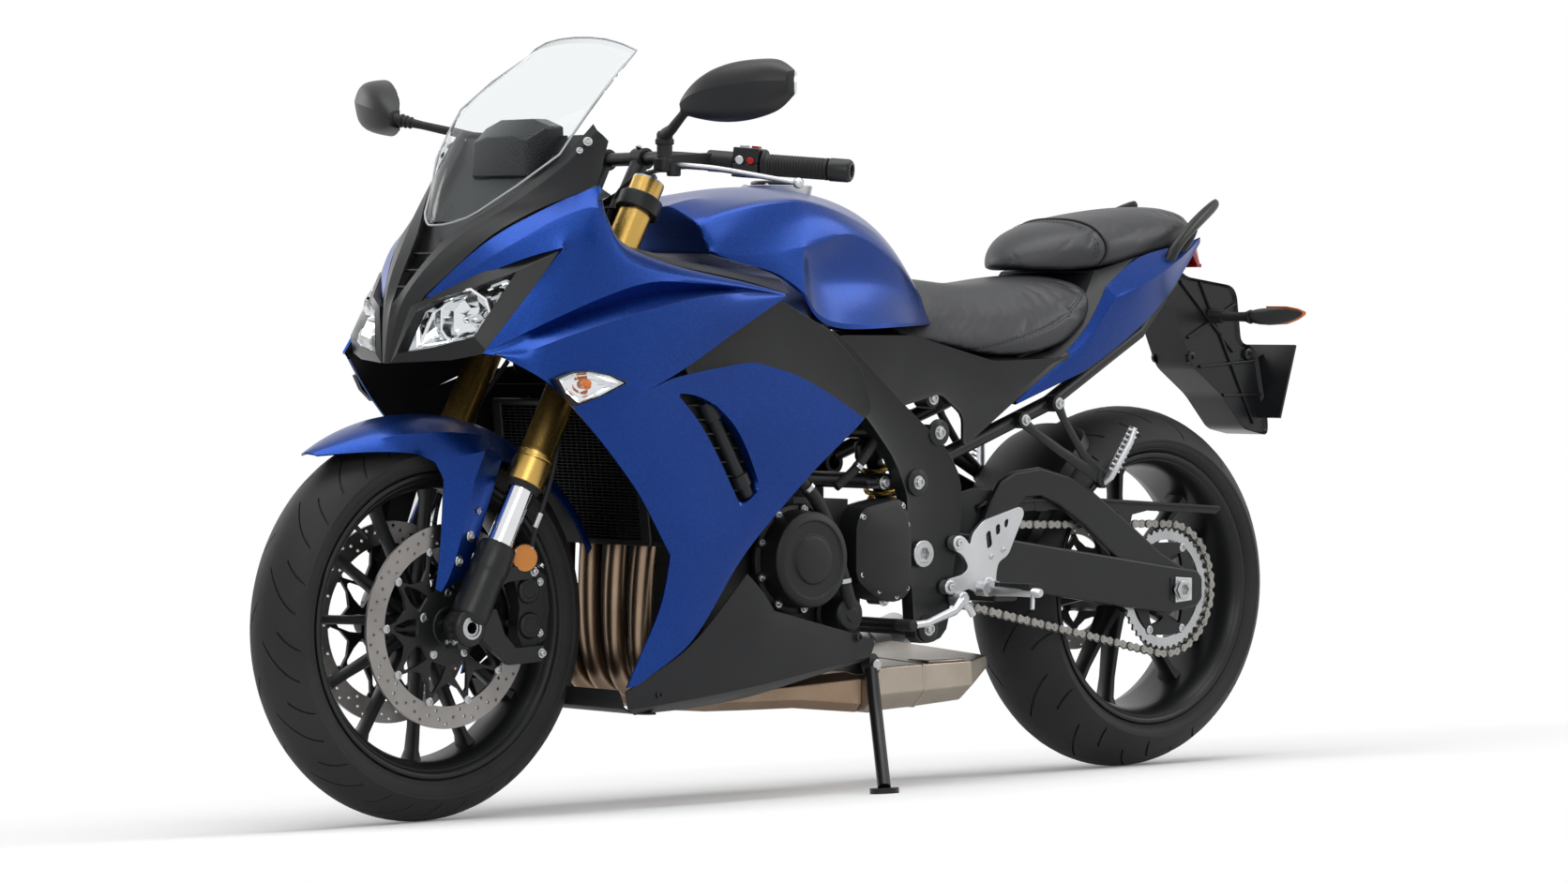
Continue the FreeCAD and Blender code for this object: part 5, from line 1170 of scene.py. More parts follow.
for z in (286, 364):
    boltMesh(bm, (1377, 104, z), (0, 1, 0), 4.2, 4)
for x, z in ((1362, 350), (1362, 300)):
    rodMesh(bm, (x, 60, z), (x, 96, z), 3.2, sides=14)
addPair("caliperScrews", bm, "steering", "zincPlate")

# round reflector on its stay behind each leg
bm = bmesh.new()
place = facing((1418, 116, 402), (0.25, 1, 0.02))
turnedMesh(bm, [(0, 20.5), (3, 20.5), (4.4, 18.5), (5, 12), (5.2, 0)], place, sides=36)
addPair("reflectors", bm, "steering", "orangeReflex")
bm = bmesh.new()
turnedMesh(bm, [(-3, 0), (-3, 20), (-2, 22), (2.4, 22), (3, 21), (3, 19)], place, sides=36)
plateMesh(bm, [(1444, 404), (1444, 392), (1418, 390), (1418, 414)], [], 108, 112)
addPair("reflectorStays", bm, "steering", "smoothAbs", bevel=0.5)
for side in (-1, 1):
    tubeAlong("brakeHose" + "LR"[side < 0], [(x, side * y, z) for x, y, z in (
        (1400, 104, 384), (1408, 120, 424), (1396, 128, 470), (1372, 128, 530), (1352, 120, 590), (1330, 96, 640),
        (1300, 70, 700))], 4.0, "steering", "gripRubber")
bm = bmesh.new()
for a, b, r in (((1404, 112, 398), (1407, 119, 420), 5.2), ((1404, 124, 448), (1396, 128, 470), 5.0)):
    rodMesh(bm, a, b, r, sides=18)
addPair("hoseFittings", bm, "steering", "zincPlate", bevel=0.5)

# front indicators: clear cover over an amber bulb in a dark frame
signal = [(1465, 246, 675), (1440, 252, 684), (1411, 259, 686), (1376, 264, 680), (1348, 266, 669), (1392, 262, 650),
          (1429, 252, 637), (1452, 248, 654)]
bm = dishMesh(signal, [(-0.07, 0, -6), (-0.07, 0, 3), (-0.01, 0, 4.5), (0.04, 0, -9)])
addPair("signalFrames", bm, "chassis", "smoothAbs", bevel=0.6)
bm = dishMesh(signal, [(-0.02, 0, 1), (0.05, 0, 5), (0.4, 0, 7.5), (0.75, 0, 8.5)])
addPair("signalLenses", bm, "chassis", "clearLens", ["front_indicators"], thick=1.2)
bm = dishMesh(signal, [(0.05, 0, 3), (0.12, 0, -2), (0.3, 0, -5), (0.34, 0, -4), (0.6, 0, -7)])
addPair("signalDishes", bm, "chassis", "silveredBowl", sharp=8)
bm = bmesh.new()
middle = sum((Vector(p) for p in signal), Vector()) / len(signal)
turnedMesh(bm, [(-9, 7), (2, 8), (5, 5), (6, 0)], facing(middle, (0.3, 1, 0.1)), sides=24)
addPair("signalBulbs", bm, "chassis", "amberLens")
print("front end built")


# ---- swingarm
def slab(bm, outline, y0, y1, holes=()):
    plateMesh(bm, list(outline), [list(h) for h in holes], y0, y1)


swing = {
    "beam": [(648, 370), (630, 352), (600, 350), (420, 326), (162, 290), (24, 272), (-44, 280), (-56, 292), (-56, 332),
             (-46, 342), (30, 353), (225, 381), (463, 415), (600, 428), (636, 426), (656, 408), (660, 386)],
    "brace": [(474, 412), (446, 470), (422, 502), (392, 517), (330, 524), (262, 508), (214, 488), (112, 424), (37, 374),
              (-28, 344), (-30, 330), (-4, 328), (60, 344), (140, 362), (224, 424), (286, 460), (330, 476), (366, 474),
              (390, 452), (420, 402)],
    "slot": [(-40, 326), (-40, 298), (24, 292), (24, 332)],
}
bm = bmesh.new()
slab(bm, swing["beam"], 125, 146)
slab(bm, swing["brace"], 124, 140)
addPair("swingarmSides", bm, "chassis", "powderCoat", ["swingarm"], bevel=5.0, sharp=40)
bm = bmesh.new()
pivotX, pivotZ = 640, 390
place = leftward(pivotX, 0, pivotZ)
turnedMesh(bm, [(-149, 14), (-149, 24), (149, 24), (149, 14)], place, sides=40)
boxMesh(bm, 372, 428, -130, 130, 302, 374)
boxMesh(bm, 380, 640, -30, 30, 372, 398)
addPiece("swingarmBridge", bm, "chassis", "powderCoat", bevel=6.0, sharp=40)
bm = bmesh.new()
slab(bm, swing["slot"], 144, 147.5)
addPair("adjusterSlots", bm, "chassis", "smoothAbs", bevel=0.6, slot="black_coat")
bm = bmesh.new()
slab(bm, [(-26, 330), (-26, 292), (14, 289), (14, 333)], 145, 150.5)
addPair("adjusterBlocks", bm, "chassis", "satinAlloy", bevel=1.2, slot="chrome_tube")
bm = bmesh.new()
place = leftward(0, 0, rearTyreR)
turnedMesh(bm, [(-154, 9), (-154, 13), (-153, 14), (153, 14), (154, 13), (154, 9), (-154, 9)], place, sides=40)
for side in (-1, 1):
    turnedMesh(bm, [(0, 13), (0, 20), (1.6, 20), (1.8, 17.5), (7, 17.5), (8, 16), (8, 10), (0, 10)],
               facing((0, side * 150.5, rearTyreR), (0, side, 0)), sides=6)
    rodMesh(bm, (-30, side * 136, 311), (-62, side * 136, 311), 4.5, sides=6)
    turnedMesh(bm, [(0, 13), (3, 22), (4.4, 21), (4.4, 12), (1, 10), (1, 0)],
               facing((pivotX, side * 178, pivotZ), (0, side, 0)), sides=40)
addPiece("rearSpindle", bm, "chassis", "zincPlate", ["rear_axle"], bevel=0.4)

# ---- chain and sprocket
drive = {"big": 111.0, "small": 43.0, "x": 715.0, "z": 392.0, "y": 110.0, "links": 114}
along = math.atan2(drive["z"] - rearTyreR, drive["x"])
gap = math.hypot(drive["x"], drive["z"] - rearTyreR)
wrap = math.acos((drive["big"] - drive["small"]) / gap)
path = []
for i in range(49):
    turn = along + wrap + (math.tau - 2 * wrap) * i / 48
    path.append((drive["big"] * math.cos(turn), rearTyreR + drive["big"] * math.sin(turn)))
for i in range(25):
    turn = along - wrap + 2 * wrap * i / 24
    path.append((drive["x"] + drive["small"] * math.cos(turn), drive["z"] + drive["small"] * math.sin(turn)))
path = [Vector((x, drive["y"], z)) for x, z in path]
loop = path + path[:1]
total = sum((b - a).length for a, b in zip(loop, loop[1:]))


def onLoop(distance):
    # the point at a distance along the loop
    distance %= total
    for a, b in zip(loop, loop[1:]):
        span = (b - a).length
        if distance <= span:
            return a.lerp(b, distance / span)
        distance -= span
    return loop[0]


bm = bmesh.new()
pitch = total / drive["links"]
for i in range(drive["links"]):
    a, b = onLoop(i * pitch), onLoop((i + 1) * pitch)
    ahead = (b - a).normalized()
    up = ahead.cross(Vector((0, 1, 0)))
    wide = 6.6 if i % 2 else 3.9
    for side in (-1, 1):
        rings = []
        for y in (wide, wide + 1.9):
            rings.append([(a.lerp(b, 0.5) + ahead * u + up * v + Vector((0, side * y, 0))) for u, v in (
                (-14.5, 0), (-12.5, 5), (-8, 6.8), (-4, 5), (0, 3.6), (4, 5), (8, 6.8), (12.5, 5), (14.5, 0),
                (12.5, -5), (8, -6.8), (4, -5), (0, -3.6), (-4, -5), (-8, -6.8), (-12.5, -5))])
        formInto(bm, rings)
    rodMesh(bm, a - Vector((0, 9.2, 0)), a + Vector((0, 9.2, 0)), 2.6, sides=8)
    rodMesh(bm, a - Vector((0, 3.6, 0)), a + Vector((0, 3.6, 0)), 5.0, sides=10, caps=False)
addPiece("driveChain", bm, "chassis", "oiledSteel", ["chain"])

toothCount = 44
teeth = []
for i in range(toothCount):
    for part, r in ((-0.32, 99.5), (-0.12, 103.6), (0.12, 103.6), (0.32, 99.5), (0.5, 98.2)):
        turn = (i + part) * math.tau / toothCount
        teeth.append((r * math.cos(turn), rearTyreR + r * math.sin(turn)))
bm = bmesh.new()
plateMesh(bm, teeth, [ringPoints(0, rearTyreR, 84, 60)], 107.4, 112.6)
addPiece("sprocketTeeth", bm, "rear_wheel", "machinedAlloy", ["rear_sprocket"], bevel=0.5, sharp=40, slot="disc_steel")
bm = bmesh.new()
carrier = {"in": 86, "waist": 76, "hub": 44, "bore": 30, "arms": 6}
carrierMesh(bm, 0, rearTyreR, carrier, 106.6, 113.4)
turnedMesh(bm, [(104, 20), (104, 46), (113, 44), (118, 36), (118, 20)], leftward(0, 0, rearTyreR), sides=48)
addPiece("sprocketCarrier", bm, "rear_wheel", "powderCoat", bevel=0.6, sharp=40)
bm = bmesh.new()
fastenersInto(bm, 0, rearTyreR, 113.4, 80, 6, 0, 7.4, 1)
addPiece("sprocketNuts", bm, "rear_wheel", "zincPlate")

# ---- hugger and chain guard
huggerR, huggerHalf = rearTyreR + 14, 98
rows = []
for degrees, wide in ((12, 60), (17, 88), (26, 96), (37, 98), (48, 98), (56, 92), (60, 70)):
    turn = math.radians(degrees)
    rows.append([((huggerR - drop) * math.cos(turn), y * wide / huggerHalf,
                  rearTyreR + (huggerR - drop) * math.sin(turn))
                 for y, drop in ((-98, 30), (-95, 10), (-60, 0), (0, -3), (60, 0), (95, 10), (98, 30))])
bm, grid = sheetOf(rows)
crease(bm, [[row[i] for row in grid] for i in (1, 5)], 0.7)
addPiece("hugger", bm, "chassis", "texturedAbs", ["rear_hugger"], subdivide=2, thick=3.2, bevel=0.8, sharp=16)
bm = bmesh.new()
slab(bm, [(470, 448), (476, 464), (452, 470), (250, 474), (-112, 451), (-122, 444), (-112, 437), (60, 446), (96, 440),
          (110, 396), (124, 396), (132, 444), (250, 453)], 122, 126)
slab(bm, [(470, 458), (452, 470), (250, 474), (-112, 451), (-120, 446), (250, 468), (450, 463)], 100, 132)
slab(bm, [(300, 500), (300, 450), (330, 450), (334, 500)], 121, 127)
slab(bm, [(560, 452), (556, 420), (470, 410), (420, 424), (402, 470), (414, 486), (470, 492), (545, 478)], 121, 126)
addPiece("chainGuard", bm, "chassis", "texturedAbs", bevel=1.6, sharp=40)

# rear caliper and its stay
bm = bmesh.new()
for y0, y1 in ((-127, -112.5), (-101, -88)):
    slab(bm, [(36, 404), (60, 392), (92, 372), (118, 360), (146, 382), (150, 394), (112, 418), (72, 436), (52, 430)],
         y0, y1)
slab(bm, [(52, 436), (72, 442), (118, 422), (154, 398), (150, 392), (112, 412), (70, 432)], -126, -90)
slab(bm, [(100, 392), (148, 340), (186, 342), (188, 350), (152, 398)], -125, -115)
for x, z in ((78, 404), (112, 388)):
    turnedMesh(bm, [(0, 15), (3, 14), (4, 11), (4, 0)], facing((x, -127, z), (0, -1, 0)), sides=30)
addPiece("rearCaliper", bm, "chassis", "castCase", ["rear_caliper"], bevel=2.4, sharp=36, slot="black_coat")
bm = bmesh.new()
for x, z in ((58, 420), (138, 382), (180, 345)):
    boltMesh(bm, (x, -127, z), (0, -1, 0), 4.5, 4)
addPiece("rearCaliperScrews", bm, "chassis", "zincPlate")

# rear shock: damper body and wound spring
bm = bmesh.new()
low, high = Vector((530, 0, 398)), Vector((596, 0, 576))
ahead = (high - low).normalized()
turnedMesh(bm, [(0, 12), (4, 20), (20, 22), (22, 27), (26, 27), (26, 15), (70, 14), (150, 14), (152, 28), (160, 29),
                (182, 24), (188, 12)], facing(low, ahead), sides=40)
addPiece("shockBody", bm, "chassis", "powderCoat", ["rear_shock"])
across = ahead.cross(Vector((0, 1, 0)))
coilFoot, coilHigh, coilR, coilSteps, stepsPerTurn = 30, 118, 25, 96, 16
coil = []
for i in range(coilSteps + 1):
    turn = math.tau * i / stepsPerTurn
    coil.append(low + ahead * (coilFoot + coilHigh * i / coilSteps) +
                (across * math.cos(turn) + Vector((0, 1, 0)) * math.sin(turn)) * coilR)
tubeAlong("shockSpring", coil, 4.6, "chassis", "goldAnodised", smooth=False, slot="black_coat")
print("rear end built")


# ---- frame
def rounded(outline, reach):
    # the outline with its corners rounded over a reach
    result = []
    for i, here in enumerate(outline):
        here, before, after = Vector(here), Vector(outline[i - 1]), Vector(outline[(i + 1) % len(outline)])
        ends = [here + (p - here).normalized() * min(reach, (p - here).length / 2.2) for p in (before, after)]
        result += [tuple(ends[0] * (1 - t) ** 2 + here * 2 * t * (1 - t) + ends[1] * t * t) for t in (0, 0.3, 0.7, 1)]
    return result


def sink(bm, y, rim, depth):
    # insets the flat face at y and pushes it in
    faces = [f for f in bm.faces if all(abs(v.co.y - y) < 0.01 for v in f.verts)]
    bmesh.ops.inset_region(bm, faces=faces, thickness=rim, depth=-depth, use_even_offset=True)


chassis = {
    "spar": [(1050, 826), (908, 775), (817, 740), (683, 632), (588, 562), (552, 512), (552, 436), (568, 372),
             (584, 252), (655, 240), (664, 345), (690, 420), (668, 470), (700, 540), (755, 600), (848, 690),
             (944, 730), (1050, 757)],
    "mounts": [(650, 505), (625, 268), (603, 585)],
}
bm = bmesh.new()
slab(bm, rounded(chassis["spar"], 30), 152, 178)
sink(bm, 178, 7, 3)
for x, z in chassis["mounts"] + [(640, 390)]:
    turnedMesh(bm, [(0, 22), (4.5, 22), (5, 21), (5, 0)], leftward(x, 173.5, z), sides=36)
addPair("frameSpars", bm, "chassis", "powderCoat", ["frame"], bevel=3.0, sharp=36)
bm, grid = bodyOf([[(1046, 152, 760), (1046, 178, 764), (1046, 178, 822), (1046, 152, 824)],
                   [(1100, 118, 782), (1100, 150, 788), (1100, 150, 836), (1100, 118, 836)],
                   [(1160, 60, 800), (1160, 96, 806), (1160, 96, 856), (1160, 60, 858)],
                   [(1204, 4, 804), (1206, 36, 808), (1200, 36, 868), (1196, 4, 870)]])
addPair("frameArms", bm, "chassis", "powderCoat", bevel=5, sharp=30)
bm = bmesh.new()
place = facing(forkPoint(557, -38, 0), forkPoint(706, -38, 0) - forkPoint(557, -38, 0))
turnedMesh(bm, [(0, 24), (0, 32), (12, 34), (14, 30), (135, 30), (137, 34), (149, 32), (149, 24)], place)
for x, z in chassis["mounts"]:
    rodMesh(bm, (x, -176, z), (x, 176, z), 13)
rodMesh(bm, (pivotX, -180, pivotZ), (pivotX, 180, pivotZ), 12)
addPiece("headTube", bm, "chassis", "powderCoat", bevel=0.6, sharp=40)
bm = bmesh.new()
for x, z in chassis["mounts"]:
    boltMesh(bm, (x, 178.5, z), (0, 1, 0), 7.5, 7)
for x, z in ((699, 505), (699, 317)):
    boltMesh(bm, (x, 150, z), (0, 1, 0), 7.5, 7)
    rodMesh(bm, (x, 118, z), (x, 151, z), 9, sides=20)
boltMesh(bm, (1020, 176, 790), (0, 1, 0), 6, 5)
turnedMesh(bm, [(0, 17), (4, 17), (5, 15.5), (5, 11), (1.5, 10), (1.5, 0)], leftward(pivotX, 178.5, pivotZ), sides=6)
addPair("frameBolts", bm, "chassis", "zincPlate")

# engine covers: stepped rounds with their screws, and the sprocket cover with a raised field
bm = bmesh.new()
drum = [(0, 86), (8, 86), (10, 78), (46, 76), (50, 72), (52, 62), (49, 60), (49, 40), (53, 37), (55, 30), (55, 0)]
turnedMesh(bm, drum, leftward(899, 150, 388), sides=64)
for i in range(9):
    turn = math.radians(20 + 40 * i)
    rodMesh(bm, (899 + 80 * math.cos(turn), 141, 388 + 80 * math.sin(turn)), (899 + 80 * math.cos(turn), 163, 388 +
            80 * math.sin(turn)), 9, sides=14)
turnedMesh(bm, [(h * 1.1, r * 1.12) for h, r in drum], facing((850, -145, 360), (0, -1, 0)), sides=64)
turnedMesh(bm, [(0, 36), (6, 36), (8, 29), (44, 28), (48, 24), (49, 12), (51, 10), (51, 0)],
           leftward(806, 140, 298), sides=40)
cover = rounded([(790, 440), (776, 466), (690, 482), (668, 440), (668, 330), (700, 312), (745, 322), (790, 352)], 16)
slab(bm, cover, 122, 182)
sink(bm, 182, 12, -6)
for y0, y1 in ((136, 142), (-142, -136)):
    slab(bm, rounded([(1000, 470), (1090, 440), (1126, 548), (1100, 628), (985, 646), (940, 560)], 24), y0, y1)
    for i in range(7):
        a, b = Vector((910 + 27 * i, 0, 470 - 9 * i)), Vector((934 + 27 * i, 0, 612 - 3 * i))
        rodMesh(bm, (a.x, y1 if y1 > 0 else y0, a.z), (b.x, y1 if y1 > 0 else y0, b.z), 4, sides=8)
addPiece("engineCovers", bm, "chassis", "castCase", ["engine_covers"], bevel=1.4, sharp=36)
bm = bmesh.new()
for i in range(9):
    turn = math.radians(20 + 40 * i)
    boltMesh(bm, (899 + 80 * math.cos(turn), 163, 388 + 80 * math.sin(turn)), (0, 1, 0), 4.4, 4.5)
    boltMesh(bm, (850 + 90 * math.cos(turn), -157, 360 + 90 * math.sin(turn)), (0, -1, 0), 4.4, 4.5)
for x, z in ((777, 452), (690, 468), (680, 438), (680, 336), (704, 323), (742, 333), (779, 360)):
    boltMesh(bm, (x, 182, z), (0, 1, 0), 4.2, 4.5)
for i in range(3):
    turn = math.radians(40 + 120 * i)
    boltMesh(bm, (806 + 31 * math.cos(turn), 148, 298 + 31 * math.sin(turn)), (0, 1, 0), 3.4, 4)
addPiece("coverScrews", bm, "chassis", "zincPlate")

# radiator: finned core between two end tanks
core = {"y": 158, "low": 424, "high": 634, "step": 5.0, "tilt": 26 / 220}
bm = bmesh.new()
for i in range(int((core["high"] - core["low"]) / core["step"])):
    z = core["low"] + i * core["step"]
    x = 1190 + (z - 420) * core["tilt"]
    boxMesh(bm, x + 2, x + 28, -core["y"], core["y"], z, z + 1.2)
for i in range(25):
    y = -core["y"] + i * core["y"] / 12
    made = boxMesh(bm, 1196, 1212, y - 1.2, y + 1.2, core["low"], core["high"])
    for vert in made:
        vert.co.x += (vert.co.z - 420) * core["tilt"]
addPiece("radiatorFins", bm, "chassis", "radiatorCore", ["radiator"])
bm = bmesh.new()
for y0, y1, z0, z1 in ((156, 180, 420, 638), (-180, -156, 420, 638), (-178, 178, 416, 426), (-178, 178, 630, 640)):
    made = boxMesh(bm, 1188, 1220, y0, y1, z0, z1)
    for vert in made:
        vert.co.x += (vert.co.z - 420) * core["tilt"]
rodMesh(bm, (1200, 168, 620), (1150, 150, 640), 15)
rodMesh(bm, (1200, -168, 440), (1130, -150, 430), 15)
boxMesh(bm, 1118, 1222, -70, 70, 586, 596)
addPiece("radiatorTanks", bm, "chassis", "powderCoat", bevel=3.5, sharp=40)

# exhaust: four pipes, collector, box and its tailpipe
for i, y in enumerate((-105, -35, 35, 105)):
    tubeAlong("headerPipe%d" % i, [(1128, y, 548), (1146, y * 0.98, 505), (1156, y * 0.96, 450), (1163, y * 0.92, 390),
                                   (1166, y * 0.89, 320), (1162, y * 0.85, 250), (1146, y * 0.77, 198),
                                   (1104, y * 0.68, 174), (1056, y * 0.6, 168)], 18.5, "chassis", "heatedSteel")
bm = bmesh.new()
for y in (-105, -35, 35, 105):
    turnedMesh(bm, [(0, 18), (0, 26), (7, 27), (9, 24), (9, 18)], facing((1124, y, 548), (0.4, 0, -0.9)), sides=30)
    for side in (-1, 1):
        rodMesh(bm, (1122, y + side * 27, 552), (1132, y + side * 27, 530), 5, sides=6)
rings = []
for x, left, right, low, high in ((1085, 86, -86, 152, 192), (1010, 84, -84, 146, 190), (910, 64, -64, 142, 188),
                                  (800, 60, -62, 140, 190), (690, 90, -110, 130, 198)):
    rings.append([(x, y, z) for y, z in ((right, low + 14), (right + 14, low), (left - 14, low), (left, low + 14),
                                         (left, high - 14), (left - 14, high), (right + 14, high), (right, high - 14))])
box, grid = bodyOf(rings)
joinMesh(bm, box)
addPiece("collector", bm, "chassis", "heatedSteel", ["exhaust_headers"], bevel=4, sharp=30)
boxRings = {
    690: [(-150, 160), (-120, 131), (95, 131), (121, 160), (117, 204), (-140, 213)],
    580: [(-155, 162), (-122, 134), (93, 135), (121, 163), (117, 206), (-145, 218)],
    470: [(-159, 165), (-125, 139), (90, 141), (121, 167), (117, 207), (-150, 221)],
    402: [(-150, 190), (-120, 166), (70, 179), (89, 195), (84, 212), (-140, 225)],
}
bm, grid = bodyOf([[(x, *p) for p in ring] for x, ring in boxRings.items()])
for x, grow in ((676, 1.006), (574, 1.012)):
    band = [[(at, y * grow, 176 + (z - 176) * (grow + 0.02)) for y, z in boxRings[690 if x > 600 else 580]]
            for at in (x, x + 7)]
    formInto(bm, band)
boxMesh(bm, 478, 560, 60, 112, 206, 211)
addPiece("silencerBox", bm, "chassis", "brushedSteel", ["silencer"], bevel=4, sharp=22)
bm = bmesh.new()
place = facing((560, -150, 190), (-160, -40, 28))
turnedMesh(bm, [(0, 30), (6, 40), (60, 42), (110, 42), (112, 43.5), (118, 43.5), (120, 42), (166, 40), (170, 34),
                (172, 32)], place, sides=56)
place = facing((470, -178, 205), (-140, -27, 30))
turnedMesh(bm, [(60, 20), (60, 30), (100, 33), (143, 34), (145.5, 32.5), (145.5, 28), (143, 27), (90, 26), (90, 0)],
           place, sides=56)
addPiece("tailPipe", bm, "chassis", "satinAlloy", bevel=0.5, slot="exhaust_steel")

# covers over the frame and the dark infill under the wing
bm = bmesh.new()
slab(bm, rounded([(812, 730), (806, 742), (640, 742), (455, 700), (300, 706), (272, 716), (404, 638), (528, 558),
                  (528, 612), (580, 648), (664, 628), (676, 622)], 14), 150, 156)
sink(bm, 156, 8, 2)
addPair("sideCovers", bm, "chassis", "texturedAbs", ["side_covers"], bevel=1.4, sharp=36)
bm = bmesh.new()
slab(bm, rounded([(1180, 742), (1060, 770), (985, 798), (880, 752), (806, 690), (780, 622), (815, 600), (940, 664),
                  (1060, 688), (1176, 676)], 16), 206, 210)
sink(bm, 210, 9, 2)
addPair("wingInfill", bm, "chassis", "texturedAbs", bevel=1.2, sharp=36)
print("engine and frame built")


# ---- seats
seat = {
    "rider": {
        616: [(0, 812), (30, 808), (52, 796), (70, 764), (70, 748)],
        600: [(0, 828), (38, 824), (68, 800), (88, 752), (88, 736)],
        540: [(0, 838), (62, 830), (104, 792), (128, 742), (128, 726)],
        460: [(0, 820), (90, 812), (132, 780), (150, 724), (144, 708)],
        380: [(0, 822), (110, 816), (152, 782), (160, 722), (150, 706)],
        290: [(0, 836), (122, 830), (156, 790), (158, 740), (146, 722)],
        215: [(0, 843), (118, 838), (142, 812), (142, 772), (130, 758)],
        196: [(0, 838), (110, 832), (128, 806), (128, 784), (118, 770)],
    },
    "pillion": {
        300: [(0, 872), (10, 870), (14, 867), (16, 861), (12, 857)],
        284: [(0, 898), (30, 892), (46, 878), (50, 864), (46, 855)],
        248: [(0, 924), (56, 914), (78, 892), (84, 866), (78, 852)],
        200: [(0, 938), (80, 928), (108, 900), (112, 868), (104, 852)],
        140: [(0, 950), (94, 940), (126, 906), (126, 872), (116, 860)],
        40: [(0, 964), (88, 954), (114, 924), (112, 890), (104, 880)],
        -80: [(0, 970), (70, 960), (90, 936), (90, 908), (84, 900)],
        -128: [(0, 958), (44, 948), (62, 930), (64, 920), (58, 914)],
    },
    "riderSeams": [[(484, 150, 713), (401, 158, 737), (324, 158, 760), (274, 154, 783), (239, 145, 808),
                    (212, 132, 832)]],
    "pillionSeams": [[(164, 116, 858), (154, 126, 884), (158, 112, 920), (168, 60, 944), (174, 0, 948)]],
    "voxel": 5.0, "pressure": 4.0, "steps": 20, "cap": 12.0, "shrink": 0.975, "groove": 1.8, "stitch": 3.4,
    # a vertex is held below this share of upward facing; the groove's reach and half width; the thread's lift and
    # radius are in metres
    "held": -0.25, "reach": 9, "wide": 2.6, "lift": 0.0003, "thread": 0.0005,
}


def padBody(sections):
    # the foam's form through half sections, a little smaller than the finished pad
    rings = []
    for x, half in sections.items():
        middle = sum(z for _, z in half) / len(half)
        half = [(y * seat["shrink"], middle + (z - middle) * seat["shrink"]) for y, z in half]
        rings.append([(x, *half[0])] + [(x, *p) for p in half[1:]] + [(x, 0, half[-1][1])] +
                     [(x, -y, z) for y, z in reversed(half[1:])])
    bm, grid = bodyOf(rings)
    crease(bm, [column(grid, 4), column(grid, 6)], 0.5)
    crease(bm, [column(grid, 2), column(grid, 8)], 0.25)
    return bm


def bake(piece):
    # the piece's mesh as its modifiers leave it
    mesh = bpy.data.meshes.new_from_object(piece.evaluated_get(bpy.context.evaluated_depsgraph_get()))
    piece.modifiers.clear()
    piece.data = mesh
    for polygon in mesh.polygons:
        polygon.use_smooth = True
    return mesh


def inflate(piece):
    # stretches the cover over its foam: cloth under pressure, held along its underside
    even = piece.modifiers.new("even", "REMESH")
    even.mode = "VOXEL"
    even.voxel_size = seat["voxel"] / 1000
    mesh = bake(piece)
    before = [v.co.copy() for v in mesh.vertices]
    held = piece.vertex_groups.new(name="held")
    upward = leanOnly.to_3x3().normalized() @ Vector((0, 0, 1))
    held.add([v.index for v in mesh.vertices if v.normal.dot(upward) < seat["held"]], 1.0, "REPLACE")
    cloth = piece.modifiers.new("cover", "CLOTH")
    cloth.settings.use_pressure = True
    cloth.settings.uniform_pressure_force = seat["pressure"]
    cloth.settings.vertex_group_mass = "held"
    cloth.settings.effector_weights.gravity = 0
    cloth.point_cache.frame_end = seat["steps"]
    for step in range(1, seat["steps"] + 1):
        bpy.context.scene.frame_set(step)
    mesh = bake(piece)
    cap = seat["cap"] / 1000
    for vert, start in zip(mesh.vertices, before):
        move = vert.co - start
        if move.length > 1e-6:
            vert.co = start + move.normalized() * cap * math.tanh(move.length / cap)
    piece.vertex_groups.clear()
    bpy.context.scene.frame_set(1)
    finer = piece.modifiers.new("finer", "SUBSURF")
    finer.levels = finer.render_levels = 1
    bake(piece)


def seamLine(piece, points, count=90):
    # the seam's points drawn smooth and laid on the cover, with the surface's normal at each
    tree = BVHTree.FromPolygons([v.co for v in piece.data.vertices], [p.vertices[:] for p in piece.data.polygons])
    points = [Vector(p) for p in points]
    found = []
    for i in range(count + 1):
        at = i / count * (len(points) - 1)
        k = min(int(at), len(points) - 2)
        t = at - k
        a, b, c, d = (points[max(min(j, len(points) - 1), 0)] for j in (k - 1, k, k + 1, k + 2))
        point = 0.5 * (2 * b + (c - a) * t + (2 * a - 5 * b + 4 * c - d) * t * t + (3 * b - a - 3 * c + d) * t ** 3)
        place, normal, _, _ = tree.find_nearest(standing @ point)
        found.append((place, normal))
    return found


def sewSeams(piece, lines, offsets):
    # presses a groove along each line and sews a row of stitches at each offset beside it
    tree = KDTree(sum(len(line) for line in lines))
    for i, (place, _) in enumerate(p for line in lines for p in line):
        tree.insert(place, i)
    tree.balance()
    for vert in piece.data.vertices:
        away = tree.find(vert.co)[2] * 1000
        if away < seat["reach"]:
            vert.co -= vert.normal * seat["groove"] / 1000 * math.exp(-(away / seat["wide"]) ** 2)
    bm = bmesh.new()
    for line in lines:
        for offset in offsets:
            shifted = []
            for (a, normal), (b, _) in zip(line, line[1:]):
                shifted.append(a + (b - a).normalized().cross(normal) * offset / 1000 + normal * seat["lift"])
            walked = 0.0
            for a, b in zip(shifted, shifted[1:]):
                walked += (b - a).length * 1000
                if walked > seat["stitch"] * 1.5 and (b - a).length > 1e-5:
                    walked = 0.0
                    ahead = (b - a).normalized() * seat["stitch"] / 2000
                    rodMesh(bm, a - ahead, a + ahead, seat["thread"], sides=5)
    bmesh.ops.transform(bm, matrix=standing.inverted(), verts=bm.verts[:])
    addPiece(piece.name + "Stitches", bm, "chassis", "threadPolyester")


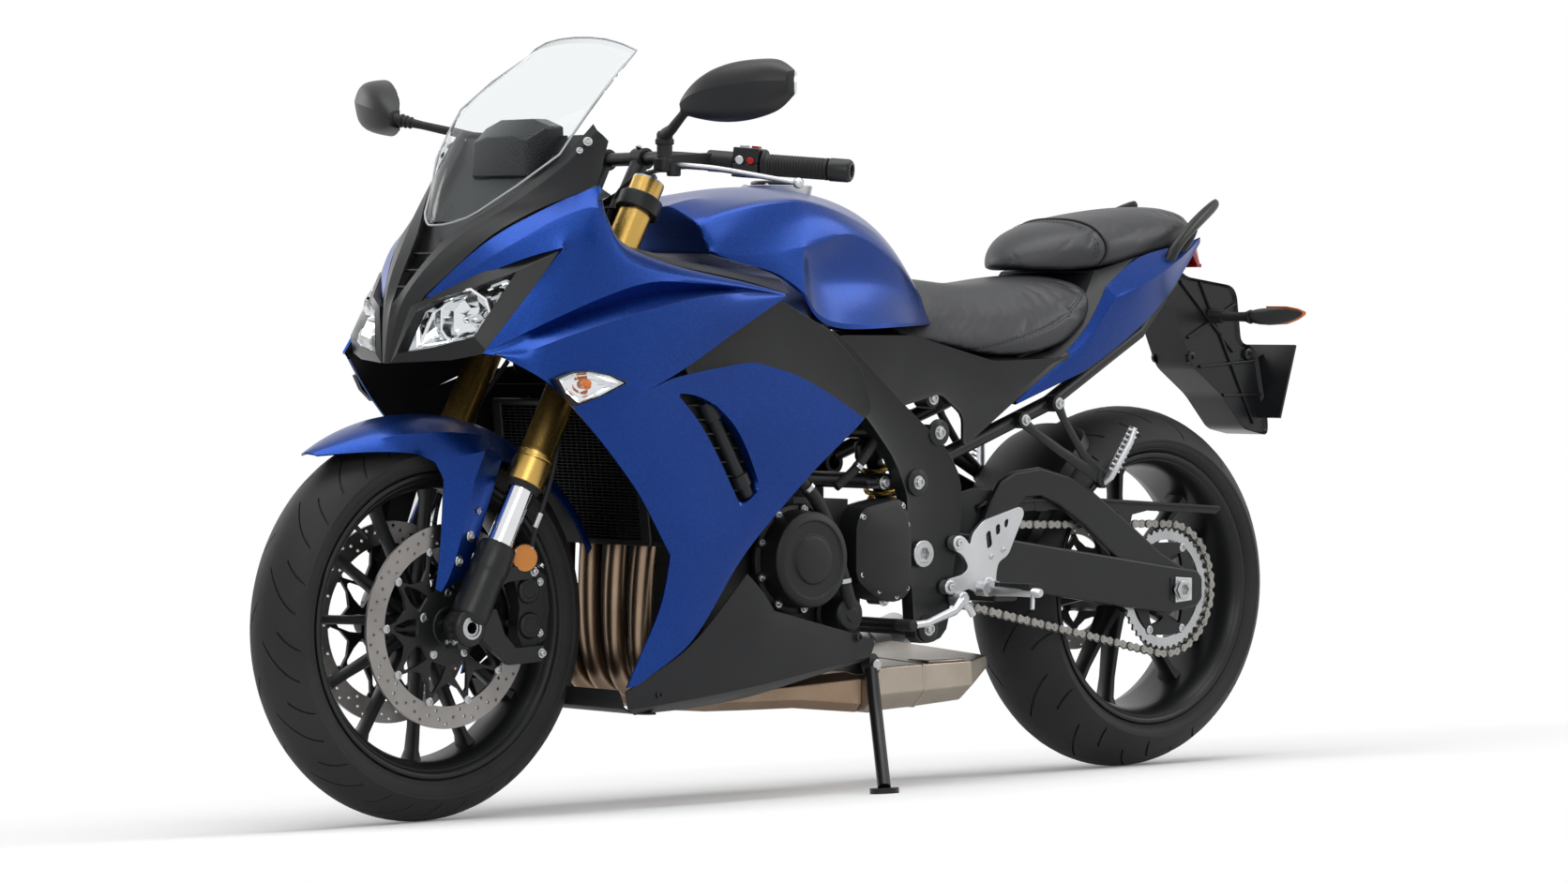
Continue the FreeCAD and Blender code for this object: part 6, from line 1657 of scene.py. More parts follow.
def makePad(name, sections, replaced, seams, offsets):
    piece = addPiece(name, padBody(sections), "chassis", "seatVinyl", [replaced], subdivide=3)
    bake(piece)
    inflate(piece)
    lines = []
    for points in seams:
        lines.append(seamLine(piece, points))
        if points[-1][1]:
            lines.append(seamLine(piece, [(x, -y, z) for x, y, z in points]))
        else:
            lines[-1] = seamLine(piece, points + [(x, -y, z) for x, y, z in reversed(points[:-1])], 160)
    sewSeams(piece, lines, offsets)
    print(name, "padded")
    return lines


makePad("riderSeat", seat["rider"], "rider_seat", seat["riderSeams"], (-2.6, 2.6))
pillionLines = makePad("pillionSeat", seat["pillion"], "pillion_seat", seat["pillionSeams"], (-16, -22))
back = standing.inverted()
tubeAlong("pillionPiping", [back @ (place + normal * 0.0006) for place, normal in pillionLines[0][::3]], 2.0,
          "chassis", "gripRubber", slot="seat_cover")


# ---- tail
def sweptBody(bm, points, halfWide, halfHigh, sides=10):
    # an oval bar through points; the two half sizes are lists as long as the points or one number
    points = [Vector(p) for p in points]
    rings = []
    for i, point in enumerate(points):
        ahead = (points[min(i + 1, len(points) - 1)] - points[max(i - 1, 0)]).normalized()
        across = (Vector((0, 1, 0)) - ahead * ahead.y).normalized()
        up = ahead.cross(across)
        wide = halfWide[i] if isinstance(halfWide, (list, tuple)) else halfWide
        high = halfHigh[i] if isinstance(halfHigh, (list, tuple)) else halfHigh
        rings.append([point + across * wide * math.cos(math.tau * j / sides) + up * high *
                      math.sin(math.tau * j / sides) for j in range(sides)])
    formInto(bm, rings, True)


tail = {
    "rows": [
        [(402, 150, 636), (300, 150, 704), (230, 148, 754), (178, 140, 826), (88, 118, 878), (0, 106, 892),
         (-62, 96, 902), (-104, 91, 914)],
        [(402, 152, 634), (300, 154, 692), (230, 154, 736), (165, 151, 808), (104, 151, 826), (29, 140, 856),
         (-50, 114, 887), (-103, 92, 912)],
        [(402, 152.5, 632), (300, 153, 678), (230, 152, 710), (158, 147, 764), (78, 138, 796), (4, 124, 834),
         (-60, 103, 878), (-104, 91.5, 908)],
        [(402, 152, 629), (300, 152, 664), (230, 150, 686), (150, 142, 726), (55, 129, 775), (-14, 115, 826),
         (-69, 99, 871), (-104, 91, 904)],
    ],
    "inner": [(402, 118, 698), (300, 128, 718), (230, 124, 778), (178, 112, 852), (88, 100, 872), (0, 88, 886),
              (-62, 76, 898), (-104, 66, 908)],
    "tidy": [(-36, 856), (-84, 800), (-122, 722), (-138, 690), (-212, 640), (-270, 580), (-332, 568), (-334, 590),
             (-306, 710), (-290, 726), (-262, 732), (-250, 818), (-236, 832), (-122, 846), (-104, 858)],
}
bm, grid = sheetOf(tail["rows"])
crease(bm, [grid[1][2:]], 1.0)
crease(bm, [[grid[0][3], grid[1][3], grid[1][4]]], 0.8)
pinVerts(bm, [grid[0][0], grid[3][0], grid[0][-1], grid[3][-1], grid[0][3]])
addPair("tailPanels", bm, "chassis", ["bluePaint", "texturedAbs"],
        ["tail_fairings"], subdivide=3, thick=3.2, bevel=0.9, sharp=15)
bm, grid = sheetOf([[(x, y - 1.5, z - 3) for x, y, z in tail["rows"][0]], tail["inner"],
                    [(x, 0, z + 2) for x, y, z in tail["inner"]]])
addPair("tailDeck", bm, "chassis", "texturedAbs", thick=3, bevel=0.8)
bm, grid = sheetOf([[(x, y - 3, z + 2) for x, y, z in tail["rows"][3]],
                    [(x, y - 26, z + 6) for x, y, z in tail["rows"][3]],
                    [(x, 0, z + 14) for x, y, z in tail["rows"][3][2:]][:1] * 2 +
                    [(x, 0, z + 14) for x, y, z in tail["rows"][3][2:]]])
addPair("tailUndertray", bm, "chassis", "texturedAbs", thick=3, bevel=0.8)

# lamp: red lens on a dark surround, with a stepped inner face
bm = bmesh.new()
formInto(bm, [[(x, w * wide, z) for w, z in ((-1, low), (1, low), (shoulder, high), (-shoulder, high))]
              for x, wide, shoulder, low, high in ((-106, 82, 0.72, 868, 902), (-118, 80, 0.74, 866, 906),
                                                   (-132, 66, 0.84, 862, 909), (-138, 52, 0.9, 868, 903))], True)
addPiece("tailLens", bm, "chassis", "redLens", ["tail_light"], bevel=3.5, sharp=20)
bm = bmesh.new()
for i in range(-5, 6):
    boxMesh(bm, -134.5 + abs(i) * 2.4, -131 + abs(i) * 2.4, i * 11 - 4, i * 11 + 4, 876, 896)
boxMesh(bm, -116, -104, -84, 84, 862, 868)
addPiece("tailLensRibs", bm, "chassis", "redLens", bevel=0.8)

# tidy: hollow moulding with ribs, plate holder and blank plate
bm = bmesh.new()
slab(bm, rounded(tail["tidy"], 12), -44, 44)
for y in (44, -44):
    sink(bm, y, 5, 6)
for a, b in (((-110, 838), (-246, 716)), ((-160, 838), (-300, 590)), ((-130, 740), (-250, 800)),
             ((-160, 690), (-300, 700)), ((-220, 640), (-316, 640))):
    for y in (40, -40):
        rodMesh(bm, (a[0], y, a[1]), (b[0], y, b[1]), 3, sides=6)
for point in ((-136, 38, 706), (-282, 38, 712)):
    for side in (-1, 1):
        turnedMesh(bm, [(0, 11), (6, 10), (7, 8), (7, 4), (4, 3.5), (4, 0)],
                   facing((point[0], point[1] * side, point[2]), (0, side, 0)), sides=20)
slab(bm, [(-282, 690), (-346, 712), (-322, 636), (-298, 634)], -20, 20)
addPiece("tailTidy", bm, "chassis", "smoothAbs", ["tail_tidy"], bevel=1.4, sharp=34)
place = Matrix.Translation((-334, 0, 664)) @ Matrix.Rotation(math.radians(-17.2), 4, "Y")
bm = bmesh.new()
made = bmesh.ops.create_cube(bm, size=1, matrix=place @ Matrix.Diagonal((4.4, 180, 134, 1)))["verts"]
faces = [f for f in bm.faces if f.calc_center_median().x < -335]
bmesh.ops.inset_region(bm, faces=faces, thickness=5, depth=-1.2)
for y in (-40, 40):
    boltMesh(bm, place @ Vector((-1.4, y, 44)), place.to_3x3() @ Vector((-1, 0, 0)), 4, 3)
addPiece("plate", bm, "chassis", "plateBlank", ["number_plate"], bevel=1.2, sharp=40)

# rear signals: rubber stalk, pod and amber lens on its rear face
bm = bmesh.new()
sweptBody(bm, [(-186, 40, 780), (-192, 60, 778), (-196, 84, 777), (-204, 108, 777), (-206, 118, 777)],
          [9, 10, 8, 9, 13], [12, 9, 8, 9, 13])
rodMesh(bm, (-190, 38, 779), (-193, 66, 778), 14, 12, 8)
addPair("signalStalks", bm, "chassis", "gripRubber", bevel=0.6, sharp=40, slot="dark_plastic")
pod = [[(-198, 106, 770), (-190, 109, 782), (-212, 112, 786), (-218, 110, 770)],
       [(-204, 122, 760), (-190, 128, 792), (-226, 134, 796), (-234, 130, 762)],
       [(-232, 148, 760), (-214, 156, 792), (-250, 160, 796), (-262, 152, 764)],
       [(-256, 164, 770), (-246, 168, 789), (-268, 172, 792), (-276, 166, 772)],
       [(-272, 172, 779), (-270, 175, 786), (-279, 177, 787), (-281, 174, 780)]]
bm, grid = bodyOf(pod)
addPair("rearSignals", bm, "chassis", "smoothAbs", ["rear_indicators"], subdivide=3)
lens = [[Vector(p) + Vector((-3.5, 0.5, 0)) for p in ring[2:]] + [Vector(p) for p in reversed(ring[2:])]
        for ring in (pod[1:])]
bm, grid = bodyOf([[q[0].lerp(q[1], 0.12), q[1].lerp(q[0], 0.12), q[2], q[3]] for q in lens])
addPair("rearSignalLenses", bm, "chassis", "amberLens", bevel=1.0, sharp=30)

# grab rails: flat cast blades rising to the rear
bm = bmesh.new()
sweptBody(bm, [(14, 106, 848), (4, 118, 868), (0, 125, 888), (-22, 124, 910), (-60, 120, 936), (-104, 108, 958),
               (-136, 98, 972), (-142, 95, 976)], [8, 9, 9, 9, 8, 7, 6, 4], [12, 12, 11, 11, 12, 12, 10, 6])
sweptBody(bm, [(-30, 100, 872), (-48, 114, 900), (-66, 119, 932)], [6, 6, 6], [8, 7, 8])
addPair("grabRails", bm, "chassis", "powderCoat", ["grab_rails"], subdivide=1)
print("tail built")


# ---- yokes, bar and controls
bars = {
    "path": [(1126.4, 62, 1016.4), (1134.4, 120, 1016.4), (1118.4, 170, 1012.4), (1096.4, 215, 1008.4),
             (1004.4, 377, 994.4)],
    "outline": [(12, 104), (20, 70), (-6, 40), (-4, 0), (-6, -40), (20, -70), (12, -104), (-22, -108), (-66, -40),
                (-68, 0), (-66, 40), (-22, 108)],
    "foot": (1204.4, 190, 1016.4),
    "shell": [(1304, 352, 1084, 15, 22), (1299, 372, 1092, 30, 40), (1290, 402, 1100, 42, 55),
              (1278, 436, 1106, 46, 60), (1266, 466, 1110, 43, 54), (1254, 492, 1114, 38, 46),
              (1242, 519, 1116, 18, 18)],
}


def yokeMesh(low, high, reach):
    bm = bmesh.new()
    formInto(bm, [[forkPoint(s, n, y) for n, y in bars["outline"]] for s in (low, high)])
    faces = [f for f in bm.faces if len(f.verts) > 4]
    bmesh.ops.inset_region(bm, faces=faces, thickness=9, depth=-3, use_even_offset=True)
    up = forkPoint(1, 0, 0) - forkPoint(0, 0, 0)
    for y in (-112, 112):
        place = facing(forkPoint(low, 0, y), up)
        tall = high - low
        turnedMesh(bm, [(0, forkR + 0.6), (0, forkR + reach - 2), (2, forkR + reach), (tall - 2, forkR + reach),
                        (tall, forkR + reach - 2), (tall, forkR + 0.6)], place, sides=40)
        for s in (low + tall * 0.3, low + tall * 0.72):
            sign = 1 if y > 0 else -1
            rodMesh(bm, forkPoint(s, -28, y - 16 * sign), forkPoint(s, -28, y + 14 * sign), 7, sides=16)
    return bm


forkR = 26
addPiece("lowerYoke", yokeMesh(515, 551, 10), "steering", "powderCoat", ["lower_yoke"], bevel=2.0, sharp=36)
bm = yokeMesh(712, 740, 9)
for y in (-45, 45):
    rodMesh(bm, forkPoint(735, -20, y), forkPoint(812, -20, y), 15, 14)
    turnedMesh(bm, [(-13, 12), (-13, 17), (13, 17), (13, 12)], leftward(1126.4, y, 1016.4), sides=36)
addPiece("upperYoke", bm, "steering", "powderCoat", ["upper_yoke"], bevel=2.0, sharp=36)
bm = bmesh.new()
place = facing(forkPoint(738, -38, 0), forkPoint(1, 0, 0) - forkPoint(0, 0, 0))
turnedMesh(bm, [(0, 19), (7, 19), (8, 17), (8, 9), (3, 8), (3, 0)], place, sides=6)
for y in (-45, 45):
    for n in (-33, -7):
        boltMesh(bm, forkPoint(834, n, y), forkPoint(1, 0, 0) - forkPoint(0, 0, 0), 3.6, 4)
addPiece("yokeFasteners", bm, "steering", "zincPlate")
left = bars["path"]
tubeAlong("barTube", [(x, -y, z) for x, y, z in reversed(left)] + left, 11, "steering", "powderCoat")
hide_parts("handlebar")

inner, outer = Vector(left[3]), Vector(left[4])
along = (outer - inner).normalized()
barLong = (outer - inner).length


def onBar(t):
    return inner + along * t


bm = bmesh.new()
grip = [(0, 11.8), (0, 21), (1.5, 22.5), (4, 22.5), (6, 17.2), (10, 16.6)]
for i in range(19):
    grip += [(11 + i * 4.6, 15.9), (12 + i * 4.6, 16.9), (14.2 + i * 4.6, 16.9), (15.2 + i * 4.6, 15.9)]
grip += [(101, 17.2), (105, 17.2), (barLong - 81, 15), (barLong - 81, 11.8)]
turnedMesh(bm, grip, facing(onBar(58), along), sides=40)
addPair("gripRubbers", bm, "steering", "gripRubber", ["grips"])
bm = bmesh.new()
turnedMesh(bm, [(0, 11), (0, 16), (2, 18), (30, 18), (34, 16.5), (36, 14), (36, 10), (28, 8.5), (28, 0)],
           facing(onBar(barLong - 22), along), sides=40)
addPair("barWeights", bm, "steering", "powderCoat")

# switch boxes with rocker, buttons and a seam between their halves
side = along.cross(Vector((0, 0, 1))).normalized()
boxPlace = Matrix.Translation(onBar(35)) @ Matrix((side, along, side.cross(along))).transposed().to_4x4()
bm = bmesh.new()
for x0, x1, y0, y1, z0, z1 in ((-22, 23, -21, 21, -22, -0.8), (-22, 23, -21, 21, 0.8, 24), (-21, 22, -20, 20, -2, 2),
                               (-30, -20, -12, 14, -14, 10)):
    bmesh.ops.transform(bm, matrix=boxPlace, verts=boxMesh(bm, x0, x1, y0, y1, z0, z1))
addPair("switchBoxes", bm, "steering", "smoothAbs", ["bar_controls"], bevel=3.5, sharp=40)
bm = bmesh.new()
bmesh.ops.transform(bm, matrix=boxPlace, verts=boxMesh(bm, -6, 8, -15, -3, 23, 28))
turnedMesh(bm, [(0, 7), (6, 7), (7, 5.5), (7, 0)], boxPlace @ facing((22, -8, 4), (1, 0, 0)), sides=24)
addPair("rockerSwitches", bm, "steering", "satinAlloy", bevel=1, slot="chrome_tube")
bm = bmesh.new()
bmesh.ops.transform(bm, matrix=boxPlace, verts=boxMesh(bm, -8, 8, 4, 15, 23, 27.5))
turnedMesh(bm, [(0, 5.5), (5, 5.5), (6, 4.5), (6, 0)], boxPlace @ facing((22, 9, 4), (1, 0, 0)), sides=24)
addPair("redSwitches", bm, "steering", "redSwitch", bevel=1)

# perch, mirror arm and clutch or brake lever
foot = Vector(bars["foot"])
bm = bmesh.new()
sweptBody(bm, [Vector(left[2]).lerp(Vector(left[3]), 0.35), Vector(left[3]), onBar(13)], 17, 17, 20)
formInto(bm, [[(foot.x + 14, y, foot.z - 24), (foot.x + 14, y, foot.z - 5), (foot.x - 10, y, foot.z + 2),
               (foot.x - 116, y, foot.z + 8), (foot.x - 116, y, foot.z - 15)] for y in (179, 201)])
turnedMesh(bm, [(-26, 8), (-26, 13), (-6, 13), (-6, 8)], Matrix.Translation(foot), sides=30)
turnedMesh(bm, [(0, 7), (0, 11), (20, 11), (20, 7)], facing(foot + Vector((-10, 10, -32)), (0, 0, 1)), sides=24)
addPair("perches", bm, "steering", "castCase", bevel=2.2, sharp=36, slot="dark_plastic")
pivot, knee = foot + Vector((-10, 10, -15)), foot + Vector((-40, 72, -20))
tip = onBar(barLong - 20) + Vector((62, -6, -22))
bm = bmesh.new()
sweptBody(bm, [pivot, pivot.lerp(knee, 0.5) + Vector((6, 2, 0)), knee, knee.lerp(tip, 0.35), knee.lerp(tip, 0.8), tip],
          [9, 8, 8.5, 8, 7, 6], [5, 5, 4.5, 4.2, 4, 4.5], 12)
bmesh.ops.create_icosphere(bm, subdivisions=3, radius=8.6, matrix=Matrix.Translation(tip))
addPair("leverBlades", bm, "steering", "satinAlloy", ["hand_levers"], subdivide=1, slot="chrome_tube")

# mirrors: boot, elbow, stalk and creased shell with its glass
bm = bmesh.new()
turnedMesh(bm, [(-8, 8), (-8, 12), (16, 12), (17, 14.5), (24, 14.5), (26, 12.5), (33, 12.5), (37, 10), (40, 0)],
           Matrix.Translation(foot), sides=28)
neck = Vector((1300, 358, 1084))
start = foot + Vector((0, 0, 26))
sweptBody(bm, [start, start.lerp(neck, 0.06) + Vector((0, 0, 4)), start.lerp(neck, 0.3), start.lerp(neck, 0.75),
               start.lerp(neck, 0.94), neck], [11, 10, 8, 7, 9, 13], [11, 10, 7.5, 6.5, 8, 11], 14)
for t in (0.86, 0.9, 0.94):
    turnedMesh(bm, [(-2.4, 7), (-1.6, 9.6 + 20 * (t - 0.86)), (1.6, 9.6 + 20 * (t - 0.86)), (2.4, 7)],
               facing(start.lerp(neck, t), neck - start), sides=24)
addPair("mirrorStalks", bm, "steering", "gripRubber", bevel=0.5, sharp=40, slot="dark_plastic")
rings = []
for x, y, z, half, depth in bars["shell"]:
    back = x - depth * 0.4
    rings.append([(back, y, z + half), (x + depth * 0.25, y, z + half * 0.92), (x + depth * 0.5, y, z + half * 0.5),
                  (x + depth * 0.6, y, z + half * 0.1), (x + depth * 0.5, y, z - half * 0.5),
                  (x + depth * 0.35, y, z - half * 0.9), (back, y, z - half)])
bm, grid = bodyOf(rings)
crease(bm, [column(grid, 0), column(grid, 6)], 1.0)
crease(bm, [column(grid, 3)], 0.75)
crease(bm, [row + row[:1] for row in (grid[0], grid[-1])], 0.6)
addPair("mirrorShells", bm, "steering", "texturedAbs", ["mirrors"], subdivide=2, bevel=1.2, sharp=30)
bm = bmesh.new()
ring = addRow(bm, [(x - depth * 0.4 - 3, y, z + half * 0.84) for x, y, z, half, depth in bars["shell"][1:]] +
              [(x - depth * 0.4 - 3, y, z - half * 0.84) for x, y, z, half, depth in reversed(bars["shell"][1:])],
              closed=True)
bmesh.ops.contextual_create(bm, geom=ring)
bmesh.ops.triangulate(bm, faces=bm.faces)
addPair("mirrorGlasses", bm, "steering", "mirrorGlass", thick=1.0, side=0.0)

# clutch and throttle cables, brake reservoir on the right
for name, sign in (("clutchCable", 1), ("throttleCable", -1)):
    tubeAlong(name, [(1120, sign * 176, 1004), (1160, sign * 150, 1000), (1196, sign * 96, 984),
                     (1206, sign * 60, 940), (1196, sign * 44, 900)], 3.6, "steering", "gripRubber")
bm = bmesh.new()
turnedMesh(bm, [(0, 0), (0, 19), (24, 20), (25, 22), (31, 22), (33, 19), (33, 0)],
           facing((1150, -168, 1030), (0.1, 0, 1)), sides=36)
rodMesh(bm, (1150, -168, 1032), (1132, -174, 1012), 7)
addPiece("brakeReservoir", bm, "steering", "smoothAbs", bevel=0.8, sharp=40)

# ---- footrests, levers and hangers
rests = {
    "plate": [(584, 414), (570, 420), (554, 412), (546, 400), (541, 420), (516, 441), (430, 463), (421, 452),
              (458, 384), (481, 372), (486, 352), (486, 330), (500, 316), (522, 320), (545, 332), (580, 322),
              (598, 324), (604, 336), (596, 348), (562, 354), (548, 366), (562, 386), (584, 396)],
    "slots": [[(510, 420), (500, 426), (495, 400), (506, 394)], [(488, 432), (478, 436), (477, 420), (486, 416)],
              [(468, 440), (458, 444), (460, 430), (467, 428)]],
}
bm = bmesh.new()
slab(bm, rounded(rests["plate"], 8), 185, 192, [rounded(hole, 5) for hole in rests["slots"]])
for x, z, r in ((574, 406, 12), (592, 335, 12), (503, 334, 15)):
    turnedMesh(bm, [(0, r - 5), (0, r), (15, r), (16.5, r - 2), (16.5, r - 5), (13, r - 6)],
               leftward(x, 179, z), sides=30)
addPair("footPlates", bm, "chassis", "satinAlloy", ["rider_footrests"], bevel=1.6, sharp=36)
bm = bmesh.new()
rodMesh(bm, (522, 186, 332), (519, 206, 331), 13, 12)
rodMesh(bm, (503, 190, 334), (510, 214, 332), 14, 12)
sweptBody(bm, [(514, 204, 331), (514, 222, 330), (512, 262, 329), (508, 312, 328), (507, 316, 328)],
          [13, 13, 12, 10, 7], [8, 9, 8.5, 8, 6], 12)
rodMesh(bm, (514, 304, 324), (521, 310, 302), 3.6, sides=10)
for x, z in ((574, 406), (592, 335)):
    boltMesh(bm, (x, 193, z), (0, 1, 0), 5.8, 6)
for x, z in ((497, 382), (470, 392)):
    boltMesh(bm, (x, 192, z), (0, 1, 0), 3.4, 3)
addPair("footPegs", bm, "chassis", "satinAlloy", bevel=0.8, sharp=36)
bm = bmesh.new()
for i in range(14):
    y = 228 + i * 5.4
    made = boxMesh(bm, 500, 526, y, y + 3, 335, 342)
    for vert in made:
        vert.co.x -= (y - 228) * 0.08
boxMesh(bm, 502, 521, 227, 303, 332, 338)
addPair("pegPads", bm, "chassis", "gripRubber", bevel=0.8)
bm = bmesh.new()
turnedMesh(bm, [(0, 10), (2, 12), (26, 12), (29, 10), (29, 0)], leftward(575, 181, 316), sides=30)
sweptBody(bm, [(575, 205, 314), (600, 212, 298), (672, 222, 281), (728, 222, 277)], [6, 5, 5, 7], [10, 8, 6, 7], 12)
sweptBody(bm, [(575, 198, 316), (556, 202, 300), (548, 202, 288)], [5, 5, 5], [8, 7, 6], 12)
rodMesh(bm, (575, -204, 316), (575, -181, 316), 12)
sweptBody(bm, [(575, -204, 316), (640, -222, 263), (716, -226, 262)], [6, 6, 8], [9, 7, 5], 12)
boxMesh(bm, 706, 734, -248, -214, 258, 267)
addPiece("footLevers", bm, "chassis", "satinAlloy", ["foot_levers"], bevel=1.0, sharp=36)
bm = bmesh.new()
turnedMesh(bm, [(0, 6), (1, 9), (36, 9), (38, 7), (38, 0)], leftward(728, 214, 280), sides=24)
for i in range(6):
    turnedMesh(bm, [(0, 8), (0.6, 9.8), (2.4, 9.8), (3, 8)], leftward(728, 219 + i * 5, 280), sides=18)
addPiece("toePeg", bm, "chassis", "gripRubber")
bm = bmesh.new()
sweptBody(bm, [(301, 145, 634), (284, 145, 604), (240, 145, 548), (192, 145, 506)], 4, [11, 8, 8, 11], 12)
sweptBody(bm, [(380, 145, 600), (350, 145, 582), (290, 145, 550), (192, 145, 503)], 4, [11, 8, 9, 12], 12)
turnedMesh(bm, [(0, 8), (0, 16), (12, 16), (14, 13), (14, 8)], leftward(190, 138, 503), sides=30)
for x, z in ((378, 603), (299, 630)):
    turnedMesh(bm, [(0, 6), (0, 14), (24, 14), (26, 12), (26, 6)], leftward(x, 124, z), sides=30)
addPair("passengerHangers", bm, "chassis", "powderCoat", ["passenger_footrests"], bevel=1.4, sharp=36)
bm = bmesh.new()
for x, z in ((378, 603), (299, 630)):
    boltMesh(bm, (x, 150, z), (0, 1, 0), 6.5, 6)
sweptBody(bm, [(188, 144, 498), (184, 156, 508), (176, 164, 530), (162, 178, 566), (156, 184, 590)],
          [10, 11, 12, 11, 8], [7, 7, 7, 7, 5], 12)
for t in range(9):
    place = Vector((184, 164, 518)).lerp(Vector((160, 184, 584)), t / 8)
    rodMesh(bm, place + Vector((-12, 2, -4)), place + Vector((12, 2, 4)), 2.2, sides=8)
addPair("passengerPegs", bm, "chassis", "satinAlloy", bevel=0.6, sharp=36)

# ---- seat rails
rails = [[(560, 128, 634), (283, 118, 694), (150, 108, 762), (-40, 84, 858)],
         [(560, 128, 540), (299, 122, 630), (60, 100, 750), (-40, 84, 838)]]
bm = bmesh.new()
for path in rails:
    sweptBody(bm, path, 13, 13, 20)
for t, x in ((0.3, 470), (0.75, 120)):
    a = Vector(rails[0][0]).lerp(Vector(rails[0][1]), t) if x > 300 else Vector(rails[0][2])
    b = Vector(rails[1][0]).lerp(Vector(rails[1][1]), t) if x > 300 else Vector((150, 108, 704))
    rodMesh(bm, a, b, 9)
turnedMesh(bm, [(0, 12), (0, 20), (30, 20), (32, 17), (32, 12)], leftward(560, 118, 530), sides=40)
turnedMesh(bm, [(0, 9), (0, 16), (30, 16), (32, 13), (32, 9)], leftward(590, 118, 640), sides=40)
mirrorMesh(bm)
for x, z, y in ((500, 647, 126), (283, 694, 118), (-40, 818, 84)):
    rodMesh(bm, (x, -y, z), (x, y, z), 10)
addPiece("seatRails", bm, "chassis", "powderCoat", ["subframe"], bevel=0.6, sharp=40)
bm = bmesh.new()
boltMesh(bm, (560, 150, 530), (0, 1, 0), 9, 6)
boltMesh(bm, (590, 150, 640), (0, 1, 0), 7, 5)
addPair("railBolts", bm, "chassis", "zincPlate")
print("controls built")


# ---- side stand's bracket and its screws
bm = bmesh.new()
slab(bm, rounded([(720, 200), (752, 196), (812, 214), (812, 262), (776, 262), (726, 234)], 12), 140, 148)
sink(bm, 148, 4, 1.5)
addPiece("standPlate", bm, "chassis", "powderCoat", ["stand_bracket"], bevel=1.4, sharp=36)
bm = bmesh.new()
turnedMesh(bm, [(-14, 5), (-14, 9), (16, 9), (17, 7), (17, 0)], leftward(735, 158, 214), sides=24)
for x, z in ((792, 232), (784, 250)):
    boltMesh(bm, (x, 148, z), (0, 1, 0), 5.5, 5)
addPiece("standScrews", bm, "chassis", "zincPlate")
# hoses beside the cylinder block, with their clips
for name, points, r in (("coolantHose", [(806, 186, 312), (820, 188, 345), (852, 172, 470), (900, 158, 520),
                                         (960, 148, 560)], 11),
                        ("breatherHose", [(700, 150, 600), (740, 160, 560), (770, 150, 520), (800, 144, 500)], 8)):
    tubeAlong(name, points, r, "chassis", "gripRubber")
bm = bmesh.new()
for point, ahead, r in (((822, 187.5, 352), (0.15, -0.05, 1), 12.5), ((880, 165, 500), (0.8, -0.2, 0.8), 12.5),
                        ((762, 155, 532), (0.6, -0.2, -0.8), 9.2)):
    turnedMesh(bm, [(-3.5, r - 2), (-3.5, r), (3.5, r), (3.5, r - 2)], facing(point, ahead), sides=30)
addPiece("hoseClips", bm, "chassis", "zincPlate", bevel=0.4)
print("stand built")


# ---- floor, light and camera
def seenNode(tree):
    # 1 for what the camera sees, itself, in a mirror or through glass
    path = addNode(tree, "ShaderNodeLightPath")
    seen = path.outputs["Is Camera Ray"]
    for ray in ("Is Glossy Ray", "Is Transmission Ray"):
        seen = addNode(tree, "ShaderNodeMath", {0: seen, 1: path.outputs[ray]}, operation="MAXIMUM").outputs[0]
    return seen


def buildStage():
    floorMesh = bmesh.new()
    bmesh.ops.create_grid(floorMesh, x_segments=1, y_segments=1, size=30)
    mesh = bpy.data.meshes.new("floor")
    floorMesh.to_mesh(mesh)
    floorMesh.free()
    floor = newObject("floor", mesh)
    # pale matt floor that keeps the shadow near the machine and runs out to plain white for the camera and in
    # reflections
    material = bpy.data.materials.new("paleFloor")
    tree = emptyTree(material)
    pale = addNode(tree, "ShaderNodeBsdfDiffuse", {"Color": toLinear("#F4F4F4")})
    lift = addNode(tree, "ShaderNodeEmission", {"Color": (1, 1, 1, 1), "Strength": 0.12})
    near = addNode(tree, "ShaderNodeAddShader", {0: pale.outputs[0], 1: lift.outputs[0]})
    white = addNode(tree, "ShaderNodeEmission", {"Color": (1, 1, 1, 1), "Strength": 1.0})
    place = addNode(tree, "ShaderNodeTexCoord").outputs["Object"]
    squashed = addNode(tree, "ShaderNodeMapping", {"Vector": place, "Scale": (0.62, 1.0, 0.0)}).outputs["Vector"]
    away = addNode(tree, "ShaderNodeVectorMath", {0: squashed}, operation="LENGTH").outputs["Value"]
    fade = addNode(tree, "ShaderNodeMapRange", {"Value": away, "From Min": 0.75, "From Max": 1.7},
                   interpolation_type="SMOOTHSTEP").outputs["Result"]
    floorSeen = addNode(tree, "ShaderNodeMixShader", {"Fac": fade, 1: near.outputs[0], 2: white.outputs[0]})
    plain = addNode(tree, "ShaderNodeMixShader", {"Fac": seenNode(tree), 1: pale.outputs[0],
                                                  2: floorSeen.outputs[0]})
    addNode(tree, "ShaderNodeOutputMaterial", {"Surface": plain.outputs[0]})
    mesh.materials.append(material)


def addSoftbox(name, place, target, width, height, watts):
    light = bpy.data.lights.new(name, "AREA")
    light.shape = "RECTANGLE"
    light.size = width
    light.size_y = height
    light.energy = watts
    lamp = newObject(name, light)
    lamp.location = place
    lamp.rotation_euler = (Vector(target) - Vector(place)).to_track_quat("-Z", "Y").to_euler()


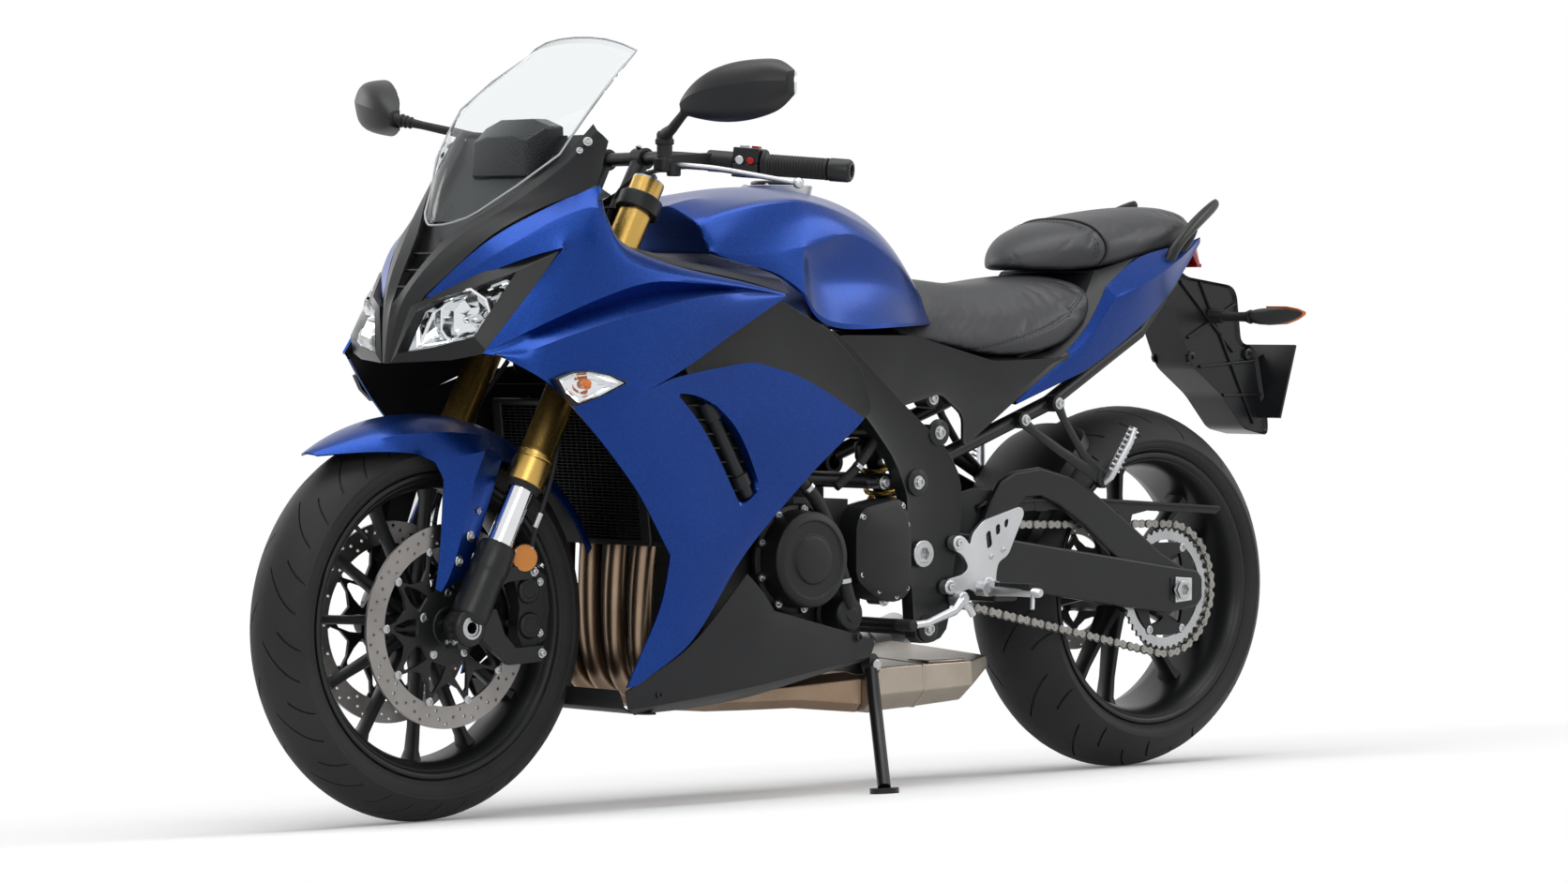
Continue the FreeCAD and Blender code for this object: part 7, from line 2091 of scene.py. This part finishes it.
def buildLight():
    world = bpy.data.worlds.new("studio")
    bpy.context.scene.world = world
    tree = emptyTree(world)
    dim = addNode(tree, "ShaderNodeBackground", {"Color": (1, 1, 1, 1), "Strength": 0.30})
    white = addNode(tree, "ShaderNodeBackground", {"Color": (1, 1, 1, 1), "Strength": 1.0})
    both = addNode(tree, "ShaderNodeMixShader", {"Fac": seenNode(tree), 1: dim.outputs[0], 2: white.outputs[0]})
    addNode(tree, "ShaderNodeOutputWorld", {"Surface": both.outputs[0]})
    addSoftbox("overhead", (0.3, 0.6, 3.6), (0, 0, 0.5), 4.2, 2.4, 98)
    addSoftbox("leftFront", (3.2, 3.4, 2.2), (0, 0, 0.5), 2.2, 1.6, 42)
    addSoftbox("rearLeft", (-3.6, 2.6, 2.4), (-0.3, 0, 0.6), 2.4, 1.4, 40)
    addSoftbox("rightFar", (1.4, -4.0, 2.4), (0, 0, 0.6), 2.6, 1.6, 38)


def buildCamera():
    # the view's place and turn beside the upright machine, in millimetres and degrees
    view = {"x": 6177.8, "y": 5929.2, "z": 745.8, "yaw": 227.6925, "pitch": -1.2559, "roll": 0.2810,
            "lens": 113.68}
    yaw, pitch, roll = (math.radians(view[k]) for k in ("yaw", "pitch", "roll"))
    ahead = Vector((math.cos(pitch) * math.cos(yaw), math.cos(pitch) * math.sin(yaw), math.sin(pitch)))
    level = ahead.cross(Vector((0, 0, 1))).normalized()
    upward = level.cross(ahead)
    right = level * math.cos(roll) + upward * math.sin(roll)
    top = upward * math.cos(roll) - level * math.sin(roll)
    turn = Matrix((right, top, -ahead)).transposed().to_4x4()
    lens = bpy.data.cameras.new("camera")
    lens.sensor_fit = "HORIZONTAL"
    lens.sensor_width = 36
    lens.lens = view["lens"]
    lens.clip_end = 100
    camera = newObject("camera", lens)
    leaning = Matrix.Rotation(-leanAngle, 4, "X")
    camera.matrix_world = Matrix.Translation(standing @ Vector((view["x"], view["y"], view["z"]))) @ leaning @ turn
    bpy.context.scene.camera = camera


buildStage()
buildLight()
buildCamera()
bpy.context.scene.view_settings.view_transform = "Standard"
bpy.context.view_layer.update()
print("scene done")
